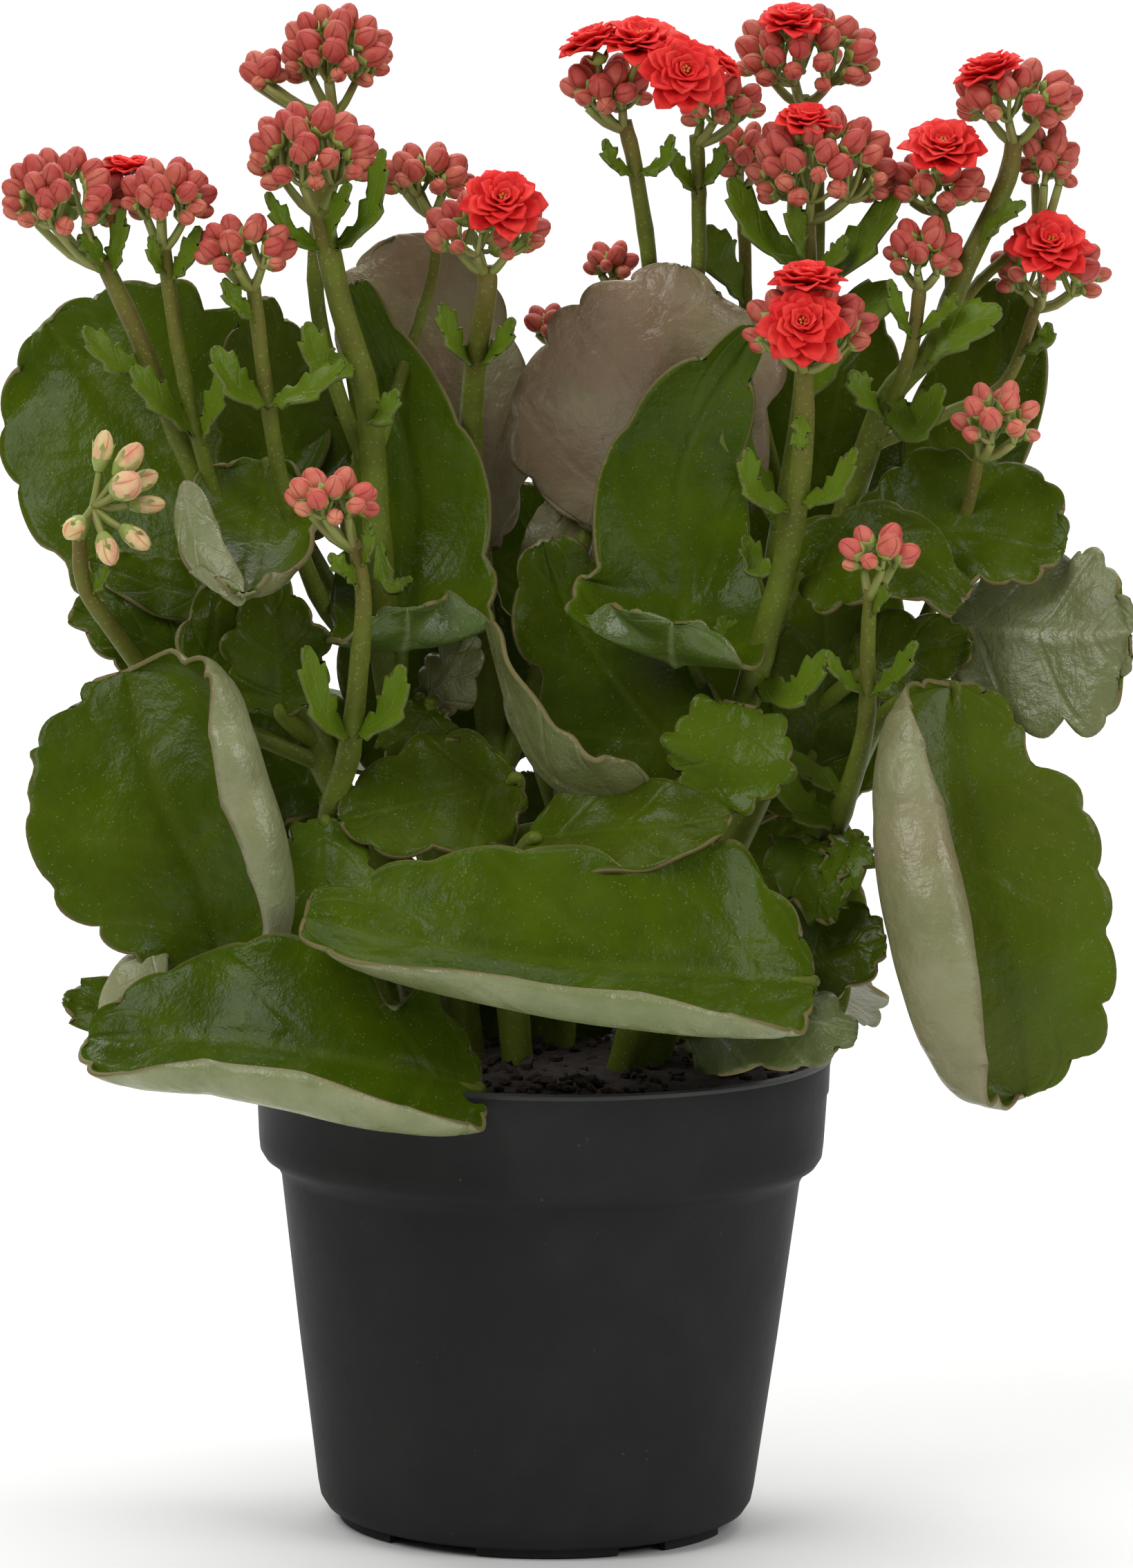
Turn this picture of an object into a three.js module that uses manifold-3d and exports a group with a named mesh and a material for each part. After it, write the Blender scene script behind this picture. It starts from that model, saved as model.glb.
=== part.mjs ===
// A potted flaming katy: a double-flowered red kalanchoe in a black plastic nursery pot.
// Millimetres, +Z up, -Y towards the front. The origin is on the surface the pot stands on, on the pot's axis.
//
// Leaves, stalks and flower heads are set out as they are seen from the front, slightly from above.
// A place [across, up, front] is the spot's distance to the right of the pot's axis and above the pot's foot
// in that view, at the pot's own scale, and how far the spot stands in front of the pot's axis.
import * as THREE from 'three';
import { mergeVertices } from 'three/addons/utils/BufferGeometryUtils.js';
import Module from 'manifold-3d';

const wasm = await Module();
wasm.setup();

// Driving sizes of the pot, a 12 cm nursery pot
const POT_RIM_RADIUS = 60;
const POT_HEIGHT = 100;
const POT_WALL = 1.4;
const RIM_DEPTH = 24;
const RIM_FOOT_RADIUS = 58.7;
const NECK_RADIUS = 54;
const FOOT_RADIUS = 45.5;
const FLOOR_LEVEL = 3.2;
const FLOOR_THICK = 1.6;
const FOOT_RING_OUT = 41;
const FOOT_RING_IN = 38.6;
const POT_SIDES = 24;
// Gaps in the foot ring as [centre, half-width] in degrees, 270 being the front
const FOOT_GAPS = [[238, 15], [303, 8], [350, 12], [50, 12], [110, 12], [170, 12]];
// Drainage slots through the floor, seen from below
const DRAIN_RADIUS = 22;
const DRAIN_SIZE = [11, 5];
const DRAIN_COUNT = 4;

// Soil
const SOIL_TOP = 95.5;
const SOIL_RADIUS = 57.6;
// The soil's surface from the pot's wall to its middle, as [share of the radius, height over SOIL_TOP]
const SOIL_SURFACE = [[1, 0], [0.6, 1.4], [0, 0.8]];

// Fits and thicknesses
const CLEARANCE = 0.3;
const BLADE_THICK = 1.0;
const BRACT_THICK = 0.8;

// The view that the places are read in
const VIEW_DISTANCE = 2200;
const VIEW_TILT = THREE.MathUtils.degToRad(8.2);
const VIEW_ROLL = THREE.MathUtils.degToRad(0.9);
const VIEW_CENTRE = { across: 4.08, up: 161.6, level: 155 };

// Colours of the plain finishes
const GREEN = { leaf: 0x45561a, stem: 0x6f7d36 };
const RED = { bud: 0xc4605a, bloom: 0xd23c38, pale: 0xdccf95 };
const DARK = { pot: 0x222222, soil: 0x2a1c12 };

const radians = THREE.MathUtils.degToRad;

// A repeatable random draw, seeded by a whole number
function seeded(seed) {
  let state = seed * 2654435761 % 4294967296;
  return () => {
    state = (state * 1664525 + 1013904223) % 4294967296;
    return state / 4294967296;
  };
}

// The view's own directions: to the right, up, and towards the viewer
const VIEW_RIGHT = new THREE.Vector3(1, 0, 0);
const VIEW_UP = new THREE.Vector3(0, Math.sin(VIEW_TILT), Math.cos(VIEW_TILT));
const VIEW_NEAR = new THREE.Vector3(0, -Math.cos(VIEW_TILT), Math.sin(VIEW_TILT));

// The point that is seen at [across, up] and stands the given distance in front of the pot's axis
function place([across, up, front]) {
  const u = across - VIEW_CENTRE.across;
  const v = up - VIEW_CENTRE.up;
  const right = u * Math.cos(VIEW_ROLL) - v * Math.sin(VIEW_ROLL);
  const rise = u * Math.sin(VIEW_ROLL) + v * Math.cos(VIEW_ROLL);
  let near = front;
  for (let pass = 0; pass < 3; pass++) {
    const scale = 1 - near / VIEW_DISTANCE;
    near = (front + scale * rise * VIEW_UP.y) / -VIEW_NEAR.y;
  }
  const scale = 1 - near / VIEW_DISTANCE;
  return new THREE.Vector3(VIEW_CENTRE.across, 0, VIEW_CENTRE.level)
    .addScaledVector(VIEW_RIGHT, right * scale)
    .addScaledVector(VIEW_UP, rise * scale)
    .addScaledVector(VIEW_NEAR, near);
}

// A direction given as [right, up, near] in the same view
function heading([right, up, near]) {
  return new THREE.Vector3()
    .addScaledVector(VIEW_RIGHT, right)
    .addScaledVector(VIEW_UP, up)
    .addScaledVector(VIEW_NEAR, near)
    .normalize();
}

// A smooth curve through a list of places
function curveThrough(places) {
  return new THREE.CatmullRomCurve3(places.map(place), false, 'catmullrom', 0.5);
}

// A closed three.js geometry as a solid that can be joined and cut
function solidOf(geometry) {
  const bare = geometry.clone();
  bare.deleteAttribute('normal');
  bare.deleteAttribute('uv');
  const merged = mergeVertices(bare, 1e-4);
  return new wasm.Manifold(new wasm.Mesh({
    numProp: 3,
    vertProperties: new Float32Array(merged.attributes.position.array),
    triVerts: new Uint32Array(merged.index.array),
  }));
}

// A closed surface from points and triangles given as index triples
function solidFrom(points, faces) {
  const geometry = new THREE.BufferGeometry();
  geometry.setAttribute('position', new THREE.Float32BufferAttribute(points.flatMap((p) => p.toArray()), 3));
  geometry.setIndex(faces.flat());
  return solidOf(geometry);
}

function geometryOf(solid) {
  const mesh = solid.getMesh();
  const geometry = new THREE.BufferGeometry();
  geometry.setAttribute('position', new THREE.Float32BufferAttribute(mesh.vertProperties, 3));
  geometry.setIndex(new THREE.Uint32BufferAttribute(mesh.triVerts, 1));
  return geometry;
}

// The largest piece of a solid, with loose scraps dropped
function largest(solid) {
  const pieces = solid.decompose();
  return pieces.reduce((best, piece) => (piece.volume() > best.volume() ? piece : best));
}

function joined(solids) {
  return solids.reduce((sum, solid) => sum.add(solid));
}

// A round rod through a list of places, with a radius for each place, or the same grown all over
function rod(places, radii, grow, sides) {
  const path = curveThrough(places).getPoints(places.length - 1);
  const first = path[0].clone().sub(path[1]).normalize();
  path[0].addScaledVector(first, grow);
  path.at(-1).addScaledVector(path.at(-1).clone().sub(path.at(-2)).normalize(), grow);
  return rodAlong(path, (part) => alongList(radii, part) + grow, sides);
}

// A value read off a list of evenly spaced values
function alongList(values, part) {
  const spot = Math.min(Math.max(part, 0), 1) * (values.length - 1);
  const low = Math.min(Math.floor(spot), values.length - 2);
  return values.length === 1 ? values[0] : values[low] + (values[low + 1] - values[low]) * (spot - low);
}

// A round rod along points, closed at both ends by a point
function rodAlong(points, radiusAt, sides) {
  const vertices = [];
  const faces = [];
  let across = new THREE.Vector3(1, 0.13, 0.07);
  points.forEach((point, i) => {
    const ahead = points[Math.min(i + 1, points.length - 1)].clone().sub(points[Math.max(i - 1, 0)]).normalize();
    across = across.clone().addScaledVector(ahead, -across.dot(ahead)).normalize();
    const other = new THREE.Vector3().crossVectors(ahead, across);
    const radius = radiusAt(i / (points.length - 1));
    for (let k = 0; k < sides; k++) {
      const angle = 2 * Math.PI * k / sides;
      vertices.push(point.clone()
        .addScaledVector(across, radius * Math.cos(angle))
        .addScaledVector(other, radius * Math.sin(angle)));
    }
  });
  const last = (points.length - 1) * sides;
  for (let i = 0; i < points.length - 1; i++) {
    for (let k = 0; k < sides; k++) {
      const a = i * sides + k;
      const b = i * sides + (k + 1) % sides;
      faces.push([a, b, b + sides], [a, b + sides, a + sides]);
    }
  }
  for (let k = 1; k < sides - 1; k++) {
    faces.push([0, k + 1, k], [last, last + k, last + k + 1]);
  }
  return solidFrom(vertices, faces);
}

// How far a blade's half turns up across its width: [outwards, upwards] for a unit half-width
function rolled(part, turn, fold) {
  const steps = 14;
  let out = 0;
  let up = 0;
  for (let i = 0; i < steps; i++) {
    const angle = radians(turn) * ((i + 0.5) / steps * part) ** fold;
    out += Math.cos(angle) * part / steps;
    up += Math.sin(angle) * part / steps;
  }
  return [out, up];
}

function threeWay([base, mid, tip], part) {
  return base * (1 - part) * (1 - 2 * part) + 4 * mid * part * (1 - part) + tip * part * (2 * part - 1);
}

// Rows of spots from a blade's midrib to its edge, more of them on a half that is folded over
const PLAIN_ROWS = [0.55, 1];
const FOLDED_ROWS = [0.4, 0.65, 0.85, 1];
const FOLDED = 1.5;

// Spots of a blade: part 0 at its base to 1 at its tip, across -1 at its left edge to 1 at its right edge
class Blade {
  constructor({ rib, face, wide, roll, fold = [1.2, 1.2], teeth, notch, belly = 0.25 }, root = null) {
    this.rib = curveThrough(rib);
    if (root) this.rib.points[0].copy(root);
    this.faces = face.map(heading);
    this.wide = wide;
    this.roll = roll;
    this.fold = fold;
    this.notch = teeth ? notch : 0;
    this.belly = belly;
    this.length = this.rib.getLength();
  }

  // turn runs from 0 at the base to 1 at the tip, along the edge; grow widens the blade all round, and
  // scallop moves the edge out or in
  at(turn, across, grow = 0, scallop = 0) {
    const angle = Math.PI * turn;
    const cut = this.notch * scallop * Math.abs(across) ** 6;
    const part = Math.min(Math.max((1 - Math.cos(angle)) / 2 - cut * Math.cos(angle) / this.length, 0), 1);
    const centre = this.rib.getPoint(part);
    const ahead = this.rib.getTangent(part);
    const face = this.faces[0].clone().lerp(this.faces[1], part);
    face.addScaledVector(ahead, -face.dot(ahead)).normalize();
    const side = new THREE.Vector3().crossVectors(ahead, face);
    const hand = across < 0 ? 0 : 1;
    const width = this.wide[hand] * Math.sin(angle) * (1 + this.belly * Math.cos(angle));
    const [out, up] = rolled(Math.abs(across), threeWay(this.roll[hand], part), this.fold[hand]);
    const reach = width > 0 ? 1 + cut * Math.sin(angle) / width : 1;
    const reached = width * reach + grow * Math.sin(angle);
    return centre
      .addScaledVector(ahead, -grow * Math.cos(angle))
      .addScaledVector(side, Math.sign(across) * out * reached)
      .addScaledVector(face, up * reached);
  }

  rows() {
    const [left, right] = this.fold.map((fold) => (fold > FOLDED ? FOLDED_ROWS : PLAIN_ROWS));
    return [...left.map((across) => -across).reverse(), 0, ...right];
  }

  // A closed sheet whose two faces are split alike, with every second spot of its edge cut back
  solid(thickness, stations, grow, rows = this.rows()) {
    const upper = [];
    const rowOf = rows.map((across) => {
      const fine = Math.abs(across) === 1;
      const count = fine ? stations * 2 : stations;
      const row = [];
      for (let i = 1; i < count; i++) {
        row.push(upper.length);
        upper.push(this.at(i / count, across, grow, fine ? i % 2 - 0.5 : 0));
      }
      return row;
    });
    const base = upper.length;
    upper.push(this.at(0, 0, grow));
    const tip = upper.length;
    upper.push(this.at(1, 0, grow));
    const closed = rowOf.map((row) => [base, ...row, tip]);
    const top = [];
    for (let r = 0; r < rows.length - 1; r++) {
      stitch(closed[r], closed[r + 1], top);
    }
    return sheet(upper, top, thickness + 2 * grow);
  }
}

// Triangles between two rows that share their first and last points
function stitch(left, right, faces) {
  let i = 0;
  let j = 0;
  while (i < left.length - 1 || j < right.length - 1) {
    const leftNext = (i + 1) / (left.length - 1);
    const rightNext = (j + 1) / (right.length - 1);
    if (j >= right.length - 1 || (i < left.length - 1 && leftNext <= rightNext)) {
      if (left[i + 1] !== right[j] && left[i] !== right[j]) faces.push([left[i], right[j], left[i + 1]]);
      i += 1;
    } else {
      if (left[i] !== right[j + 1] && left[i] !== right[j]) faces.push([left[i], right[j], right[j + 1]]);
      j += 1;
    }
  }
}

// A thin closed solid around a surface of triangles, thickened both ways along its own normals
function sheet(points, faces, thickness) {
  const normals = points.map(() => new THREE.Vector3());
  faces.forEach(([a, b, c]) => {
    const normal = points[b].clone().sub(points[a]).cross(points[c].clone().sub(points[a]));
    [a, b, c].forEach((corner) => normals[corner].add(normal));
  });
  normals.forEach((normal) => normal.normalize());
  const count = points.length;
  const vertices = [
    ...points.map((point, i) => point.clone().addScaledVector(normals[i], thickness / 2)),
    ...points.map((point, i) => point.clone().addScaledVector(normals[i], -thickness / 2)),
  ];
  const all = [];
  const open = new Map();
  faces.forEach(([a, b, c]) => {
    all.push([a, b, c], [a + count, c + count, b + count]);
    [[a, b], [b, c], [c, a]].forEach(([from, to]) => {
      if (open.has(`${to} ${from}`)) open.delete(`${to} ${from}`);
      else open.set(`${from} ${to}`, [from, to]);
    });
  });
  open.forEach(([from, to]) => all.push([to, from, from + count], [to, from + count, to + count]));
  return solidFrom(vertices, all);
}

// Large leaves. rib runs along the midrib from the blade's base to its tip, and face is the way the upper
// face looks at the base and at the tip. wide holds the left and right half-widths, and roll how far each
// half turns up, in degrees, at the base, the middle and the tip; a larger fold gathers a half's turn closer
// to its edge. stalk runs from the stem to the blade, and a flap is a lobe of the same leaf, folded over.
const LEAVES = [
  { name: "leaf_back_left", of: "shoot_left", own: true,
    rib: [[-60, 212, -16], [-72, 224, -22], [-90, 242, -30], [-104, 257, -36]],
    face: [[0.2, 0.1, 1], [-0.1, 0.1, 1]], wide: [33, 36], roll: [[20, 8, 15], [20, 10, 25]],
    teeth: 8, notch: 1.2, stalk: [[-50, 198, -12], [-60, 212, -16]] },
  { name: "leaf_behind_left_stalks", of: "shoot_rose_left", own: false,
    rib: [[-50, 212, -20], [-55, 232, -23], [-60, 262, -26]],
    face: [[0.1, 0, 1], [0.1, 0, 1]], wide: [14, 14], roll: [[20, 15, 10], [20, 15, 10]],
    teeth: 7, notch: 1.2, stalk: [[-38, 190, -12], [-50, 212, -20]] },
  { name: "leaf_cup_left", of: "shoot_left", own: true,
    rib: [[-58, 228, -8], [-60, 213, 4], [-62, 202, 22], [-63, 201, 36]],
    face: [[0.1, 0.7, 0.8], [0, 1, 0.2]], wide: [16, 17], roll: [[50, 75, 60], [40, 55, 60]],
    teeth: 6, notch: 1.2, stalk: [[-47, 200, -8], [-56, 212, -12], [-58, 228, -8]],
    flap: { rib: [[-75, 224, 12], [-72, 211, 26], [-63, 199, 34]], face: [[0.2, 0, -1], [0.2, 0, -1]],
      wide: [4, 5], roll: [[20, 25, 20], [20, 25, 20]], teeth: 0, notch: 0, belly: 0.1 } },
  { name: "leaf_tall_left", of: "shoot_rose_left", own: true,
    rib: [[-29, 198, 24], [-30, 190, 14], [-29, 202, -8], [-29, 230, -14], [-41, 265, -12]],
    face: [[0, 0.9, 0.5], [-0.2, 0, 1]], wide: [15, 19], roll: [[30, 25, 20], [30, 30, 20]],
    teeth: 7, notch: 1.2, belly: 0.3, stalk: [[-31, 176, -6], [-30, 192, 0]] },
  { name: "leaf_brown_left", of: "shoot_centre", own: true,
    rib: [[-13, 210, -26], [-17, 232, -30], [-26, 255, -34], [-31, 275, -36]],
    face: [[0.1, 0.2, -1], [0.1, 0.1, -1]], wide: [17, 17], roll: [[20, 20, 15], [20, 20, 15]],
    teeth: 7, notch: 1.3, belly: -0.3, stalk: [[-8, 190, -10], [-13, 210, -26]] },
  { name: "leaf_funnel_back", of: "shoot_centre", own: true,
    rib: [[16, 212, -14], [18, 228, -10], [24, 252, -6], [27, 269, -10]],
    face: [[0.3, 0.1, -1], [0, 0.2, -1]], wide: [26, 27], roll: [[25, 20, 20], [25, 20, 20]],
    teeth: 7, notch: 1.6, stalk: [[14, 188, -10], [16, 212, -14]] },
  { name: "leaf_funnel", of: "shoot_right_inner", own: true,
    rib: [[26, 195, 32], [27, 187, 22], [29, 200, 2], [29, 228, -2], [43, 256, 4]],
    face: [[0, 0.9, 0.5], [0.2, 0, 1]], wide: [23, 16], roll: [[30, 30, 20], [30, 25, 20]],
    teeth: 7, notch: 1.3, belly: 0.4, stalk: [[22, 172, -4], [27, 190, 12]] },
  { name: "leaf_inner_pink", of: "shoot_back", own: false,
    rib: [[3, 196, -22], [2, 208, -22], [2, 221, -22]],
    face: [[0, 0.1, -1], [0, 0.1, -1]], wide: [8, 8], roll: [[15, 15, 15], [15, 15, 15]],
    teeth: 0, notch: 0, stalk: [[4, 180, -14], [3, 196, -22]] },
  { name: "leaf_dark_centre", of: "shoot_centre", own: true,
    rib: [[30, 164, 4], [18, 178, 2], [6, 195, -2], [-1, 212, -5]],
    face: [[-0.3, 0.1, 1], [0, 0, 1]], wide: [15, 16], roll: [[25, 20, 20], [25, 20, 20]],
    teeth: 5, notch: 1, stalk: [[10, 152, -6], [24, 158, 0], [30, 164, 4]] },
  { name: "leaf_folded_centre", of: "shoot_centre", own: true,
    rib: [[22, 160, 30], [10, 158, 30], [-3, 168, 24], [-12, 195, 14]],
    face: [[0.2, 0.8, -0.4], [0.9, 0.3, -0.2]], wide: [16, 7], roll: [[20, 20, 15], [15, 20, 15]],
    teeth: 0, notch: 0, stalk: [[4, 140, -4], [8, 158, 28]] },
  { name: "leaf_middle_flat", of: "shoot_centre", own: false,
    rib: [[-4, 150, 32], [10, 152, 38], [24, 153, 42], [38, 155, 42]],
    face: [[0, 0.7, 0.8], [0, 0.7, 0.8]], wide: [13, 13], roll: [[20, 20, 10], [10, 10, 10]],
    teeth: 0, notch: 0, stalk: [[-6, 138, -4], [-4, 150, 32]] },
  { name: "leaf_front_boat", of: "shoot_front_right", own: true,
    rib: [[55, 121, 50], [30, 123, 57], [-8, 126, 62], [-50, 134, 57]],
    face: [[0, 0.35, 0.94], [0, 0.6, 0.8]], wide: [29, 26], roll: [[50, 172, 60], [25, 15, 20]],
    fold: [2.2, 1.2], teeth: 8, notch: 1.3, belly: 0.1, stalk: [[16, 122, 12], [36, 124, 40], [55, 121, 50]] },
  { name: "leaf_bright_heart", of: "shoot_front_right", own: false,
    rib: [[40, 178, 24], [38, 170, 28], [36, 163, 30], [34, 157, 30]],
    face: [[0, 0.3, 1], [0, 0.5, 1]], wide: [13, 12], roll: [[10, 10, 20], [10, 10, 20]],
    teeth: 7, notch: 1.3, belly: 0.2, stalk: [[40, 168, 10], [40, 175, 25]] },
  { name: "leaf_lower_left", of: "shoot_low_left", own: true,
    rib: [[-66, 117, 26], [-70, 138, 30], [-80, 160, 28], [-87, 185, 18]],
    face: [[0.1, 0.1, 1], [-0.1, 0.2, 1]], wide: [26, 40], roll: [[40, 10, 15], [150, 225, 100]], fold: [1.2, 2],
    teeth: 9, notch: 1.6, belly: -0.32, stalk: [[-40, 112, 8], [-56, 108, 18], [-66, 117, 26]],
    flap: { rib: [[-80, 129, 31], [-86, 120, 37], [-90, 108, 36]], face: [[0.3, 0, -1], [0.3, 0, -1]],
      wide: [5.5, 7], roll: [[20, 25, 20], [20, 25, 20]], teeth: 0, notch: 0, belly: -0.3 } },
  { name: "leaf_over_rim_left", of: "shoot_low_left", own: true,
    rib: [[-14, 99, 54], [-36, 104, 63], [-66, 109, 59], [-95, 109, 46]],
    face: [[0, 0.5, 0.87], [0, 0.5, 0.87]], wide: [31, 21], roll: [[60, 170, 70], [25, 20, 20]],
    fold: [2.2, 1.2], teeth: 8, notch: 1.3, belly: 0.1, stalk: [[-30, 118, 10], [-32, 110, 38], [-14, 99, 54]] },
  { name: "leaf_serrated_low_left", of: "shoot_low_left", own: false,
    rib: [[-72, 108, 10], [-84, 113, 10], [-100, 117, 8]],
    face: [[0.1, 0.3, 1], [0.1, 0.3, 1]], wide: [9, 10], roll: [[10, 10, 10], [10, 10, 10]],
    teeth: 6, notch: 1.4, stalk: [[-46, 106, 4], [-72, 108, 10]] },
  { name: "leaf_tip_far_left", of: "shoot_left", own: false,
    rib: [[-74, 134, 10], [-86, 137, 9], [-99, 140, 8]],
    face: [[0, -0.4, -0.9], [0, -0.4, -0.9]], wide: [4, 4], roll: [[20, 20, 20], [20, 20, 20]],
    teeth: 4, notch: 0.6, stalk: [[-60, 135, 0], [-74, 134, 10]] },
  { name: "leaf_right_hanging", of: "shoot_low_right", own: true,
    rib: [[84, 182, 20], [86, 157, 30], [91, 130, 38], [99, 97, 36]],
    face: [[0.1, 0.3, 1], [0.1, 0.1, 1]], wide: [26, 50], roll: [[20, 5, 10], [110, 215, 150]], fold: [1.2, 1.6],
    teeth: 9, notch: 1.6, belly: -0.2, stalk: [[56, 160, 6], [70, 176, 12], [84, 182, 20]] },
  { name: "leaf_far_right", of: "shoot_right_outer", own: true,
    rib: [[82, 194, 4], [96, 193, 10], [109, 192, 16], [121, 193, 22]],
    face: [[0.2, -0.3, -1], [0.2, -0.2, -1]], wide: [21, 19], roll: [[25, 15, 10], [25, 15, 10]],
    teeth: 8, notch: 1.4, belly: -0.1, stalk: [[60, 178, 2], [72, 188, 2], [82, 194, 4]] },
  { name: "leaf_right_upper", of: "shoot_right_outer", own: true,
    rib: [[64, 212, 2], [76, 214, 6], [92, 214, 8], [107, 210, 10]],
    face: [[-0.1, 0.3, 1], [0, 0.5, 1]], wide: [17, 14], roll: [[15, 10, 10], [15, 25, 30]],
    teeth: 8, notch: 1.2, belly: -0.1, stalk: [[56, 196, -4], [64, 212, 2]] },
  { name: "leaf_right_middle", of: "shoot_front_right", own: false,
    rib: [[52, 204, 12], [62, 208, 16], [74, 208, 20], [86, 199, 22]],
    face: [[0, 0.5, 1], [0, 0.5, 1]], wide: [11, 11], roll: [[15, 25, 20], [15, 20, 20]],
    teeth: 5, notch: 1.2, stalk: [[48, 196, 4], [52, 204, 12]] },
  { name: "leaf_dark_back_right", of: "shoot_right_outer", own: false,
    rib: [[84, 216, -14], [88, 232, -18], [94, 250, -22], [93, 266, -24]],
    face: [[-0.2, 0, 1], [-0.2, 0, 1]], wide: [14, 12], roll: [[15, 15, 15], [15, 15, 15]],
    teeth: 0, notch: 0, stalk: [[68, 200, -6], [84, 216, -14]] },
  { name: "leaf_behind_right_stalks", of: "shoot_right_inner", own: false,
    rib: [[48, 206, -26], [58, 232, -30], [64, 262, -34]],
    face: [[-0.1, 0, 1], [-0.1, 0, 1]], wide: [17, 17], roll: [[20, 15, 10], [20, 15, 10]],
    teeth: 6, notch: 1.2, stalk: [[44, 188, -10], [48, 206, -26]] },
  { name: "leaf_low_right_dark", of: "shoot_right_outer", own: false,
    rib: [[64, 184, 6], [75, 189, 8], [88, 191, 9]],
    face: [[0, 0.2, 1], [0, 0.2, 1]], wide: [8, 9], roll: [[15, 15, 15], [15, 15, 15]],
    teeth: 5, notch: 1.2, stalk: [[52, 170, 0], [64, 184, 6]] },
  { name: "leaf_round_dark", of: "shoot_right_outer", own: false,
    rib: [[54, 166, 2], [57, 180, 2], [58, 194, 0], [56, 206, -2]],
    face: [[0, 0.1, 1], [0, 0.1, 1]], wide: [11, 12], roll: [[15, 15, 20], [15, 15, 20]],
    teeth: 0, notch: 0, stalk: [[46, 160, 0], [54, 166, 2]] },
  { name: "leaf_low_right", of: "shoot_low_right", own: false,
    rib: [[30, 110, 32], [42, 112, 46], [53, 112, 52], [64, 110, 52]],
    face: [[0, -0.5, -0.9], [0, -0.6, -0.8]], wide: [11, 11], roll: [[20, 15, 10], [20, 15, 10]],
    teeth: 6, notch: 1.3, stalk: [[34, 106, 12], [30, 110, 32]] },
  { name: "leaf_dark_low_right", of: "shoot_low_right", own: false,
    rib: [[46, 122, 20], [56, 127, 24], [70, 130, 26]],
    face: [[0, 0.5, 0.9], [0, 0.5, 0.9]], wide: [12, 14], roll: [[15, 15, 10], [15, 15, 10]],
    teeth: 6, notch: 1.4, stalk: [[40, 114, 10], [46, 122, 20]] },
  { name: "leaf_scalloped_left", of: "shoot_left", own: false,
    rib: [[-55, 176, 8], [-56, 188, 10], [-57, 204, 8]],
    face: [[0, 0.2, 1], [0, 0.2, 1]], wide: [10, 10], roll: [[15, 10, 15], [15, 10, 15]],
    teeth: 6, notch: 1.4, stalk: [[-48, 168, 0], [-55, 176, 8]] },
  { name: "leaf_wavy_left", of: "shoot_left", own: false,
    rib: [[-70, 176, 10], [-70, 188, 8], [-68, 206, 4]],
    face: [[0.5, 0, 0.9], [0.3, 0, 0.9]], wide: [7, 7], roll: [[20, 20, 20], [20, 20, 20]],
    teeth: 6, notch: 1.2, stalk: [[-62, 160, 2], [-70, 176, 10]] },
  { name: "leaf_left_stalk_back", of: "shoot_left", own: false,
    rib: [[-68, 200, -6], [-80, 203, -8], [-95, 208, -10]],
    face: [[0, 0.4, 1], [0, 0.4, 1]], wide: [7, 6], roll: [[15, 15, 15], [15, 15, 15]],
    teeth: 0, notch: 0, stalk: [[-56, 186, -6], [-68, 200, -6]] },
  { name: "leaf_left_stalk_low", of: "shoot_left", own: false,
    rib: [[-72, 186, -4], [-84, 192, -4], [-98, 198, -6]],
    face: [[0, 0.4, 1], [0, 0.4, 1]], wide: [8, 7], roll: [[10, 10, 10], [10, 10, 10]],
    teeth: 5, notch: 1.2, stalk: [[-58, 172, -4], [-72, 186, -4]] },
  { name: "leaf_glossy_low", of: "shoot_centre", own: false,
    rib: [[-6, 162, 12], [-18, 160, 18], [-30, 157, 22], [-43, 154, 24]],
    face: [[0.1, 0.5, 1], [0, 0.6, 1]], wide: [14, 13], roll: [[15, 10, 10], [15, 15, 10]],
    teeth: 5, notch: 1.2, stalk: [[-14, 146, -4], [-6, 162, 12]] },
  { name: "leaf_serrated_centre_left", of: "shoot_rose_left", own: false,
    rib: [[-24, 178, 6], [-27, 172, 10], [-30, 161, 14]],
    face: [[0, 0.3, 1], [0, 0.3, 1]], wide: [8, 8], roll: [[10, 10, 10], [10, 10, 10]],
    teeth: 6, notch: 1.3, stalk: [[-20, 160, -4], [-24, 178, 6]] },
  { name: "leaf_curled_centre_left", of: "shoot_rose_left", own: false,
    rib: [[-26, 178, -2], [-20, 184, 2], [-16, 193, 4]],
    face: [[0.5, 0.1, -0.9], [0.5, 0.1, -0.9]], wide: [6, 6], roll: [[30, 30, 30], [30, 30, 30]],
    teeth: 5, notch: 1.2, stalk: [[-28, 160, -5], [-26, 178, -2]] },
  { name: "leaf_left_heart", of: "shoot_low_left", own: false,
    rib: [[-46, 154, 22], [-46, 146, 27], [-47, 136, 30], [-46, 126, 30]],
    face: [[0, 0.4, 1], [0, 0.3, 1]], wide: [9, 9], roll: [[10, 10, 20], [10, 10, 20]],
    teeth: 7, notch: 1.3, belly: 0.2, stalk: [[-46, 150, 17], [-46, 154, 22]] },
  { name: "leaf_serrated_right_a", of: "shoot_low_right", own: false,
    rib: [[54, 150, 20], [54, 144, 26], [59, 133, 30]],
    face: [[0.2, 0.4, 1], [0, 0.4, 1]], wide: [8, 8], roll: [[20, 20, 20], [10, 10, 10]],
    teeth: 6, notch: 1.4, stalk: [[57, 148, 12], [54, 150, 20]] },
  { name: "leaf_serrated_right_b", of: "shoot_low_right", own: false,
    rib: [[64, 151, 20], [62, 145, 26], [58, 137, 28]],
    face: [[0, 0.4, 1], [0, 0.4, 1]], wide: [5, 5], roll: [[15, 15, 15], [10, 10, 10]],
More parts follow.
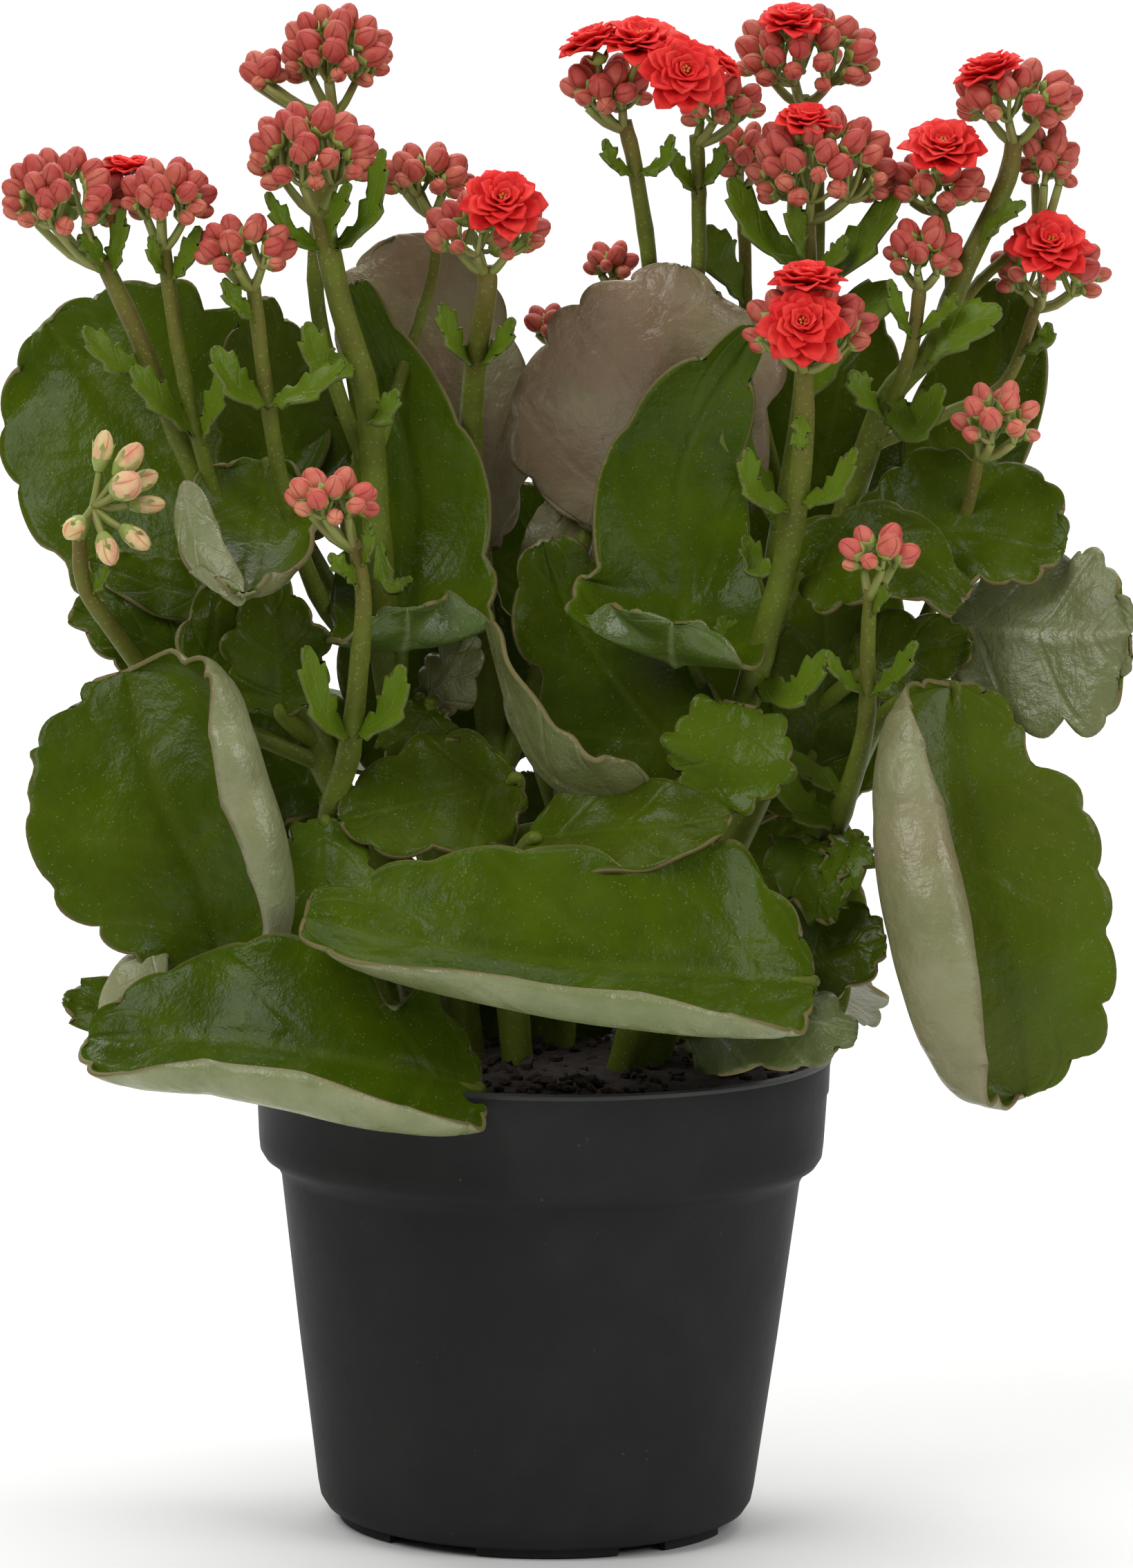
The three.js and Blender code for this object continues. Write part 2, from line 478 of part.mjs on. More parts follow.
    teeth: 6, notch: 1.2, stalk: [[59, 147, 10], [64, 151, 20]] },
  { name: "leaf_back_wide_left", of: "shoot_rose_left", own: false,
    rib: [[-26, 160, -26], [-40, 170, -44], [-60, 178, -62], [-78, 180, -76]],
    face: [[0.2, 0.9, 0.2], [-0.3, 0.9, 0]], wide: [20, 20], roll: [[15, 10, 10], [15, 10, 10]],
    teeth: 6, notch: 1.4, stalk: [[-10, 140, -14], [-26, 160, -26]] },
  { name: "leaf_back_wide_right", of: "shoot_right_inner", own: false,
    rib: [[32, 150, -26], [46, 162, -46], [64, 170, -64], [80, 170, -80]],
    face: [[-0.2, 0.9, 0.2], [0.3, 0.9, 0]], wide: [20, 20], roll: [[15, 10, 10], [15, 10, 10]],
    teeth: 6, notch: 1.4, stalk: [[14, 136, -12], [32, 150, -26]] },
  { name: "leaf_back_low", of: "shoot_back", own: false,
    rib: [[-4, 122, -30], [-8, 130, -49], [-12, 128, -69], [-14, 118, -84]],
    face: [[0, 0.9, -0.1], [0, 0.9, -0.5]], wide: [22, 22], roll: [[15, 10, 10], [15, 10, 10]],
    teeth: 6, notch: 1.4, stalk: [[0, 112, -18], [-4, 122, -30]] },
  { name: "leaf_back_low_left", of: "shoot_left", own: false,
    rib: [[-32, 116, -24], [-50, 124, -40], [-70, 122, -54], [-88, 110, -60]],
    face: [[0, 0.9, -0.1], [-0.4, 0.9, -0.3]], wide: [19, 19], roll: [[15, 10, 10], [15, 10, 10]],
    teeth: 6, notch: 1.4, stalk: [[-14, 110, -10], [-32, 116, -24]] },
  { name: "leaf_back_low_right", of: "shoot_right_inner", own: false,
    rib: [[30, 114, -28], [42, 124, -48], [54, 122, -64], [66, 112, -78]],
    face: [[0, 0.9, -0.1], [0.4, 0.9, -0.3]], wide: [19, 19], roll: [[15, 10, 10], [15, 10, 10]],
    teeth: 6, notch: 1.4, stalk: [[16, 110, -10], [30, 114, -28]] },
  { name: "leaf_back_upright", of: "shoot_back", own: false,
    rib: [[0, 178, -44], [-2, 200, -58], [-2, 224, -66]],
    face: [[0, 0.3, 1], [0, 0.3, 1]], wide: [18, 18], roll: [[20, 15, 15], [20, 15, 15]],
    teeth: 6, notch: 1.4, stalk: [[4, 160, -24], [0, 178, -44]] },
  { name: "leaf_inner_low_left", of: "shoot_rose_left", own: false,
    rib: [[-28, 112, -22], [-42, 132, -26], [-56, 158, -30]],
    face: [[0, 0.1, 1], [0, 0.1, 1]], wide: [21, 21], roll: [[15, 10, 15], [15, 10, 15]],
    teeth: 6, notch: 1.2, stalk: [[-18, 104, -10], [-28, 112, -22]] },
  { name: "leaf_inner_low_centre", of: "shoot_back", own: false,
    rib: [[-6, 104, -32], [-6, 130, -34], [-4, 164, -36]],
    face: [[0, 0.1, 1], [0, 0.1, 1]], wide: [25, 25], roll: [[15, 10, 15], [15, 10, 15]],
    teeth: 6, notch: 1.2, stalk: [[2, 100, -22], [-6, 104, -32]] },
  { name: "leaf_inner_low_right", of: "shoot_right_inner", own: false,
    rib: [[34, 106, -24], [44, 132, -28], [52, 166, -30]],
    face: [[0, 0.1, 1], [0, 0.1, 1]], wide: [22, 22], roll: [[15, 10, 15], [15, 10, 15]],
    teeth: 6, notch: 1.2, stalk: [[24, 100, -6], [34, 106, -24]] },
  { name: "leaf_inner_high_left", of: "shoot_left", own: false,
    rib: [[-46, 158, -14], [-60, 172, -20], [-80, 196, -28]],
    face: [[0, 0.1, 1], [0, 0.1, 1]], wide: [17, 17], roll: [[15, 10, 15], [15, 10, 15]],
    teeth: 6, notch: 1.2, stalk: [[-40, 152, -2], [-46, 158, -14]] },
  { name: "leaf_inner_high_centre", of: "shoot_centre", own: false,
    rib: [[-14, 160, -18], [-23, 184, -22], [-26, 214, -26]],
    face: [[0, 0.1, 1], [0, 0.1, 1]], wide: [20, 20], roll: [[15, 10, 15], [15, 10, 15]],
    teeth: 6, notch: 1.2, stalk: [[-11, 150, -1], [-14, 160, -18]] },
  { name: "leaf_inner_high_right", of: "shoot_right_inner", own: false,
    rib: [[42, 158, -22], [54, 182, -26], [64, 212, -30]],
    face: [[0, 0.1, 1], [0, 0.1, 1]], wide: [22, 22], roll: [[15, 10, 15], [15, 10, 15]],
    teeth: 6, notch: 1.2, stalk: [[36, 150, -8], [42, 158, -22]] },
];

// Leafy shoots. Each stalk runs through places from the soil or from the stalk it branches off, with its
// radii along the way. Each bract is a small leaf, from its base on the stalk to its tip.
const SHOOTS = [
  { name: "shoot_left",
    stalks: [
      { places: [[-22, 90, 6], [-30, 130, 2], [-46, 166, -2], [-60, 196, -4], [-72, 224, -2], [-77, 235, 0],
        [-85, 255, 4], [-92, 270, 6]], radii: [3.6, 3.2, 2.2, 1.8] },
      { places: [[-66, 212, -3], [-72, 232, 2], [-75, 245, 5], [-77, 255, 7], [-79.5, 274, 8]], radii: [1.6, 1.5] },
    ],
    bracts: [
      { rib: [[-91, 267, 6], [-94, 272, 9], [-97, 275, 11]], wide: 2.6 },
      { rib: [[-91, 267, 6], [-89, 273, 9], [-88, 281, 10]], wide: 2.2 },
      { rib: [[-82, 248, 2], [-89, 249, 7], [-96, 256, 9]], wide: 3.4 },
      { rib: [[-73, 234, 2], [-80, 241, 9], [-86, 248, 11]], wide: 3.6 },
      { rib: [[-72, 232, 2], [-69, 240, 7], [-66, 248, 8]], wide: 2.6 },
      { rib: [[-79, 267, 8], [-81, 270, 11], [-82, 275, 12]], wide: 1.8 },
      { rib: [[-79, 266, 8], [-75, 270, 10], [-72, 277, 11]], wide: 2.4 },
    ] },
  { name: "shoot_rose_left",
    stalks: [
      { places: [[-14, 90, -6], [-22, 140, -6], [-32, 180, -4], [-35, 210, -1], [-37, 240, 2], [-43, 262, 4],
        [-47, 281, 6]], radii: [3.8, 3.4, 2.6, 2.4] },
      { places: [[-36, 224, 0], [-44, 245, -8], [-48, 266, -14], [-46, 290, -17], [-44, 302, -16]], radii: [1.7, 1.6] },
      { places: [[-33, 186, -4], [-46, 198, -4], [-54, 220, 2], [-58, 242, 8], [-61, 266, 11]], radii: [1.9, 1.5] },
      { places: [[-36, 228, 0], [-29, 250, -13], [-23.5, 268, -17], [-23.5, 281, -16]], radii: [1.4, 1.2] },
    ],
    bracts: [
      { rib: [[-45, 272, 5], [-37, 279, 11], [-34, 293, 13]], wide: 2.6 },
      { rib: [[-45, 272, 5], [-44, 279, 12], [-41, 286, 14]], wide: 2.4 },
      { rib: [[-46, 272, 5], [-53, 276, 9], [-58, 284, 10]], wide: 2.2 },
      { rib: [[-40, 250, 3], [-46, 248, 9], [-50, 257, 11]], wide: 4 },
      { rib: [[-37, 236, 2], [-34, 238, 8], [-31, 243, 9]], wide: 2.8 },
      { rib: [[-58, 241, 8], [-64, 244, 14], [-69, 252, 15]], wide: 3.8 },
      { rib: [[-58, 241, 8], [-50, 243, 14], [-42, 249, 15]], wide: 3 },
      { rib: [[-61, 258, 10], [-64, 261, 14], [-67, 266, 15]], wide: 2.4 },
      { rib: [[-38, 215, 0], [-33, 203, 6], [-28, 204, 8]], wide: 1.8 },
    ] },
  { name: "shoot_centre",
    stalks: [
      { places: [[-5, 90, 2], [-9, 140, -2], [-13, 190, -16], [-16, 222, -20], [-15, 246, -10], [-12.5, 263, 3],
        [-12.5, 269, 4]], radii: [3.4, 2.8, 1.8] },
      { places: [[-10.5, 160, -7], [4, 200, -18], [16, 240, -20], [22, 262, -10], [18.5, 288, -4], [16, 299, -4]],
        radii: [2.2, 1.7, 1.6] },
      { places: [[17, 242, -19], [30, 262, -14], [31.5, 282, -8], [31, 296, -6]], radii: [1.6, 1.5] },
    ],
    bracts: [
      { rib: [[-15, 248, -8], [-19, 253, 0], [-22, 261, 2]], wide: 2.8 },
      { rib: [[-14, 248, -8], [-10, 252, 0], [-7, 258, 2]], wide: 2.4 },
      { rib: [[18.5, 287, -4], [14, 290, 0], [12, 295, 1]], wide: 1.8 },
      { rib: [[19, 287, -4], [24, 290, 0], [26, 296, 1]], wide: 1.8 },
      { rib: [[31, 285, -8], [35, 289, -3], [37, 294, 0]], wide: 2.2 },
      { rib: [[31, 284, -8], [28, 288, -3], [26, 293, -2]], wide: 2 },
    ] },
  { name: "shoot_right_inner",
    stalks: [
      { places: [[18, 90, -4], [32, 140, -6], [44, 190, -10], [52, 235, -10], [54, 262, -4], [54, 280, 0]],
        radii: [3.6, 3, 1.9, 1.7] },
      { places: [[53, 250, -7], [56, 275, -16], [55, 295, -20], [53, 304, -18]], radii: [1.7, 1.5] },
      { places: [[49, 218, -10], [42, 250, -24], [41, 274, -28], [40, 286, -26]], radii: [1.5, 1.3] },
    ],
    bracts: [
      { rib: [[53, 268, -2], [44, 276, 2], [38, 287, 3]], wide: 4 },
      { rib: [[54, 268, -2], [52, 275, 4], [51, 284, 5]], wide: 2.4 },
      { rib: [[55, 262, -3], [64, 272, 2], [73, 284, 3]], wide: 4 },
      { rib: [[54, 268, -2], [59, 270, 4], [62, 275, 5]], wide: 2.2 },
      { rib: [[41, 262, -26], [36, 270, -21], [33, 277, -20]], wide: 5 },
      { rib: [[52, 240, -9], [62, 256, -4], [72, 265, -3]], wide: 6 },
      { rib: [[48, 212, -10], [40, 232, -4], [38, 242, -3]], wide: 4.5 },
    ] },
  { name: "shoot_right_outer",
    stalks: [
      { places: [[16, 90, 2], [30, 130, -2], [48, 170, -5], [59, 208, -6], [70, 240, 0], [80, 252, 4],
        [86, 267, 1], [95, 286, -6], [97, 296, -8]], radii: [3.6, 3, 2.4, 1.8] },
      { places: [[82, 255, 4], [90, 266, -6], [102, 276, -12]], radii: [1.4, 1] },
      { places: [[70, 238, 0], [74, 247, 5], [76, 254, 7], [77.5, 266, 6]], radii: [1.7, 1.4] },
      { places: [[74, 246, 2], [88, 248, -6], [98, 249, -11], [102, 262, -11]], radii: [1.5, 1.3] },
      { places: [[84, 262, 3], [83, 274, -3], [81, 282, -3]], radii: [1.3, 1.2] },
    ],
    bracts: [
      { rib: [[78, 250, 4], [84, 255, 10], [94, 260, 11]], wide: 5.5 },
      { rib: [[72, 242, 2], [76, 236, 9], [82, 244, 11]], wide: 4.5 },
      { rib: [[70, 238, 0], [66, 242, 8], [63, 247, 9]], wide: 3.4 },
      { rib: [[76, 254, 7], [73, 259, 11], [71, 266, 12]], wide: 1.9 },
      { rib: [[77, 254, 7], [82, 259, 11], [85, 263, 12]], wide: 1.9 },
      { rib: [[100, 250, -11], [103, 253, -7], [104, 257, -6]], wide: 2 },
      { rib: [[90, 272, -2], [94, 279, 3], [99, 282, 4]], wide: 2.2 },
    ] },
  { name: "shoot_front_right",
    stalks: [
      { places: [[12, 90, 8], [24, 130, 9], [36, 162, 11], [44, 188, 14], [50, 210, 18], [53, 230, 22],
        [53.5, 249, 25]], radii: [3.4, 3.2, 2.9, 2.4, 1.8] },
    ],
    bracts: [
      { rib: [[50, 219, 20], [43, 222, 27], [41.5, 231, 29]], wide: 2.8 },
      { rib: [[53, 219, 20], [59, 222, 27], [64, 231, 29]], wide: 2.6 },
      { rib: [[53, 239, 24], [52.5, 234, 28], [52.5, 231, 29]], wide: 2 },
      { rib: [[43, 182, 14], [51, 180, 22], [58, 189, 25]], wide: 3.6 },
      { rib: [[43, 190, 14], [39, 192, 9], [36, 196, 7]], wide: 3.4 },
      { rib: [[48, 206, 17], [44, 206, 12], [41, 213, 11]], wide: 3 },
    ] },
  { name: "shoot_low_right",
    stalks: [
      { places: [[30, 90, 6], [42, 116, 8], [54, 140, 11], [61, 156, 16], [66, 173, 24], [66.5, 190, 29],
        [67, 202, 33]], radii: [3.2, 2.8, 1.9, 1.3] },
      { places: [[50, 132, 10], [62, 160, 0], [76, 190, -4], [86, 215, 4], [90, 231, 13]], radii: [2, 1.6, 1.2] },
    ],
    bracts: [
      { rib: [[66, 180, 26], [61, 184, 32], [58, 189, 34]], wide: 1.8 },
      { rib: [[66.5, 180, 26], [72, 184, 32], [76.5, 191, 34]], wide: 2.2 },
      { rib: [[66.5, 196, 31], [69, 200, 35], [70, 203, 36]], wide: 2 },
      { rib: [[60, 155, 15], [54, 156, 20], [47, 164, 21]], wide: 4 },
      { rib: [[62, 160, 17], [52, 165, 14], [42, 163, 14]], wide: 3.4 },
    ] },
  { name: "shoot_low_left",
    stalks: [
      { places: [[-26, 90, 12], [-36, 120, 14], [-45, 150, 17], [-41, 168, 23], [-39, 185, 27], [-38, 200, 30],
        [-40, 212, 31]], radii: [3.2, 2.8, 2.4, 1.9, 1.4] },
      { places: [[-32, 110, 13], [-52, 140, 2], [-70, 166, 0], [-83, 184, 4], [-91, 195, 8], [-96, 203, 10],
        [-97, 214, 12]], radii: [2.2, 1.9, 1.5] },
    ],
    bracts: [
      { rib: [[-40, 172, 24], [-46, 176, 31], [-50, 190, 33]], wide: 3.6 },
      { rib: [[-40, 172, 24], [-33, 176, 31], [-30, 186, 33]], wide: 3.6 },
      { rib: [[-38, 203, 30], [-42, 206, 34], [-45, 209, 35]], wide: 2.2 },
      { rib: [[-38, 206, 30], [-37, 210, 34], [-37, 216, 35]], wide: 1.4 },
      { rib: [[-95, 201, 9], [-92, 204, 12], [-91, 208, 13]], wide: 1.4 },
    ] },
  { name: "shoot_back",
    stalks: [
      { places: [[2, 90, -20], [4, 150, -24], [6, 200, -38], [10, 240, -40], [14, 266, -37]], radii: [3.4, 2.4, 1.4] },
      { places: [[10, 238, -40], [5, 248, -38], [1, 254, -37]], radii: [1.2, 1] },
      { places: [[4, 150, -24], [-12, 200, -50], [-28, 236, -62], [-30, 246, -64]], radii: [2.2, 1.5] },
      { places: [[5, 170, -30], [24, 205, -56], [38, 232, -64], [40, 242, -66]], radii: [2.2, 1.5] },
    ],
    bracts: [
      { rib: [[-22, 222, -58], [-34, 226, -64], [-42, 234, -66]], wide: 4 },
      { rib: [[32, 222, -60], [44, 226, -66], [52, 234, -70]], wide: 4 },
      { rib: [[8, 226, -40], [0, 232, -50], [-4, 242, -54]], wide: 4 },
    ] },
];

// Flower heads. hub is where the stalk ends, and each cluster of buds is [centre, half-width, half-height,
// number of buds]. size is the radius of a large bud.
const HEADS = [
  { name: "head_far_left", hub: [-91.5, 269, 6], size: 2.6, clusters: [[[-100, 283, 6], 13, 10, 32]] },
  { name: "head_left", hub: [-79.5, 273, 8], size: 2.55, clusters: [[[-78.5, 283, 8], 10, 8, 22]] },
  { name: "head_third_left", hub: [-61, 265, 11], size: 2.5, clusters: [[[-62.5, 272.5, 12], 10.5, 6.5, 19]] },
  { name: "head_top_left", hub: [-44, 301, -16], size: 2.75,
    clusters: [[[-43.5, 313, -16], 12, 10, 28], [[-58.5, 309, -14], 4.8, 5, 7]] },
  { name: "head_rose_left", hub: [-47, 280, 6], size: 2.75, clusters: [[[-48.5, 292, 6], 13.5, 10.5, 34]] },
  { name: "head_small_left", hub: [-23.5, 280, -16], size: 2.5, clusters: [[[-25, 287.5, -16], 10, 6.5, 17]] },
  { name: "head_centre_left", hub: [-12.5, 268, 4], size: 2.6, clusters: [[[-12.5, 276, 4], 13, 8, 22]] },
  { name: "head_low_left", hub: [-40, 211, 31], size: 2.6, clusters: [[[-44.5, 220.5, 31], 10, 6, 14]] },
  { name: "head_centre_right", hub: [16, 298, -4], size: 2.7, clusters: [[[12.5, 305.5, -4], 9.5, 7, 15]] },
  { name: "head_centre_right_b", hub: [31, 295, -6], size: 2.4, clusters: [[[36, 302.5, -6], 9.5, 6.5, 16]] },
  { name: "head_top_right", hub: [53, 303, -18], size: 2.75, clusters: [[[53.5, 312.5, -18], 15.5, 10, 32]] },
  { name: "head_right_inner", hub: [54, 279, 0], size: 2.75, clusters: [[[57, 289.5, 0], 15.5, 12, 38]] },
  { name: "head_right_small", hub: [81, 281, -3], size: 2.7, clusters: [[[80.5, 285.5, -3], 11.5, 6, 15]] },
  { name: "head_far_right", hub: [97, 295, -8], size: 2.8, clusters: [[[97.5, 303.5, -8], 13.5, 7.5, 22]] },
  { name: "head_far_right_low", hub: [102, 275, -12], size: 2.5,
    clusters: [[[104, 290.5, -12], 6.5, 8.5, 12]] },
  { name: "head_right_edge", hub: [102, 261, -11], size: 2.7, clusters: [[[104.5, 268, -11], 12.5, 8.5, 17]] },
  { name: "head_right_mid", hub: [77.5, 265, 6], size: 2.6, clusters: [[[78, 271.5, 6], 8.5, 7.5, 13]] },
  { name: "head_front_right", hub: [53.5, 248, 25], size: 2.7, clusters: [[[54.5, 256, 24], 14, 10, 22]] },
  { name: "head_low_right_back", hub: [90, 230, 13], size: 2.4, clusters: [[[93.5, 237, 14], 9.5, 8, 13]] },
  { name: "head_low_right", hub: [67, 201, 33], size: 2.5, clusters: [[[69, 209.5, 33], 8.5, 5.5, 9]] },
  { name: "head_back_small", hub: [14, 265, -37], size: 2.1, clusters: [[[13.5, 269.5, -37], 6, 4.5, 10]] },
  { name: "head_back_twig", hub: [1, 254, -37], size: 2.0, clusters: [[[0, 257, -37], 5, 4, 8]] },
  { name: "head_behind_right", hub: [40, 285, -26], size: 2.3, clusters: [[[41, 292, -26], 6.5, 7, 11]] },
  { name: "head_back_left", hub: [-30, 245, -64], size: 2.6, clusters: [[[-31, 254, -66], 12, 8, 20]] },
  { name: "head_back_right", hub: [40, 241, -66], size: 2.6, clusters: [[[42, 250, -68], 12, 8, 20]] },
];

// The young pale head: each bud's place, length and radius
const PALE_HEAD = {
  name: "head_pale_left",
  hub: [-97, 213, 12],
  fork: [-94, 219, 14],
  buds: [
    [[-92, 231, 14], 8, 2.2], [[-86.5, 229, 16], 8, 2.6], [[-87, 223.5, 20], 7, 3.2], [[-83.5, 224.5, 12], 6.5, 2.2],
    [[-82.5, 219.5, 14], 7, 2], [[-98, 214.5, 18], 5.5, 2.3], [[-91, 210, 20], 7, 2.4], [[-85, 212.5, 18], 7, 2.2],
  ],
};

// Open double flowers, which hold together where they touch: centre, the way each looks, its radius, and
// the spot in its head where its stalk starts
const BLOOMS = [
  { name: "bloom_centre_left", flowers: [{ centre: [-9.5, 281, 16], face: [0.1, 0.55, 0.8], radius: 9,
    stalk: [-12, 274, 8] }] },
  { name: "bloom_left", flowers: [{ centre: [-87, 288, 2], face: [0, 1, 0.1], radius: 6, stalk: [-81, 280, 6] }] },
  { name: "blooms_centre_right", flowers: [
    { centre: [10, 314, 0], face: [-0.4, 1, 0.2], radius: 7.5, stalk: [12, 303, -3] },
    { centre: [19, 314, 2], face: [0, 0.9, 0.5], radius: 8.5, stalk: [15, 304, -3] },
    { centre: [28, 308, 9], face: [0.2, 0.4, 0.9], radius: 9, stalk: [31, 301, 0] },
    { centre: [35, 310, 1], face: [0.5, 0.8, 0.2], radius: 5.5, stalk: [31, 301, 0] },
  ] },
  { name: "bloom_top_right", flowers: [{ centre: [51, 318.2, -10], face: [0, 0.9, 0.35], radius: 7.5,
    stalk: [53, 309, -14] }] },
  { name: "bloom_right_inner", flowers: [{ centre: [54, 297.6, 4], face: [0.1, 0.95, 0.4], radius: 7,
    stalk: [56, 288, 1] }] },
  { name: "bloom_right", flowers: [{ centre: [82, 292, 4], face: [0, 0.75, 0.65], radius: 9,
    stalk: [81, 285, -1] }] },
  { name: "bloom_far_right", flowers: [{ centre: [92, 308, -4], face: [-0.3, 1, 0.2], radius: 7.5,
    stalk: [95, 301, -7] }] },
  { name: "bloom_right_edge", flowers: [{ centre: [104, 272, 0], face: [0.1, 0.6, 0.8], radius: 9,
    stalk: [104, 266, -8] }] },
  { name: "blooms_front_right", flowers: [
    { centre: [53, 256, 36], face: [0, 0.35, 0.95], radius: 9, stalk: [54, 253, 27] },
    { centre: [54, 264.5, 31], face: [0, 1, 0.3], radius: 8, stalk: [54, 257, 27] },
  ] },
];

// How far from a bud's tip its widest ring lies, as a share of its radius
const BUD_BELLY = 1.15;
const BUD_SIDES = 4;

// A flower bud and its stem: a pointed drop with its widest ring near its tip
function drop(base, tip, radius, grow) {
  const axis = tip.clone().sub(base).normalize();
  const from = base.clone().addScaledVector(axis, -grow);
  const long = tip.distanceTo(base) + 2 * grow;
  const belly = Math.max(long - BUD_BELLY * (radius + grow), long / 2);
  const across = new THREE.Vector3(axis.z, axis.x, axis.y).cross(axis).normalize();
  const other = new THREE.Vector3().crossVectors(axis, across);
  const points = [];
  const faces = [];
  for (let k = 0; k < BUD_SIDES; k++) {
    const angle = 2 * Math.PI * k / BUD_SIDES;
    points.push(from.clone().addScaledVector(axis, belly)
      .addScaledVector(across, Math.cos(angle) * (radius + grow * 1.5))
      .addScaledVector(other, Math.sin(angle) * (radius + grow * 1.5)));
  }
  points.push(from, from.clone().addScaledVector(axis, long));
  for (let k = 0; k < BUD_SIDES; k++) {
    const next = (k + 1) % BUD_SIDES;
    faces.push([BUD_SIDES, next, k], [k, next, BUD_SIDES + 1]);
  }
  return solidFrom(points, faces);
}

// The share of a head's buds that the solids keep
const BUDS_KEPT = 0.26;
// How far out of the middle of its head a bud is rooted, and how much it turns up
const BUD_ROOT = 0.4;
const BUD_LEAN = new THREE.Vector3(0, 0, 0.35);

// The buds of a cluster: over a dome, the large ones on top and the small ones round the skirt
function clusterBuds([centre, half, high, full], size, seed) {
  const count = Math.round(full * BUDS_KEPT);
  const draw = seeded(seed);
  const middle = place(centre);
  const buds = [];
  for (let i = 0; i < count; i++) {
    const rise = 1 - 1.55 * (i + 0.5) / count;
    const angle = i * 2.39996 + draw() * 0.5;
    const ring = Math.sqrt(Math.max(1 - rise * rise, 0));
    const radius = size * (rise > 0 ? 0.86 + 0.18 * draw() : 0.62 + 0.22 * draw());
    const reach = 1 - radius / Math.max(half, high) * 0.7;
    const out = new THREE.Vector3(Math.cos(angle) * ring * half, Math.sin(angle) * ring * half * 0.9, rise * high)
      .multiplyScalar(reach);
    const tip = out.clone().addScaledVector(out.clone().normalize().add(BUD_LEAN).normalize(), radius);
    buds.push({ base: middle.clone().addScaledVector(out, BUD_ROOT), tip: middle.clone().add(tip), radius });
  }
  return buds;
}

// A head: buds that stand on a small core, which branches from the end of the stalk
function headSolid({ hub, clusters, size }, grow, seed) {
  const root = place(hub);
  const solids = [];
  clusters.forEach((cluster, index) => {
    const [centre, half, high] = cluster;
    const middle = place(centre);
    const core = solidOf(new THREE.OctahedronGeometry(1, 0).scale(half * 0.72 + grow, half * 0.66 + grow,
      high * 0.7 + grow).translate(middle.x, middle.y, middle.z - high * 0.1));
    solids.push(core);
    const foot = middle.clone().add(new THREE.Vector3(0, 0, -high * 0.5));
    solids.push(rodAlong([root, foot.clone().lerp(root, 0.5), foot], () => 1.3 + grow, 4));
    clusterBuds(cluster, size, seed + index).forEach(({ base, tip, radius }) => {
      solids.push(drop(base, tip, radius, grow));
    });
  });
  return joined(solids);
}

function paleHeadSolid({ hub, fork, buds }, grow) {
  const root = place(hub);
  const split = place(fork);
  const solids = [rodAlong([root, split], () => 1.3 + grow, 4)];
  buds.forEach(([spot, long, radius]) => {
    const middle = place(spot);
    const axis = middle.clone().sub(split).normalize();
    solids.push(rodAlong([split, middle], () => 0.8 + grow, 3));
    solids.push(drop(middle.clone().addScaledVector(axis, -long / 2), middle.clone().addScaledVector(axis, long / 2),
      radius, grow));
  });
  return joined(solids);
}

// An open double flower turned about its face: rings of spots as [reach at a petal, reach between petals,
// height at a petal, height between petals], from the heart out over both layers of petals and back under
const PETAL_RINGS = [
  [0.56, 0.3, 0.56, 0.3],
  [0.42, 0.42, 0.16, 0.16],
  [0.6, 1, 0.12, 0.26],
  [0.6, 1, 0.03, 0.17],
  [0.34, 0.34, -0.12, -0.12],
];
const UNDER_RINGS = 2;
const PETALS = 5;
const HEART_LEVEL = 0.18;
const STEM_LEVEL = -0.7;
const FLOWER_STALK = 0.9;

function bloomSolid({ centre, face, radius, stalk }, grow) {
  const middle = place(centre);
  const axis = heading(face);
  const across = new THREE.Vector3(0.3, 0.8, 0.52).cross(axis).normalize();
  const other = new THREE.Vector3().crossVectors(axis, across);
  const spot = (reach, height, angle) => middle.clone()
    .addScaledVector(across, Math.cos(angle) * reach)
    .addScaledVector(other, Math.sin(angle) * reach)
    .addScaledVector(axis, height);
  const count = 2 * PETALS;
  const points = [];
  const faces = [];
  PETAL_RINGS.forEach(([petalReach, gapReach, petalHeight, gapHeight], ring) => {
    const under = ring < PETAL_RINGS.length - UNDER_RINGS ? grow : -grow;
    for (let k = 0; k < count; k++) {
      const reach = (k % 2 ? gapReach : petalReach) * radius + grow;
      points.push(spot(reach, (k % 2 ? gapHeight : petalHeight) * radius + under, Math.PI * k / PETALS));
    }
  });
  const heart = points.push(spot(0, HEART_LEVEL * radius + grow, 0)) - 1;
  const foot = points.push(spot(0, STEM_LEVEL * radius - grow, 0)) - 1;
  const last = (PETAL_RINGS.length - 1) * count;
  for (let k = 0; k < count; k++) {
    const next = (k + 1) % count;
    faces.push([heart, k, next], [last + next, last + k, foot]);
    for (let start = 0; start < last; start += count) {
      faces.push([start + k, start + count + k, start + next]);
      faces.push([start + next, start + count + k, start + count + next]);
    }
  }
  const top = spot(0, STEM_LEVEL * radius / 2, 0);
  const low = place(stalk);
  low.addScaledVector(low.clone().sub(top).normalize(), grow);
  return solidFrom(points, faces).add(rodAlong([top, low], () => FLOWER_STALK + grow, 4));
}

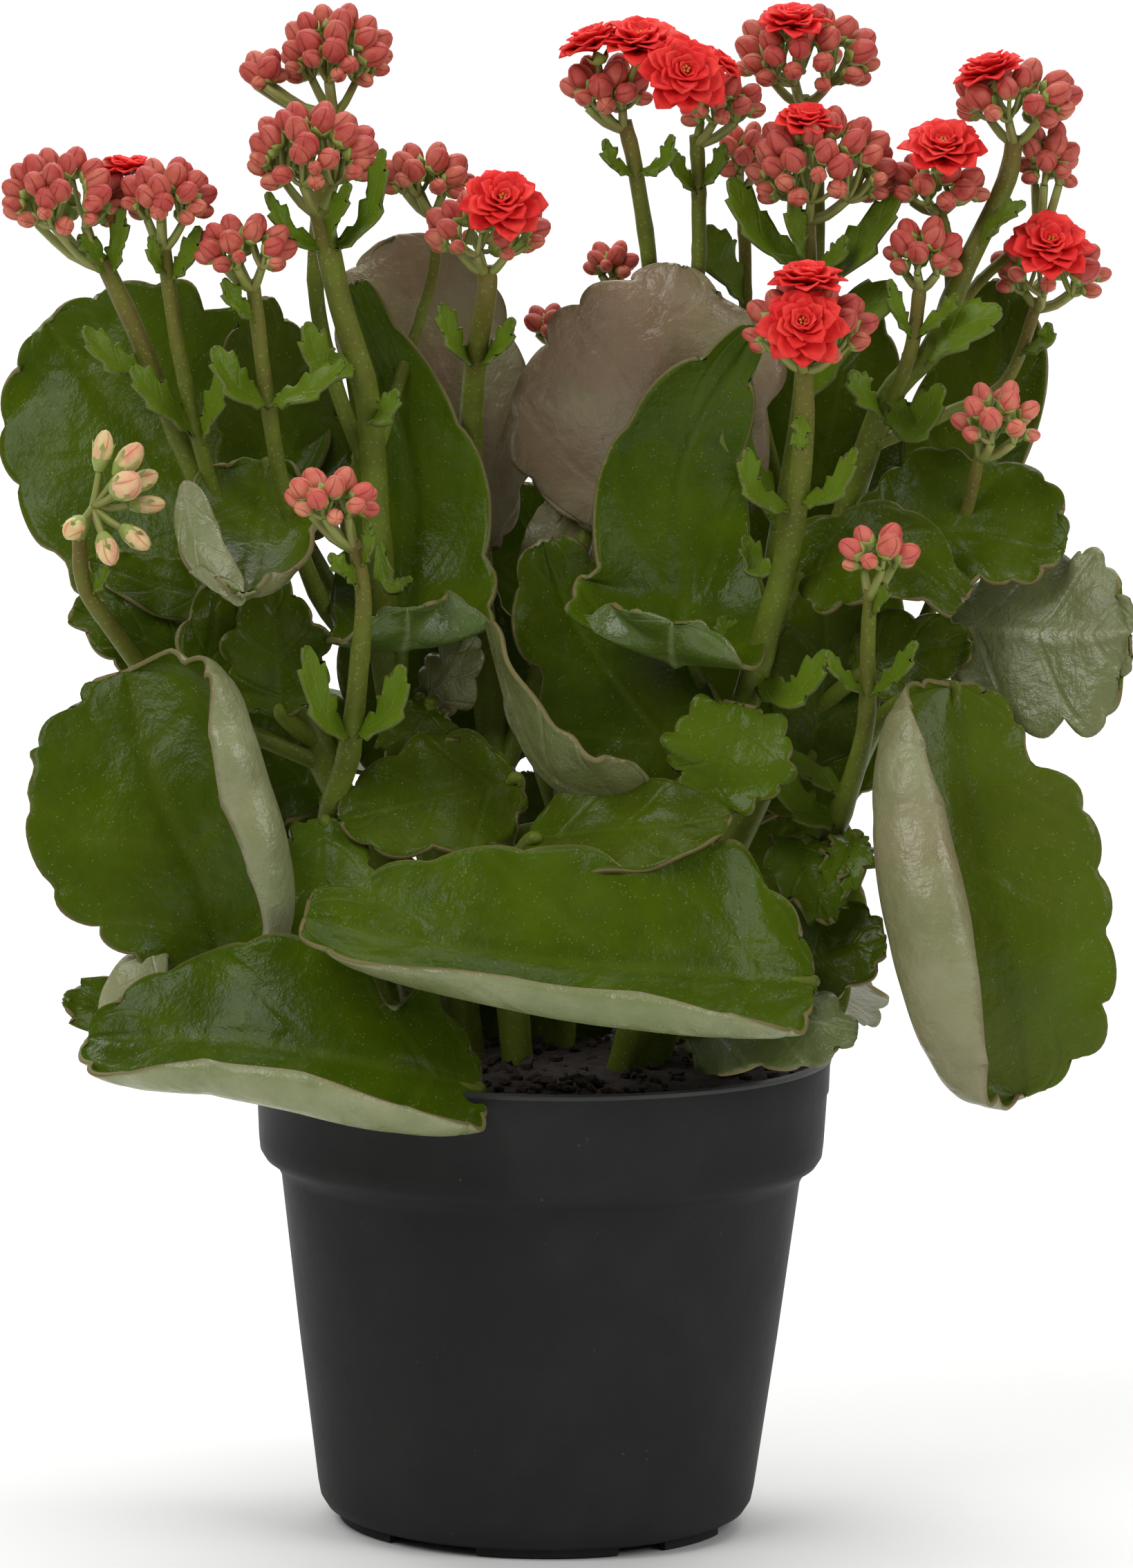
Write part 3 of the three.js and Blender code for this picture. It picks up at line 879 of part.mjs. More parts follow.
// The pot: a turned shell with a deep rim band, standing on a broken foot ring, with slots in its floor
function potSolid() {
  const inner = [
    [0, FLOOR_LEVEL + FLOOR_THICK], [FOOT_RADIUS - POT_WALL - 1.5, FLOOR_LEVEL + FLOOR_THICK],
    [NECK_RADIUS - POT_WALL, POT_HEIGHT - RIM_DEPTH - 2], [RIM_FOOT_RADIUS - POT_WALL, POT_HEIGHT - RIM_DEPTH + 3],
    [POT_RIM_RADIUS - POT_WALL, POT_HEIGHT - 1],
  ];
  const outer = [
    [POT_RIM_RADIUS - POT_WALL / 2, POT_HEIGHT], [POT_RIM_RADIUS + 0.2, POT_HEIGHT - 1.2],
    [RIM_FOOT_RADIUS, POT_HEIGHT - RIM_DEPTH + 3], [RIM_FOOT_RADIUS - 2.5, POT_HEIGHT - RIM_DEPTH],
    [NECK_RADIUS, POT_HEIGHT - RIM_DEPTH - 3], [FOOT_RADIUS, 7], [FOOT_RADIUS - 1.6, 3.2],
    [FOOT_RING_OUT, 1.7], [FOOT_RING_OUT, 0], [FOOT_RING_IN, 0], [FOOT_RING_IN, FLOOR_LEVEL], [0, FLOOR_LEVEL],
  ];
  let pot = turned([...inner, ...outer]);
  FOOT_GAPS.forEach(([centre, half]) => {
    const width = 2 * FOOT_RING_OUT * Math.sin(radians(half));
    const gap = new THREE.BoxGeometry(14, width, 4).translate(FOOT_RING_OUT, 0, 0).rotateZ(radians(centre));
    pot = pot.subtract(solidOf(gap.translate(0, 0, -0.3)));
  });
  for (let i = 0; i < DRAIN_COUNT; i++) {
    const slot = new THREE.BoxGeometry(...DRAIN_SIZE, 12).translate(DRAIN_RADIUS, 0, FLOOR_LEVEL)
      .rotateZ(2 * Math.PI * (i + 0.5) / DRAIN_COUNT);
    pot = pot.subtract(solidOf(slot));
  }
  return pot;
}

// A solid turned round the pot's axis from a closed profile of [radius, height], seen to the right of the axis
function turned(profile) {
  const points = [...profile, profile[0]].map(([r, z]) => new THREE.Vector2(r, z));
  return upright(new THREE.LatheGeometry(points.reverse(), POT_SIDES));
}

// A turned solid stood up along +Z, with its faces pointing out
function upright(geometry) {
  const solid = solidOf(geometry.rotateX(Math.PI / 2));
  return solid.volume() > 0 ? solid : solidOf(flipped(geometry));
}

function flipped(geometry) {
  const copy = geometry.clone();
  const index = copy.index.array;
  for (let i = 0; i < index.length; i += 3) {
    [index[i], index[i + 1]] = [index[i + 1], index[i]];
  }
  return copy;
}

function soilSurface(rise) {
  return SOIL_SURFACE.map(([share, height]) => [SOIL_RADIUS * share, SOIL_TOP + height + rise]);
}

// The soil: it fills the pot to a little under the rim, with an uneven top
function soilSolid() {
  const gap = POT_WALL + CLEARANCE;
  const floor = FLOOR_LEVEL + FLOOR_THICK + CLEARANCE;
  const neck = POT_HEIGHT - RIM_DEPTH - 2;
  const profile = [
    [0, floor], [FOOT_RADIUS - gap - 1.7, floor], [NECK_RADIUS - gap - 0.1, neck],
    [RIM_FOOT_RADIUS - gap, POT_HEIGHT - RIM_DEPTH + 3.4], ...soilSurface(0),
  ];
  return turned(profile);
}

const group = new THREE.Group();
const settled = [];

// Cuts a solid clear of what is already there, with a small gap, and keeps its largest piece
function clearOf(solid, owner) {
  let rest = solid;
  const box = solid.boundingBox();
  settled.forEach((other) => {
    if (other.owner === owner || !boxesMeet(box, other.box)) return;
    rest = rest.subtract(other.grown);
  });
  return rest.isEmpty() ? rest : largest(rest);
}

function boxesMeet(a, b) {
  return a.min.every((low, i) => low <= b.max[i] && b.min[i] <= a.max[i]);
}

function settle(owner, grown) {
  settled.push({ owner, grown, box: grown.boundingBox() });
}

function add(name, solid, colour, roughness) {
  const material = new THREE.MeshStandardMaterial({ color: colour, roughness, metalness: 0 });
  const mesh = new THREE.Mesh(geometryOf(solid), material);
  mesh.name = name;
  group.add(mesh);
}

// The spot on a shoot's stalks that is nearest to a place
function nearestOn(stalks, spot) {
  const goal = place(spot);
  let best = null;
  stalks.forEach(({ places }) => {
    curveThrough(places).getPoints(60).forEach((point) => {
      if (!best || point.distanceTo(goal) < best.distanceTo(goal)) best = point;
    });
  });
  return best;
}

// A rod through points, the first of which lies on a stalk
function twig(root, places, radii, grow, sides) {
  const curve = new THREE.CatmullRomCurve3([root, ...places.map(place)], false, 'catmullrom', 0.5);
  const points = curve.getPoints(places.length);
  return rodAlong(points, (part) => alongList(radii, part) + grow, sides);
}

const shootOf = new Map(SHOOTS.map((shoot) => [shoot.name, shoot]));
const growing = new Map();

function leafSolid(leaf, grow) {
  const root = nearestOn(shootOf.get(leaf.of).stalks, leaf.stalk[0]);
  const blade = new Blade(leaf);
  const lobes = leaf.flap ? [new Blade(leaf.flap).solid(BLADE_THICK, 3, grow, [-1, 0, 1])] : [];
  return joined([
    ...lobes,
    leaf.own ? blade.solid(BLADE_THICK, 5, grow) : blade.solid(BLADE_THICK, 3, grow, [-1, 0, 1]),
    twig(root, leaf.stalk.slice(1), [1.7, 1.5], grow, leaf.own ? 4 : 3),
  ]);
}

// Bracts narrower than this have no cut edge
const PLAIN_BRACT = 3.1;

function bractSolid(shoot, { rib, wide }, grow) {
  const root = nearestOn(shoot.stalks, rib[0]);
  const face = [rib[0][0] < rib[2][0] ? -0.3 : 0.3, 0.5, 0.8];
  const blade = new Blade({
    rib, face: [face, face], wide: [wide, wide], roll: [[25, 20, 10], [25, 20, 10]], teeth: 2, notch: 0.7,
  }, root);
  return blade.solid(BRACT_THICK, wide < PLAIN_BRACT ? 1 : 2, grow, [-1, 0, 1]);
}

function stalkSolid(shoot, index, grow) {
  const { places, radii } = shoot.stalks[index];
  return rod(places, radii, grow, index ? 4 : 5);
}

// Stems first, then the pot and the soil that they stand in
SHOOTS.forEach((shoot) => {
  const stalks = shoot.stalks.map((stalk, index) => clearOf(stalkSolid(shoot, index, 0), shoot.name));
  growing.set(shoot.name, joined(stalks));
  shoot.stalks.forEach((stalk, index) => settle(shoot.name, stalkSolid(shoot, index, CLEARANCE)));
});
const pot = potSolid();
add('pot', pot, DARK.pot, 0.55);
add('soil', clearOf(soilSolid(), 'soil'), DARK.soil, 0.95);
settle('pot', turned([[0, 0], [FOOT_RADIUS + 1, 0], [NECK_RADIUS + CLEARANCE, POT_HEIGHT - RIM_DEPTH - 3],
  [RIM_FOOT_RADIUS + CLEARANCE, POT_HEIGHT - RIM_DEPTH + 1], [POT_RIM_RADIUS + 0.2 + CLEARANCE, POT_HEIGHT + CLEARANCE],
  [POT_RIM_RADIUS - POT_WALL - CLEARANCE, POT_HEIGHT + CLEARANCE],
  ...soilSurface(CLEARANCE)]));

// Large leaves, each its own piece or grown fast to its shoot
LEAVES.forEach((leaf) => {
  const owner = leaf.own ? leaf.name : leaf.of;
  const solid = clearOf(leafSolid(leaf, 0), owner);
  if (leaf.own) add(leaf.name, solid, GREEN.leaf, 0.4);
  else growing.set(leaf.of, growing.get(leaf.of).add(solid));
  settle(owner, leafSolid(leaf, CLEARANCE));
});

// Small leaves along the stalks
SHOOTS.forEach((shoot) => {
  shoot.bracts.forEach((bract) => {
    const solid = clearOf(bractSolid(shoot, bract, 0), shoot.name);
    growing.set(shoot.name, growing.get(shoot.name).add(solid));
    settle(shoot.name, bractSolid(shoot, bract, CLEARANCE));
  });
  add(shoot.name, largest(growing.get(shoot.name)), GREEN.stem, 0.55);
});

// Open flowers, then the heads of buds around them
BLOOMS.forEach(({ name, flowers }) => {
  add(name, clearOf(joined(flowers.map((flower) => bloomSolid(flower, 0))), name), RED.bloom, 0.5);
  settle(name, joined(flowers.map((flower) => bloomSolid(flower, CLEARANCE))));
});
HEADS.forEach((head, index) => {
  add(head.name, clearOf(headSolid(head, 0, index * 10 + 1), head.name), RED.bud, 0.6);
  settle(head.name, headSolid(head, CLEARANCE, index * 10 + 1));
});
add(PALE_HEAD.name, clearOf(paleHeadSolid(PALE_HEAD, 0), PALE_HEAD.name), RED.pale, 0.6);

export default group;
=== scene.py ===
"""A potted flaming katy: a double-flowered red kalanchoe in a black nursery pot.

The plant is set out as it is seen from the front, slightly from above. A place (across, up, front) is the
spot's distance in millimetres to the right of the pot's axis and above the pot's foot in that view, at the
pot's own scale, and how far the spot stands in front of the pot's axis. Meshes are in metres.
"""
from __future__ import annotations

import logging
import math
import random
from dataclasses import dataclass
from enum import Enum
from typing import Iterable, Sequence

import bmesh
import bpy
from mathutils import Matrix, Vector

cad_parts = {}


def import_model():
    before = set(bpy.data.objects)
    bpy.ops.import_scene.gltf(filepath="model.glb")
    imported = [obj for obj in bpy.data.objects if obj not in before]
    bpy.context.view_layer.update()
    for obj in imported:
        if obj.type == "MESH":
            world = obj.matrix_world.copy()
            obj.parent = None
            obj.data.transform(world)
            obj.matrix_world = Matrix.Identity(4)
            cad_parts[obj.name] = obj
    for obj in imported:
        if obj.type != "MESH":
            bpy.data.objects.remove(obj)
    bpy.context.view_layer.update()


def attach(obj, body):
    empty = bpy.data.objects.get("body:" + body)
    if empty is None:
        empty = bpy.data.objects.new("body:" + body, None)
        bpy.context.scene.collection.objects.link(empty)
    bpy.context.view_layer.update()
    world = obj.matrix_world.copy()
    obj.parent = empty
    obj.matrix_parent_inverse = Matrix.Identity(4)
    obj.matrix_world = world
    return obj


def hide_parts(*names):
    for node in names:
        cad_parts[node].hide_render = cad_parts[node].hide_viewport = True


LOG = logging.getLogger("flaming_katy")

MM = 0.001
ROOT_BODY = "root"
UV_NAME = "UVMap"
GOLDEN_TURN = 2.39996
FULLNESS = 1.15

Place = Sequence[float]
Colour = tuple[float, float, float]
Mesh = bmesh.types.BMesh
Vert = bmesh.types.BMVert
Material = bpy.types.Material
Piece = bpy.types.Object
Socket = bpy.types.NodeSocket


@dataclass(frozen=True)
class View:
    """The view that the places are read in.

    The eye is at a distance from the plant's middle and looks down by tilt, with the picture turned clockwise
    by roll, both in degrees. The picture's middle has its places across and up and its true height level, and
    the picture is frame_height high there. Lengths are in millimetres.
    """

    distance: float = 2200.0
    tilt: float = 8.2
    roll: float = 0.9
    across: float = 4.08
    up: float = 161.6
    level: float = 155.0
    frame_height: float = 324.9

    @property
    def right_axis(self) -> Vector:
        """The direction to the right in the unturned view."""
        return Vector((1.0, 0.0, 0.0))

    @property
    def up_axis(self) -> Vector:
        """The direction up in the unturned view."""
        tilt = math.radians(self.tilt)
        return Vector((0.0, math.sin(tilt), math.cos(tilt)))

    @property
    def near_axis(self) -> Vector:
        """The direction towards the eye."""
        tilt = math.radians(self.tilt)
        return Vector((0.0, -math.cos(tilt), math.sin(tilt)))

    @property
    def middle(self) -> Vector:
        """The point that the picture's middle looks at, in millimetres."""
        return Vector((self.across, 0.0, self.level))

    def point(self, place: Place) -> Vector:
        """Find the point that is seen at a place.

        Args:
            place: The place as (across, up, front).

        Returns:
            The point in metres.
        """
        roll = math.radians(self.roll)
        u = place[0] - self.across
        v = place[1] - self.up
        right = u * math.cos(roll) - v * math.sin(roll)
        rise = u * math.sin(roll) + v * math.cos(roll)
        near = place[2]
        for _ in range(3):
            scale = 1 - near / self.distance
            near = (place[2] + scale * rise * self.up_axis.y) / -self.near_axis.y
        scale = 1 - near / self.distance
        spot = self.middle + self.right_axis * right * scale
        return (spot + self.up_axis * rise * scale + self.near_axis * near) * MM

    def heading(self, way: Sequence[float]) -> Vector:
        """Turn a direction given as (right, up, near) into a unit vector."""
        right, up, near = way
        return (self.right_axis * right + self.up_axis * up + self.near_axis * near).normalized()


VIEW = View()


class Curve:
    """A smooth curve through a few points."""

    def __init__(self, points: Sequence[Vector]) -> None:
        """Keep the points and the two that guide the ends.

        Args:
            points: At least two points.
        """
        self.points = [Vector(p) for p in points]
        first = self.points[0] * 2 - self.points[1]
        last = self.points[-1] * 2 - self.points[-2]
        self.guides = [first, *self.points, last]

    @classmethod
    def through(cls, places: Sequence[Place]) -> "Curve":
        """Make the curve through a list of places."""
        return cls([VIEW.point(place) for place in places])

    def at(self, part: float) -> Vector:
        """Find a point of the curve.

        Args:
            part: 0 at the first point and 1 at the last.

        Returns:
            The point.
        """
        spans = len(self.points) - 1
        spot = min(max(part, 0.0), 1.0) * spans
        low = min(int(spot), spans - 1)
        t = spot - low
        a, b, c, d = self.guides[low:low + 4]
        cube = (b * 3 - c * 3 + d - a) * t ** 3
        square = (a * 2 - b * 5 + c * 4 - d) * t ** 2
        return (cube + square + (c - a) * t + b * 2) * 0.5

    def way(self, part: float) -> Vector:
        """Find the curve's direction, from part 0 at the first point to 1 at the last."""
        return (self.at(min(part + 0.005, 1.0)) - self.at(max(part - 0.005, 0.0))).normalized()

    def steps(self, count: int) -> list[Vector]:
        """List evenly spaced points of the curve, ends included."""
        return [self.at(i / count) for i in range(count + 1)]


def three_way(values: Sequence[float], part: float) -> float:
    """Blend the values at a blade's base, middle and tip, from part 0 at its base to 1 at its tip."""
    base, mid, tip = values
    return base * (1 - part) * (1 - 2 * part) + 4 * mid * part * (1 - part) + tip * part * (2 * part - 1)


def rolled(part: float, turn: float, fold: float) -> tuple[float, float]:
    """Find how far a blade's half reaches out and turns up across its width.

    Args:
        part: 0 at the midrib and 1 at the edge.
        turn: The turn at the edge, in degrees.
        fold: How close to the edge the turn is gathered.

    Returns:
        How far out and how far up, for a half-width of 1.
    """
    out = 0.0
    up = 0.0
    steps = 14
    for i in range(steps):
        angle = math.radians(turn) * ((i + 0.5) / steps * part) ** fold
        out += math.cos(angle) * part / steps
        up += math.sin(angle) * part / steps
    return out, up


@dataclass
class Blade:
    """The form of a leaf's blade, whose halves roll up along its midrib.

    Attributes:
        rib: Places along the midrib, from the base to the tip.
        face: The way the upper face looks at the base and at the tip.
        wide: Half-widths left and right of the midrib, in millimetres.
        roll: Turn of the left and of the right half at the base, middle and tip, in degrees.
        teeth: Teeth along each edge.
        notch: Depth of the teeth, in millimetres.
        belly: How much wider the blade is near its base than near its tip.
        fold: How close to the edge the left and the right half's turn is gathered.
        wave: Height of the waves of its edge, in millimetres.
        seed: Start of its own random draw.
        root: Point where its base is, in place of the first place.
        sharp: Whether its teeth are pointed.
        dips: Deep notches of the edge: 0 for the left half or 1 for the right, spot along the edge, depth in
            millimetres (below 0 for a lobe) and half-width along the edge.
    """

    rib: Sequence[Place]
    face: Sequence[Sequence[float]]
    wide: Sequence[float]
    roll: Sequence[Sequence[float]]
    teeth: int = 0
    notch: float = 0.0
    belly: float = 0.25
    fold: Sequence[float] = (1.2, 1.2)
    wave: float = 0.6
    seed: int = 0
    root: Vector | None = None
    sharp: bool = False
    dips: Sequence[tuple[int, float, float, float]] = ()

    def __post_init__(self) -> None:
        """Set out the curve of the midrib and the draw of the waves."""
        self.curve = Curve.through(self.rib)
        if self.root is not None:
            self.curve = Curve([self.root, *self.curve.points[1:]])
        points = self.curve.steps(40)
        self.length = sum((b - a).length for a, b in zip(points, points[1:]))
        self.ends = [VIEW.heading(way) for way in self.face]
        draw = random.Random(self.seed)
        self.phase = [draw.uniform(0, math.tau) for _ in range(6)]

    def waves(self, turn: float, across: float) -> float:
        """Height of the blade's own unevenness over its smooth form.

        Args:
            turn: 0 at the base and 1 at the tip, along the edge.
            across: -1 at the left edge and 1 at the right edge.

        Returns:
            The height in metres.
        """
        hand = 0 if across < 0 else 1
        edge = abs(across)
        long = math.sin((5.0 + hand * 1.7) * turn * math.pi + self.phase[hand]) * edge ** 2
        short = math.sin((11.0 + hand * 2.0) * turn * math.pi + self.phase[2 + hand]) * edge ** 4 * 0.5
        puff = math.sin(7.0 * turn * math.pi + self.phase[4]) * math.sin(edge * math.pi) * 0.35
        groove = -0.9 * math.exp(-(edge / 0.07) ** 2)
        return (long + short + puff + groove) * self.wave * MM

    def at(self, turn: float, across: float, scallop: float = 0.0) -> Vector:
        """Find a point of the blade.

        Args:
            turn: 0 at the base and 1 at the tip, along the edge.
            across: -1 at the left edge and 1 at the right edge.
            scallop: How far the edge stands out there, from -0.5 in a notch to 0.5 on a tooth.

        Returns:
            The point.
        """
        angle = math.pi * turn
        cut = self.notch * scallop * abs(across) ** 6 * MM
        part = (1 - math.cos(angle)) / 2 - cut * math.cos(angle) / self.length
        part = min(max(part, 0.0), 1.0)
        ahead = self.curve.way(part)
        face = self.ends[0].lerp(self.ends[1], part)
        face = (face - ahead * face.dot(ahead)).normalized()
        side = ahead.cross(face)
        hand = 0 if across < 0 else 1
        width = self.wide[hand] * MM * math.sin(angle) * (1 + self.belly * math.cos(angle))
        out, up = rolled(abs(across), three_way(self.roll[hand], part), self.fold[hand])
        reached = width + cut * math.sin(angle)
        for side_of, spot, deep, half in self.dips:
            if side_of == hand:
                reached -= deep * MM * math.exp(-((turn - spot) / half) ** 2) * abs(across) ** 3
        point = self.curve.at(part) + side * math.copysign(out, across) * reached + face * up * reached
        return point + face * self.waves(turn, across) * math.sin(angle) ** 0.5

    def scallop(self, turn: float) -> float:
        """How far the edge stands out for its rounded teeth.

        Args:
            turn: 0 at the base and 1 at the tip, along the edge.

        Returns:
            About -0.5 in a notch and 0.5 on a tooth.
        """
        if not self.teeth:
            return 0.0
        spot = turn * self.teeth + 0.15
        deep = 0.75 + 0.85 * ((int(spot) * 0.618 + self.seed * 0.37) % 1)
        lobe = 0.35 * math.sin(turn * 19 + self.seed)
        if self.sharp:
            return ((spot % 1) ** 1.4 - 0.5) * deep
        return (abs(math.sin(math.pi * spot)) ** 0.6 - 0.5) * deep + lobe

    def sheet(self, bm: Mesh, long: int, across: int) -> None:
        """Shape a grid into the blade's upper face.

        Args:
            bm: The mesh that takes the sheet, and in its UV map how far along and across each corner is.
            long: Faces from the base to the tip.
            across: Faces from edge to edge.
        """
        uv_layer = bm.loops.layers.uv.get(UV_NAME) or bm.loops.layers.uv.new(UV_NAME)
        made = bmesh.ops.create_grid(bm, x_segments=across, y_segments=long, size=1.0)
        verts = made["verts"]
        spots = {v: (v.co.x, (v.co.y + 1) / 2) for v in verts}
        for face in {f for v in verts for f in v.link_faces}:
            face.smooth = True
            for loop in face.loops:
                x, turn = spots[loop.vert]
                loop[uv_layer].uv = ((1 - math.cos(math.pi * turn)) / 2, (x + 1) / 2)
        for vert, (x, turn) in spots.items():
            spread = math.copysign(abs(x) ** 0.85, x)
            vert.co = self.at(turn, spread, self.scallop(turn))
        ends = [v for v in verts if spots[v][1] < 0.001 or spots[v][1] > 0.999]
        bmesh.ops.remove_doubles(bm, verts=ends, dist=1e-6)


class Slot(Enum):
    """The record's material slots."""

    POT = "pot_plastic"
    SOIL = "potting_soil"
    STEM = "stem_green"
    LEAF = "leaf_green"
    PETAL = "petal_red"
    BUD = "bud_coral"
    PALE_BUD = "bud_pale"


class Shades:
    """A small helper that wires one material's nodes."""

    def __init__(self, name: str) -> None:
        """Start a material with a plain shader.

        Args:
            name: Name of the material.
        """
        self.material = bpy.data.materials.new(name)
        self.material.use_nodes = True
        self.tree = self.material.node_tree
        self.shader = self.tree.nodes["Principled BSDF"]

    def node(self, kind: str, **values: object) -> bpy.types.Node:
        """Add a node and set its fields and unlinked inputs.

        Args:
            kind: Kind of the node.
            values: Field values, or input values where the name is an input's, with _ for a space.

        Returns:
            The node.
        """
        made = self.tree.nodes.new(kind)
        for name, value in values.items():
            if hasattr(made, name):
                setattr(made, name, value)
            else:
                made.inputs[name.replace("_", " ")].default_value = value
        return made

    def link(self, source: Socket, goal: Socket) -> None:
        """Join two sockets."""
        self.tree.links.new(source, goal)

    def place(self) -> Socket:
        """The piece's own coordinates, in metres."""
        return self.node("ShaderNodeTexCoord").outputs["Object"]

    def noise(self, scale: float, detail: float = 3.0, rough: float = 0.5) -> Socket:
        """Add a noise over the piece's own coordinates.

        Args:
            scale: Cells in a metre.
            detail: Number of finer layers.
            rough: Strength of the finer layers.

        Returns:
            The noise's value.
        """
        made = self.node("ShaderNodeTexNoise", Scale=scale, Detail=detail, Roughness=rough)
        self.link(self.place(), made.inputs["Vector"])
        return made.outputs["Fac"]

    def spots(self, scale: float) -> Socket:
        """Measure how far the piece's own coordinates are from scattered spots.

        Args:
            scale: Spots in a metre.

        Returns:
            The distance from the nearest spot.
        """
        made = self.node("ShaderNodeTexVoronoi", feature="F1", Scale=scale)
        self.link(self.place(), made.inputs["Vector"])
        return made.outputs["Distance"]

    def value(self, name: str) -> Socket:
        """Read a number kept on the mesh under a name."""
        return self.node("ShaderNodeAttribute", attribute_name=name).outputs["Fac"]

    def ramp(self, source: Socket, low: float, high: float) -> Socket:
        """Stretch a value so that low becomes 0 and high becomes 1.

        Args:
            source: The value.
            low: What becomes 0.
            high: What becomes 1.

        Returns:
            The stretched value, kept from 0 to 1.
        """
        made = self.node("ShaderNodeMapRange", clamp=True, From_Min=low, From_Max=high)
        self.link(source, made.inputs["Value"])
        return made.outputs["Result"]

    def sum(self, kind: str, a: Socket, b: Socket | float) -> Socket:
        """Work out a sum of two values.

        Args:
            kind: The sum, such as MULTIPLY.
            a: The first value.
            b: The second value.

        Returns:
            The result.
        """
        made = self.node("ShaderNodeMath", operation=kind)
        self.link(a, made.inputs[0])
        if isinstance(b, (int, float)):
            made.inputs[1].default_value = b
        else:
            self.link(b, made.inputs[1])
        return made.outputs[0]

    def times(self, a: Socket, b: Socket | float) -> Socket:
        """Multiply two values."""
        return self.sum("MULTIPLY", a, b)

    def mix(self, part: Socket, first: Socket | Sequence[float], second: Socket | Sequence[float]) -> Socket:
        """Blend two colours.

        Args:
            part: Share of the second colour.
            first: The first colour.
            second: The second colour.

        Returns:
            The blended colour.
        """
        made = self.node("ShaderNodeMix", data_type="RGBA")
        self.link(part, made.inputs["Factor"])
        for socket, colour in ((made.inputs[6], first), (made.inputs[7], second)):
            if isinstance(colour, Socket):
                self.link(colour, socket)
            else:
                socket.default_value = (*colour, 1.0)
        return made.outputs[2]

    def bump(self, height: Socket, strength: float, depth: float) -> None:
        """Roughen the surface.

        Args:
            height: The height's value.
            strength: Strength from 0 to 1.
            depth: Depth of a height of 1, in metres.
        """
        made = self.node("ShaderNodeBump", Strength=strength, Distance=depth)
        self.link(height, made.inputs["Height"])
        self.link(made.outputs["Normal"], self.shader.inputs["Normal"])

    def settle(self, **values: float | Sequence[float]) -> None:
        """Set the shader's own values, named with _ for a space."""
        for name, value in values.items():
            self.shader.inputs[name.replace("_", " ")].default_value = value

    def colour(self, source: Socket) -> None:
        """Give the shader its colour."""
        self.link(source, self.shader.inputs["Base Color"])

    def roughness(self, source: Socket, smooth: float, rough: float) -> None:
        """Give the shader a roughness that varies over the surface.

        Args:
            source: Value from 0 to 1.
            smooth: Roughness where the value is 0.
            rough: Roughness where the value is 1.
        """
        made = self.node("ShaderNodeMapRange", clamp=True, To_Min=smooth, To_Max=rough)
        self.link(source, made.inputs["Value"])
        self.link(made.outputs["Result"], self.shader.inputs["Roughness"])


@dataclass(frozen=True)
class LeafFinish:
    """One face of a leaf: its colour, veins, flush towards brown with painted sheen, and fine pale specks.

    The base colour is mottled with the patch colour. It turns to the lively green as far as the blade's
    number named fresh says, and to the flush colour as far as its number flush says. The flush has paler
    patches of painted sheen. Shiny patches have the roughness smooth and dull ones rough. Shine is how much
    light the skin throws back, and relief is the depth of its unevenness, in millimetres.
    """

    name: str
    base: Colour
    patch: Colour
    vein: Colour
    flush: Colour
    rim: Colour
    smooth: float = 0.25
    rough: float = 0.45
    flushing: float = 1.0
    shine: float = 0.13
    relief: float = 1.1
    fresh: str = "bright"
    lively: Colour = (0.10, 0.162, 0.008)

    def make(self) -> Material:
        """Make the material."""
        shades = Shades(self.name)
        across = shades.node("ShaderNodeUVMap", uv_map=UV_NAME)
        split = shades.node("ShaderNodeSeparateXYZ")
        shades.link(across.outputs["UV"], split.inputs["Vector"])
        centred = shades.sum("ABSOLUTE", shades.sum("SUBTRACT", split.outputs["Y"], 0.5), 0.0)
        along = split.outputs["X"]
        broad = shades.ramp(shades.noise(60.0, 4.0, 0.6), 0.35, 0.68)
        colour = shades.mix(broad, self.base, self.patch)
        colour = shades.mix(shades.value(self.fresh), colour, self.lively)
        side = shades.node("ShaderNodeTexWave", bands_direction="X", Scale=1.0, Distortion=1.2)
        skew = shades.node("ShaderNodeCombineXYZ")
        shades.link(shades.sum("SUBTRACT", along, shades.times(centred, 0.55)), skew.inputs["X"])
        shades.link(centred, skew.inputs["Y"])
        shades.link(skew.outputs["Vector"], side.inputs["Vector"])
        veins = shades.ramp(side.outputs["Fac"], 0.93, 1.0)
        faint = shades.times(veins, 0.16)
        middle = shades.ramp(centred, 0.022, 0.006)
        colour = shades.mix(faint, colour, self.vein)
        colour = shades.mix(shades.times(middle, 0.4), colour, self.vein)
        patchy = shades.ramp(shades.noise(35.0, 3.0, 0.55), 0.3, 0.62)
        flush = shades.times(shades.value("flush"), shades.sum("ADD", patchy, 0.35))
        # Painted sheen: paler mauve patches mixed into the brown flush by noise.
        painted_sheen = tuple(part * 1.25 + 0.03 for part in self.flush)
        flushed = shades.mix(shades.ramp(shades.noise(48.0, 5.0, 0.6), 0.45, 0.75), self.flush, painted_sheen)
        colour = shades.mix(shades.ramp(flush, 0.0, 1.0 / self.flushing), colour, flushed)
        edge = shades.ramp(centred, 0.486, 0.498)
        colour = shades.mix(shades.times(edge, 0.75), colour, self.rim)
        dots = shades.ramp(shades.spots(1100.0), 0.24, 0.12)
        sparse = shades.ramp(shades.noise(420.0, 1.0), 0.5, 0.62)
        dotted = shades.times(shades.times(dots, sparse), 0.35)
        colour = shades.mix(dotted, colour, (0.32, 0.36, 0.16))
        shades.colour(colour)
        shades.roughness(shades.ramp(shades.noise(90.0, 5.0, 0.65), 0.32, 0.66), self.smooth, self.rough)
        dents = shades.sum("ADD", shades.noise(260.0, 4.0, 0.6), shades.times(shades.noise(70.0, 2.0), 1.6))
        height = shades.sum("SUBTRACT", dents, shades.times(veins, 0.25))
        shades.bump(height, 0.42, self.relief * MM)
        shades.settle(Specular_IOR_Level=self.shine)
        return shades.material


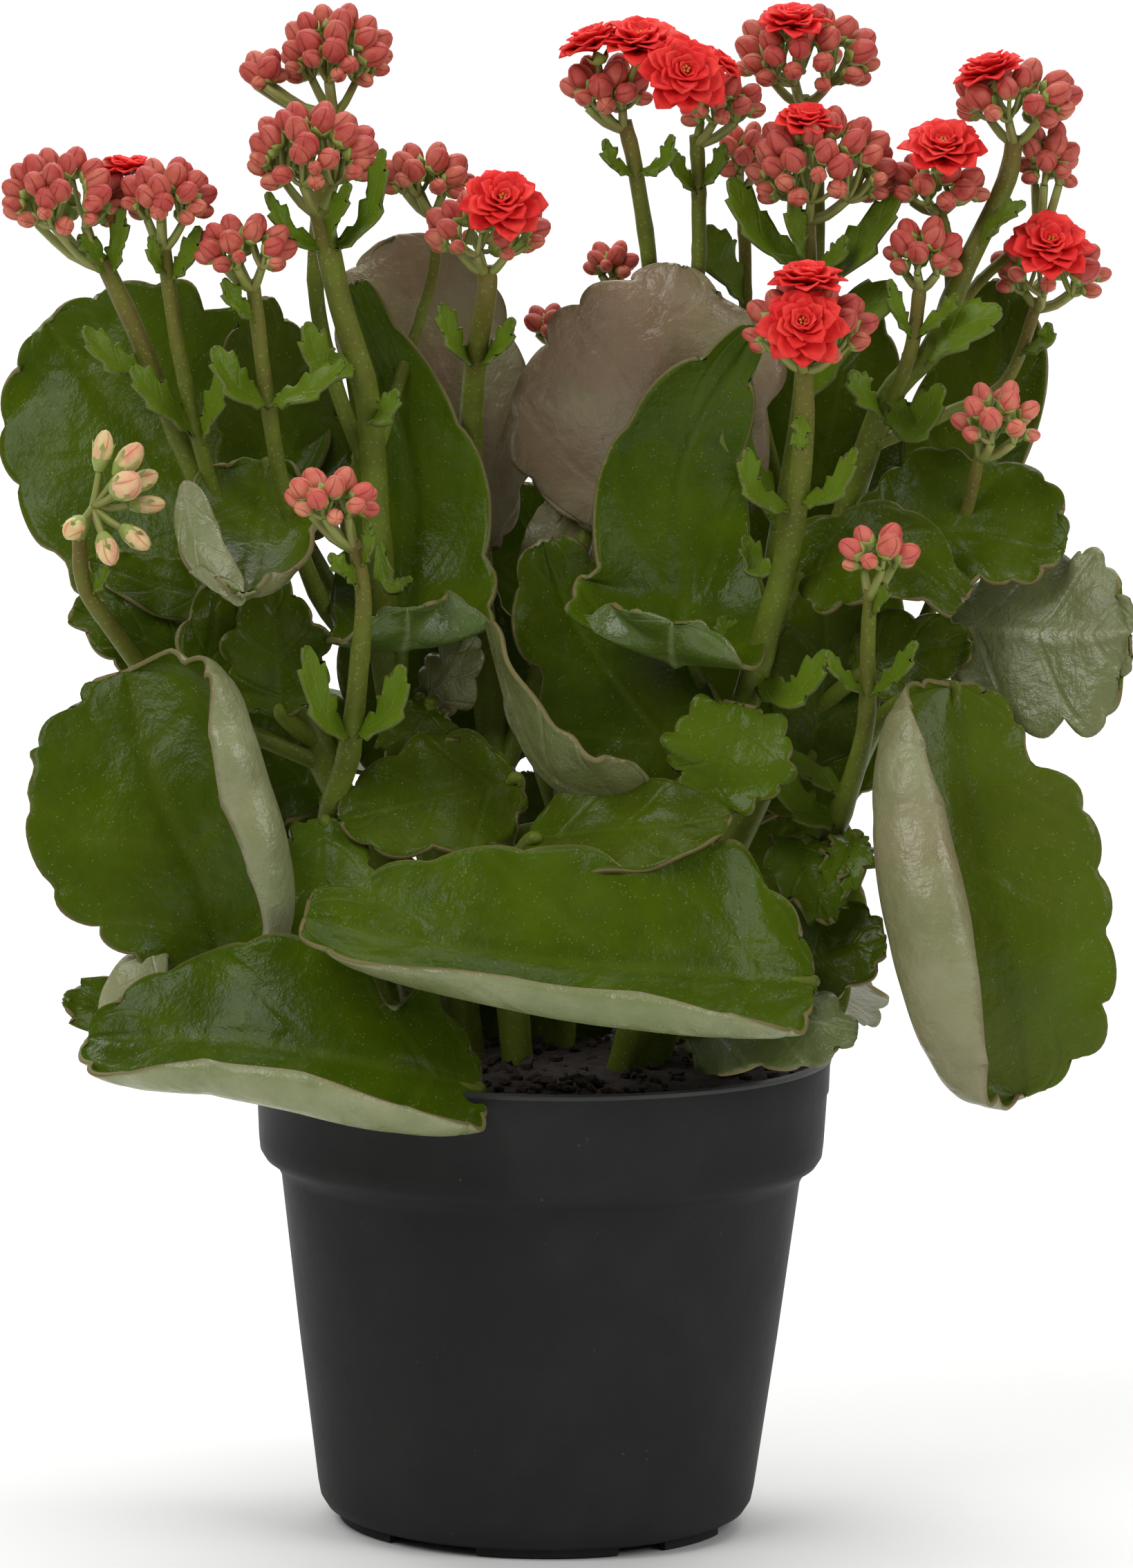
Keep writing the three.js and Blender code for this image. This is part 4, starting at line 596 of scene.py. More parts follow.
class LeafLooks(Enum):
    """The finishes of a leaf's faces and edge."""

    UPPER = LeafFinish(
        "leaf_upper", (0.036, 0.064, 0.001), (0.062, 0.102, 0.002), (0.085, 0.125, 0.010),
        (0.080, 0.056, 0.008), (0.13, 0.12, 0.030), 0.14, 0.34, 0.3,
    )
    UNDER = LeafFinish(
        "leaf_under", (0.19, 0.222, 0.088), (0.29, 0.305, 0.155), (0.26, 0.28, 0.13),
        (0.205, 0.138, 0.076), (0.20, 0.16, 0.08), 0.22, 0.46, 0.85, 0.5, 1.9, "fresh", (0.066, 0.108, 0.012),
    )
    RIM = LeafFinish(
        "leaf_edge", (0.13, 0.15, 0.040), (0.22, 0.19, 0.09), (0.14, 0.14, 0.05),
        (0.20, 0.11, 0.06), (0.16, 0.13, 0.05), 0.35, 0.55,
    )


@dataclass(frozen=True)
class StemFinish:
    """Green stems with fine pale specks, browner towards the top."""

    name: str = "stem_skin"
    green: Colour = (0.125, 0.168, 0.016)
    olive: Colour = (0.092, 0.112, 0.012)
    brown: Colour = (0.15, 0.11, 0.028)

    def make(self) -> Material:
        """Make the material."""
        shades = Shades(self.name)
        colour = shades.mix(shades.ramp(shades.noise(120.0, 3.0), 0.35, 0.65), self.green, self.olive)
        ripe = shades.times(shades.value("ripe"), shades.ramp(shades.noise(60.0, 2.0), 0.2, 0.6))
        colour = shades.mix(ripe, colour, self.brown)
        dots = shades.times(shades.ramp(shades.spots(900.0), 0.3, 0.14), 0.4)
        colour = shades.mix(dots, colour, (0.27, 0.30, 0.10))
        shades.colour(colour)
        shades.roughness(shades.noise(200.0, 3.0), 0.32, 0.55)
        shades.bump(shades.noise(500.0, 3.0), 0.3, 0.0006)
        shades.settle(Specular_IOR_Level=0.15)
        return shades.material


@dataclass(frozen=True)
class BudFinish:
    """A closed bud: dusky petals that meet in darker seams, paler where it is small or sheltered."""

    name: str
    body: Colour
    deep: Colour
    pale: Colour
    seam: Colour

    def make(self) -> Material:
        """Make the material."""
        shades = Shades(self.name)
        tip = shades.value("tip")
        colour = shades.mix(shades.value("tone"), self.pale, self.body)
        blush = shades.times(shades.ramp(tip, 0.35, 1.0), shades.value("tone"))
        colour = shades.mix(shades.times(blush, 0.65), colour, self.deep)
        colour = shades.mix(shades.ramp(shades.noise(420.0, 3.0), 0.42, 0.75), colour, self.deep)
        line = shades.ramp(shades.value("seam"), 0.7, 1.0)
        closing = shades.times(line, shades.ramp(tip, 0.2, 0.6))
        colour = shades.mix(shades.times(closing, 0.85), colour, self.seam)
        shades.colour(colour)
        shades.roughness(shades.noise(300.0, 2.0), 0.42, 0.62)
        shades.bump(shades.noise(700.0, 3.0), 0.25, 0.0004)
        shades.settle(Specular_IOR_Level=0.25, Subsurface_Weight=0.12)
        shades.settle(Subsurface_Radius=(0.002, 0.0008, 0.0006), Subsurface_Scale=1.0)
        return shades.material


@dataclass(frozen=True)
class PetalFinish:
    """Petals of an open flower: bright scarlet, deeper at the heart and paler on the tips."""

    name: str = "petal_scarlet"
    body: Colour = (0.74, 0.018, 0.020)
    deep: Colour = (0.44, 0.006, 0.009)
    pale: Colour = (0.90, 0.075, 0.055)

    def make(self) -> Material:
        """Make the material."""
        shades = Shades(self.name)
        tip = shades.value("tip")
        colour = shades.mix(shades.ramp(tip, 0.0, 0.5), self.deep, self.body)
        light = shades.times(shades.ramp(tip, 0.55, 1.0), shades.value("tone"))
        colour = shades.mix(light, colour, self.pale)
        colour = shades.mix(shades.ramp(shades.noise(380.0, 3.0), 0.5, 0.85), colour, self.deep)
        shades.colour(colour)
        shades.roughness(shades.noise(240.0, 2.0), 0.4, 0.6)
        shades.bump(shades.noise(620.0, 4.0), 0.3, 0.0005)
        shades.settle(Specular_IOR_Level=0.12, Subsurface_Weight=0.1)
        shades.settle(Subsurface_Radius=(0.002, 0.0005, 0.0004), Subsurface_Scale=1.0)
        return shades.material


@dataclass(frozen=True)
class GreenFinish:
    """A small green part, such as a calyx or a bud's stalk."""

    name: str
    first: Colour
    second: Colour

    def make(self) -> Material:
        """Make the material."""
        shades = Shades(self.name)
        shades.colour(shades.mix(shades.ramp(shades.noise(240.0, 3.0), 0.3, 0.7), self.first, self.second))
        shades.roughness(shades.noise(300.0, 2.0), 0.4, 0.6)
        shades.bump(shades.noise(800.0, 2.0), 0.2, 0.0004)
        return shades.material


@dataclass(frozen=True)
class PotFinish:
    """Thin black moulded plastic, scuffed and a little dusty."""

    name: str = "pot_black"
    body: Colour = (0.0245, 0.0245, 0.0248)
    dust: Colour = (0.034, 0.033, 0.032)
    shine: float = 0.03

    def make(self) -> Material:
        """Make the material."""
        shades = Shades(self.name)
        drift = shades.ramp(shades.noise(45.0, 6.0, 0.7), 0.45, 0.9)
        colour = shades.mix(drift, self.body, self.dust)
        near = shades.ramp(shades.spots(420.0), 0.16, 0.06)
        rare = shades.ramp(shades.noise(150.0, 2.0), 0.60, 0.70)
        colour = shades.mix(shades.times(near, shades.times(rare, 0.6)), colour, (0.10, 0.085, 0.07))
        shades.colour(colour)
        shades.roughness(shades.noise(60.0, 5.0, 0.65), 0.38, 0.6)
        shades.bump(shades.noise(900.0, 3.0), 0.12, 0.0005)
        shades.settle(Specular_IOR_Level=self.shine)
        return shades.material


@dataclass(frozen=True)
class SoilFinish:
    """Dark, moist peat."""

    name: str = "soil_peat"
    wet: Colour = (0.010, 0.006, 0.0035)
    dry: Colour = (0.060, 0.030, 0.016)

    def make(self) -> Material:
        """Make the material."""
        shades = Shades(self.name)
        shades.colour(shades.mix(shades.ramp(shades.noise(420.0, 5.0, 0.7), 0.35, 0.75), self.wet, self.dry))
        shades.roughness(shades.noise(300.0, 3.0), 0.7, 0.95)
        shades.bump(shades.noise(600.0, 6.0, 0.7), 0.9, 0.002)
        return shades.material


@dataclass(frozen=True)
class FloorFinish:
    """A plain pale floor."""

    name: str = "floor_pale"
    tone: Colour = (0.86, 0.857, 0.85)

    def make(self) -> Material:
        """Make the material."""
        shades = Shades(self.name)
        darker = tuple(part * 0.97 for part in self.tone)
        shades.colour(shades.mix(shades.noise(6.0, 2.0), self.tone, darker))
        shades.settle(Roughness=0.75)
        return shades.material


class Palette:
    """All the finished materials."""

    def __init__(self) -> None:
        """Make each material once."""
        self.leaf = [look.value.make() for look in LeafLooks]
        self.bract = [
            LeafFinish(
                "bract_upper", (0.085, 0.142, 0.005), (0.118, 0.185, 0.010), (0.16, 0.22, 0.04),
                (0.11, 0.075, 0.02), (0.13, 0.16, 0.03), 0.25, 0.45,
            ).make(),
            LeafFinish(
                "bract_under", (0.10, 0.14, 0.028), (0.14, 0.18, 0.045), (0.16, 0.20, 0.06),
                (0.14, 0.09, 0.03), (0.13, 0.15, 0.04), 0.35, 0.55,
            ).make(),
        ]
        self.stem = StemFinish().make()
        self.bud = BudFinish(
            "bud_coral_skin",
            (0.54, 0.118, 0.086), (0.42, 0.042, 0.036), (0.64, 0.25, 0.14), (0.20, 0.010, 0.010),
        ).make()
        self.pink_bud = BudFinish(
            "bud_pink_skin",
            (0.66, 0.165, 0.125), (0.56, 0.085, 0.070), (0.66, 0.33, 0.17), (0.30, 0.030, 0.025),
        ).make()
        self.pale_bud = BudFinish(
            "bud_pale_skin", (0.78, 0.66, 0.34), (0.74, 0.30, 0.20), (0.62, 0.62, 0.24), (0.55, 0.13, 0.07),
        ).make()
        self.petal = PetalFinish().make()
        self.heart = GreenFinish("flower_heart", (0.55, 0.20, 0.02), (0.62, 0.08, 0.02)).make()
        self.calyx = GreenFinish("calyx_green", (0.23, 0.31, 0.040), (0.32, 0.36, 0.09)).make()
        self.twig = GreenFinish("flower_stalk", (0.22, 0.27, 0.045), (0.25, 0.23, 0.065)).make()
        self.pot = PotFinish().make()
        self.lip = PotFinish("pot_lip", shine=0.5).make()
        self.soil = SoilFinish().make()
        self.floor = FloorFinish().make()


def set_down(name: str, bm: Mesh) -> Piece:
    """Put a mesh into the scene.

    Args:
        name: Name of the object.
        bm: Its mesh, which is freed.

    Returns:
        The object.
    """
    mesh = bpy.data.meshes.new(name)
    bm.to_mesh(mesh)
    bm.free()
    piece = bpy.data.objects.new(name, mesh)
    bpy.context.scene.collection.objects.link(piece)
    return piece


def finished(
    name: str, bm: Mesh, materials: Iterable[Material], nodes: Iterable[str] = (),
) -> Piece:
    """Turn a mesh into a piece that rides on the part.

    Args:
        name: Name of the piece.
        bm: Its mesh, which is freed.
        materials: Materials in the order of the faces' numbers.
        nodes: Solids that the piece stands for.

    Returns:
        The piece.
    """
    piece = set_down(name, bm)
    for material in materials:
        piece.data.materials.append(material)
    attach(piece, ROOT_BODY)
    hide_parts(*nodes)
    LOG.info("%s: %d faces", name, len(piece.data.polygons))
    return piece


def thicken(piece: Piece, thickness: float, under: int = 0, rim: int = 0) -> None:
    """Give a sheet its thickness, half of it each way.

    Args:
        piece: The sheet.
        thickness: The thickness in millimetres.
        under: How much further on the lower face's material is.
        rim: How much further on the edge's material is.
    """
    solid = piece.modifiers.new("thickness", "SOLIDIFY")
    solid.thickness = thickness * MM
    solid.offset = 0.0
    solid.material_offset = under
    solid.material_offset_rim = rim
    solid.use_even_offset = False


def frame_at(point: Vector, way: Vector, size: float, turn: float = 0.0) -> Matrix:
    """Place a unit shape with its origin at a point and its +Z along a way, grown and turned about it."""
    turned = way.to_track_quat("Z", "Y").to_matrix().to_4x4() @ Matrix.Rotation(turn, 4, "Z")
    return Matrix.Translation(point) @ turned @ Matrix.Scale(size, 4)


def sweep(bm: Mesh, path: Sequence[Vector], radii: Sequence[float], sides: int) -> list[Vert]:
    """Draw a round rod along a path.

    Args:
        bm: The mesh that takes the rod.
        path: Points of its axis, in metres.
        radii: Its radius at each point, in metres.
        sides: Faces round it.

    Returns:
        The rod's vertices.
    """
    ways = [(b - a).normalized() for a, b in zip(path, path[1:])]
    ways.append(ways[-1])
    twist = ways[0].to_track_quat("Z", "Y")
    placed = []
    for index, point in enumerate(path):
        if index:
            twist = ways[index - 1].rotation_difference(ways[index]) @ twist
        placed.append(Matrix.Translation(point) @ twist.to_matrix().to_4x4() @ Matrix.Scale(radii[index], 4))
    made = bmesh.ops.create_circle(bm, cap_ends=True, segments=sides, radius=1.0, matrix=placed[0])
    ring = made["verts"]
    edges = list(dict.fromkeys(edge for vert in ring for edge in vert.link_edges))
    verts = list(ring)
    for before, after in zip(placed, placed[1:]):
        grown = bmesh.ops.extrude_edge_only(bm, edges=edges)["geom"]
        ring = [item for item in grown if isinstance(item, Vert)]
        fresh = set(ring)
        edges = [e for e in grown if isinstance(e, bmesh.types.BMEdge) and set(e.verts) <= fresh]
        bmesh.ops.transform(bm, matrix=after @ before.inverted(), verts=ring)
        verts.extend(ring)
    bmesh.ops.edgeloop_fill(bm, edges=edges)
    faces = list({face for vert in verts for face in vert.link_faces})
    bmesh.ops.recalc_face_normals(bm, faces=faces)
    for face in faces:
        face.smooth = len(face.verts) == 4
    return verts


def turned(outline: Iterable[tuple[float, float]], steps: int) -> Mesh:
    """Turn an outline about the pot's axis.

    Args:
        outline: Radius and height of its points, in millimetres.
        steps: Faces round the axis.

    Returns:
        The mesh.
    """
    bm = bmesh.new()
    verts = [bm.verts.new((radius * MM, 0, level * MM)) for radius, level in outline]
    edges = [bm.edges.new(pair) for pair in zip(verts, verts[1:])]
    bmesh.ops.spin(
        bm, geom=verts + edges, cent=(0, 0, 0), axis=(0, 0, 1), angle=math.tau, steps=steps, use_merge=True,
    )
    bmesh.ops.remove_doubles(bm, verts=bm.verts, dist=1e-6)
    bmesh.ops.recalc_face_normals(bm, faces=bm.faces)
    for face in bm.faces:
        face.smooth = True
    return bm


def applied(piece: Piece) -> None:
    """Keep the shape that a piece's modifiers give and take the modifiers off.

    Args:
        piece: The piece.
    """
    graph = bpy.context.evaluated_depsgraph_get()
    mesh = bpy.data.meshes.new_from_object(piece.evaluated_get(graph))
    piece.modifiers.clear()
    piece.data = mesh


@dataclass
class Pot:
    """The nursery pot: a thin turned shell with a deep rim band, a broken foot ring and drainage slots.

    Sizes are in millimetres. The rim band is rim_depth deep and ends at rim_foot_radius, above the neck. The
    foot ring is from ring_in to ring_out, and its gaps have their middle and half-width in degrees.
    The lip is shiny as far down as worn. Slots are slot_radius from the axis, with a length and a width.
    """

    rim_radius: float = 60.0
    height: float = 100.0
    wall: float = 1.4
    rim_depth: float = 24.0
    rim_foot_radius: float = 58.7
    neck_radius: float = 54.0
    foot_radius: float = 45.5
    floor_level: float = 3.2
    floor_thick: float = 1.6
    ring_out: float = 41.0
    ring_in: float = 38.6
    gaps: Sequence[tuple[float, float]] = ((238, 15), (303, 8), (350, 12), (50, 12), (110, 12), (170, 12))
    worn: float = 1.3
    slots: int = 4
    slot_radius: float = 22.0
    slot_size: tuple[float, float] = (11.0, 5.0)

    def profile(self) -> list[tuple[float, float]]:
        """List the wall's outline from the middle of the floor inside, over the rim and back underneath."""
        top = self.height
        band = top - self.rim_depth
        floor = self.floor_level + self.floor_thick
        rim = self.rim_radius
        return [
            (0.0, floor), (self.foot_radius - self.wall - 3, floor),
            (self.foot_radius - self.wall - 1, floor + 1.6),
            (self.neck_radius - self.wall, band - 2), (self.rim_foot_radius - self.wall, band + 3),
            (rim - self.wall, top - 1), (rim - self.wall + 0.4, top - 0.2), (rim - 0.7, top),
            (rim + 0.1, top - 0.4), (rim + 0.2, top - 1.2), (rim - 0.15, top - 2.6), (rim - 0.3, top - 8),
            (rim - 0.65, top - 8.6),
            (self.rim_foot_radius + 0.1, band + 5), (self.rim_foot_radius - 0.2, band + 2.2),
            (self.rim_foot_radius - 1.2, band + 0.6), (self.rim_foot_radius - 2.8, band - 0.4),
            (self.neck_radius + 0.8, band - 1.6), (self.neck_radius, band - 3.2),
            (self.foot_radius + 4.4, 40.0), (self.foot_radius + 0.1, 8.2), (self.foot_radius - 0.5, 5.2),
            (self.foot_radius - 1.9, 3.0), (self.ring_out + 0.6, 1.9), (self.ring_out, 1.5),
            (self.ring_out, 0.3), (self.ring_out - 0.3, 0.0), (self.ring_in + 0.3, 0.0), (self.ring_in, 0.3),
            (self.ring_in, self.floor_level), (0.0, self.floor_level),
        ]

    def cutters(self) -> Piece:
        """Make the blocks that cut the gaps and the slots."""
        bm = bmesh.new()
        for middle, half in self.gaps:
            width = 2 * self.ring_out * math.sin(math.radians(half))
            block = bmesh.ops.create_cube(bm, size=1.0)["verts"]
            bmesh.ops.scale(bm, verts=block, vec=(14 * MM, width * MM, 4.2 * MM))
            bmesh.ops.translate(bm, verts=block, vec=(self.ring_out * MM, 0, -0.35 * MM))
            bmesh.ops.rotate(bm, verts=block, matrix=Matrix.Rotation(math.radians(middle), 3, "Z"))
        for index in range(self.slots):
            block = bmesh.ops.create_cube(bm, size=1.0)["verts"]
            bmesh.ops.scale(bm, verts=block, vec=(self.slot_size[0] * MM, self.slot_size[1] * MM, 12 * MM))
            edges = dict.fromkeys(e for v in block for e in v.link_edges)
            upright = [e for e in edges if abs(e.verts[0].co.z - e.verts[1].co.z) > MM]
            rounded = bmesh.ops.bevel(
                bm, geom=upright, offset=2.2 * MM, affect="EDGES", segments=4, profile=0.5, material=-1,
            )
            block = list({v for face in rounded["faces"] for v in face.verts})
            bmesh.ops.translate(bm, verts=block, vec=(self.slot_radius * MM, 0, self.floor_level * MM))
            turn = Matrix.Rotation(math.tau * (index + 0.5) / self.slots, 3, "Z")
            bmesh.ops.rotate(bm, verts=block, matrix=turn)
        return set_down("pot_cutters", bm)

    def build(self, palette: Palette) -> None:
        """Turn the pot and cut its gaps and slots.

        Args:
            palette: The materials.
        """
        bm = turned(self.profile(), 112)
        for face in bm.faces:
            face.material_index = 1 if face.calc_center_median().z > (self.height - self.worn) * MM else 0
        pot = finished("nursery_pot", bm, [palette.pot, palette.lip], ["pot"])
        blocks = self.cutters()
        cut = pot.modifiers.new("gaps", "BOOLEAN")
        cut.operation = "DIFFERENCE"
        cut.solver = "EXACT"
        cut.object = blocks
        applied(pot)
        bpy.data.objects.remove(blocks)
        edge = pot.modifiers.new("crisp_edges", "EDGE_SPLIT")
        edge.split_angle = math.radians(42)


@dataclass
class Soil:
    """Peat in the pot, with loose crumbs on top.

    Its surface is at the height top and has its radius at the pot's wall, both in millimetres.
    """

    top: float = 95.5
    radius: float = 57.6
    crumbs: int = 420

    def level(self, x: float, y: float) -> float:
        """Find the height of the surface.

        Args:
            x: Place across, in millimetres.
            y: Place in depth, in millimetres.

        Returns:
            The height in millimetres.
        """
        share = min(math.hypot(x, y) / self.radius, 1.0)
        rough = math.sin(x * 0.71 + 1.3) * math.sin(y * 0.83 + 0.4) * 0.5 + math.sin(x * 1.9 + y * 1.7) * 0.3
        return self.top + 1.1 * (1 - share ** 3) + rough * (1 - share ** 6)

    def build(self, palette: Palette) -> None:
        """Make the body of the soil and its crumbs.

        Args:
            palette: The materials.
        """
        outline = [(0.0, 5.1), (42.1, 5.1), (52.2, 74.0), (57.0, 79.4), (self.radius, self.top)]
        outline += [(self.radius * (1 - step / 22), self.top) for step in range(1, 22)] + [(0.0, self.top)]
        bm = turned(outline, 90)
        for vert in bm.verts:
            if vert.co.z > (self.top - 0.01) * MM:
                vert.co.z = self.level(vert.co.x / MM, vert.co.y / MM) * MM
        finished("peat", bm, [palette.soil], ["soil"])
        draw = random.Random(17)
        bm = bmesh.new()
        for _ in range(self.crumbs):
            reach = (self.radius - 3) * math.sqrt(draw.random())
            angle = draw.uniform(0, math.tau)
            x, y = reach * math.cos(angle), reach * math.sin(angle)
            size = draw.uniform(0.5, 1.5) ** 1.5
            made = bmesh.ops.create_icosphere(bm, subdivisions=1, radius=size * MM)["verts"]
            stretch = (draw.uniform(0.7, 1.7), draw.uniform(0.6, 1.2), draw.uniform(0.5, 0.9))
            bmesh.ops.scale(bm, verts=made, vec=stretch)
            for vert in made:
                vert.co *= draw.uniform(0.78, 1.15)
            bmesh.ops.rotate(bm, verts=made, matrix=Matrix.Rotation(draw.uniform(0, 6.3), 3, "Z"))
            bmesh.ops.rotate(bm, verts=made, matrix=Matrix.Rotation(draw.uniform(-0.6, 0.6), 3, "X"))
            lift = self.level(x, y) + size * 0.25
            bmesh.ops.translate(bm, verts=made, vec=(x * MM, y * MM, lift * MM))
        finished("peat_crumbs", bm, [palette.soil])


@dataclass(frozen=True)
class Stalk:
    """A stalk through places, with its radii along the way, in millimetres."""

    places: Sequence[Place]
    radii: Sequence[float]

    @property
    def curve(self) -> Curve:
        """The stalk's axis."""
        return Curve.through(self.places)

    def radius(self, part: float) -> float:
        """Find the radius.

        Args:
            part: 0 at the foot and 1 at the top.

        Returns:
            The radius in metres.
        """
        spot = min(part, 0.9999) * (len(self.radii) - 1)
        low = int(spot)
        return (self.radii[low] + (self.radii[low + 1] - self.radii[low]) * (spot - low)) * MM


@dataclass(frozen=True)
class Shoot:
    """A leafy shoot: its stalks and the bracts along them.

    Attributes:
        name: The solid that it stands for.
        stalks: The main stalk and its branches.
        bracts: Each small leaf's base on a stalk, its middle, its tip and its half-width.
    """

    name: str
    stalks: Sequence[Stalk]
    bracts: Sequence[tuple[Place, Place, Place, float]]

    def nearest(self, place: Place) -> Vector:
        """Find the spot on the stalks, in metres, that is nearest to a place."""
        spots = [spot for stalk in self.stalks for spot in stalk.curve.steps(60)]
        return min(spots, key=lambda spot: (spot - VIEW.point(place)).length)

    def build(self, palette: Palette) -> None:
        """Make the stalks and the bracts.

        Args:
            palette: The materials.
        """
        bm = bmesh.new()
        ripe = bm.verts.layers.float.new("ripe")
        for stalk in self.stalks:
            count = 34
            curve = stalk.curve
            path = curve.steps(count)
            radii = []
            for index in range(count + 1):
                part = index / count
                node = 1 + 0.10 * math.exp(-((part * 5 % 1 - 0.5) / 0.09) ** 2)
                radii.append(stalk.radius(part) * node)
            verts = sweep(bm, path, radii, 14)
            top = max(point.z for point in path)
            for vert in verts:
                vert[ripe] = min(max(1 - (top - vert.co.z) / 0.045, 0.0), 1.0) ** 1.5
        finished(f"{self.name}_stems", bm, [palette.stem], [self.name])
        self.build_bracts(palette)

    def build_bracts(self, palette: Palette) -> None:
        """Make the small leaves along the stalks.

        Args:
            palette: The materials.
        """
        bm = bmesh.new()
        bright = bm.verts.layers.float.new("bright")
        draw = random.Random(len(self.name) * 7 + len(self.bracts))
        for index, (base, middle, end, wide) in enumerate(self.bracts):
            across = -0.3 if base[0] < end[0] else 0.3
            blade = Blade(
                rib=(base, middle, end), face=((across, 0.5, 0.8),) * 2, wide=(wide, wide),
                roll=((30, 22, 10), (26, 20, 14)), teeth=5 if wide > 2.5 else 4, notch=1.3, belly=-0.12,
                wave=0.25, seed=index, root=self.nearest(base), sharp=True,
            )
            before = set(bm.verts)
            blade.sheet(bm, 32, 8)
            tone = draw.uniform(0.0, 0.6)
            for vert in bm.verts:
                if vert not in before:
                    vert[bright] = tone
        piece = finished(f"{self.name}_bracts", bm, palette.bract)
        thicken(piece, 0.75, under=1, rim=1)


@dataclass(frozen=True)
class Tint:
    """How brown a leaf is flushed, and how light a green its upper and lower faces are, each from 0 to 1."""

    flush: float = 0.3
    bright: float = 0.0
    fresh: float = 0.8


@dataclass
class Leaf:
    """A large leaf: its blade, whose form is told in Blade's own values, and the stalk that carries it.

    Attributes:
        name: Name of the leaf.
        of: The shoot that it grows on.
        stalk: Places from the stem on, short of the blade.
        end: Place where the stalk meets the midrib, where that isn't the blade's base.
        own: True where a solid of its own stands for it.
        tint: How it is coloured.
        flap: A lobe that is folded over.
    """

    name: str
    of: str
    rib: Sequence[Place]
    wide: Sequence[float]
    stalk: Sequence[Place]
    face: Sequence[Sequence[float]] = ((0, 0.1, 1),) * 2
    roll: Sequence[Sequence[float]] = ((15, 10, 15),) * 2
    end: Place | None = None
    own: bool = False
    teeth: int = 6
    notch: float = 1.2
    belly: float = 0.25
    fold: Sequence[float] = (1.2, 1.2)
    tint: Tint = Tint()
    dips: Sequence[tuple[int, float, float, float]] = ()
    flap: Blade | None = None

    def build(self, palette: Palette, shoot: Shoot) -> None:
        """Make the blade and its stalk.

        Args:
            palette: The materials.
            shoot: The shoot that carries it.
        """
        seed = sum(ord(letter) for letter in self.name)
        blade = Blade(
            self.rib, self.face, self.wide, self.roll, self.teeth, self.notch * 1.5, self.belly, self.fold,
            wave=1.25 if self.own else 0.8, seed=seed, sharp="serrated" in self.name, dips=self.dips,
        )
        bm = bmesh.new()
        flush = bm.verts.layers.float.new("flush")
        bright = bm.verts.layers.float.new("bright")
        fresh = bm.verts.layers.float.new("fresh")
        blade.sheet(bm, *((84, 26) if self.own else (60, 16)))
        if self.flap:
            self.flap.sheet(bm, 30, 10)
        for vert in bm.verts:
            vert[flush] = self.tint.flush
            vert[bright] = self.tint.bright
            vert[fresh] = self.tint.fresh
        piece = finished(f"{self.name}_blade", bm, palette.leaf, [self.name] if self.own else [])
        thicken(piece, 1.0, under=1, rim=2)
        bm = bmesh.new()
        places = [VIEW.point(place) for place in (*self.stalk, self.end or self.rib[0])]
        places[0] = shoot.nearest(self.stalk[0])
        parts = [i / 30 for i in range(31)]
        part = min(parts, key=lambda spot: (blade.curve.at(spot) - places[-1]).length)
        ahead = blade.curve.way(part)
        face = (blade.ends[0] - ahead * blade.ends[0].dot(ahead)).normalized()
        places[-1] = blade.curve.at(part) - face * 0.6 * MM
        if part < 0.05:
            places.append(blade.curve.at(0.07) - face * 1.0 * MM)
        count = 20
        radii = [(1.9 - 1.45 * (i / count) ** 3) * MM for i in range(count + 1)]
        sweep(bm, Curve(places).steps(count), radii, 12)
        finished(f"{self.name}_stalk", bm, [palette.stem])


class BudSkin(Enum):
    """The finishes of the buds, as the palette names them."""

    CORAL = "bud"
    PINK = "pink_bud"


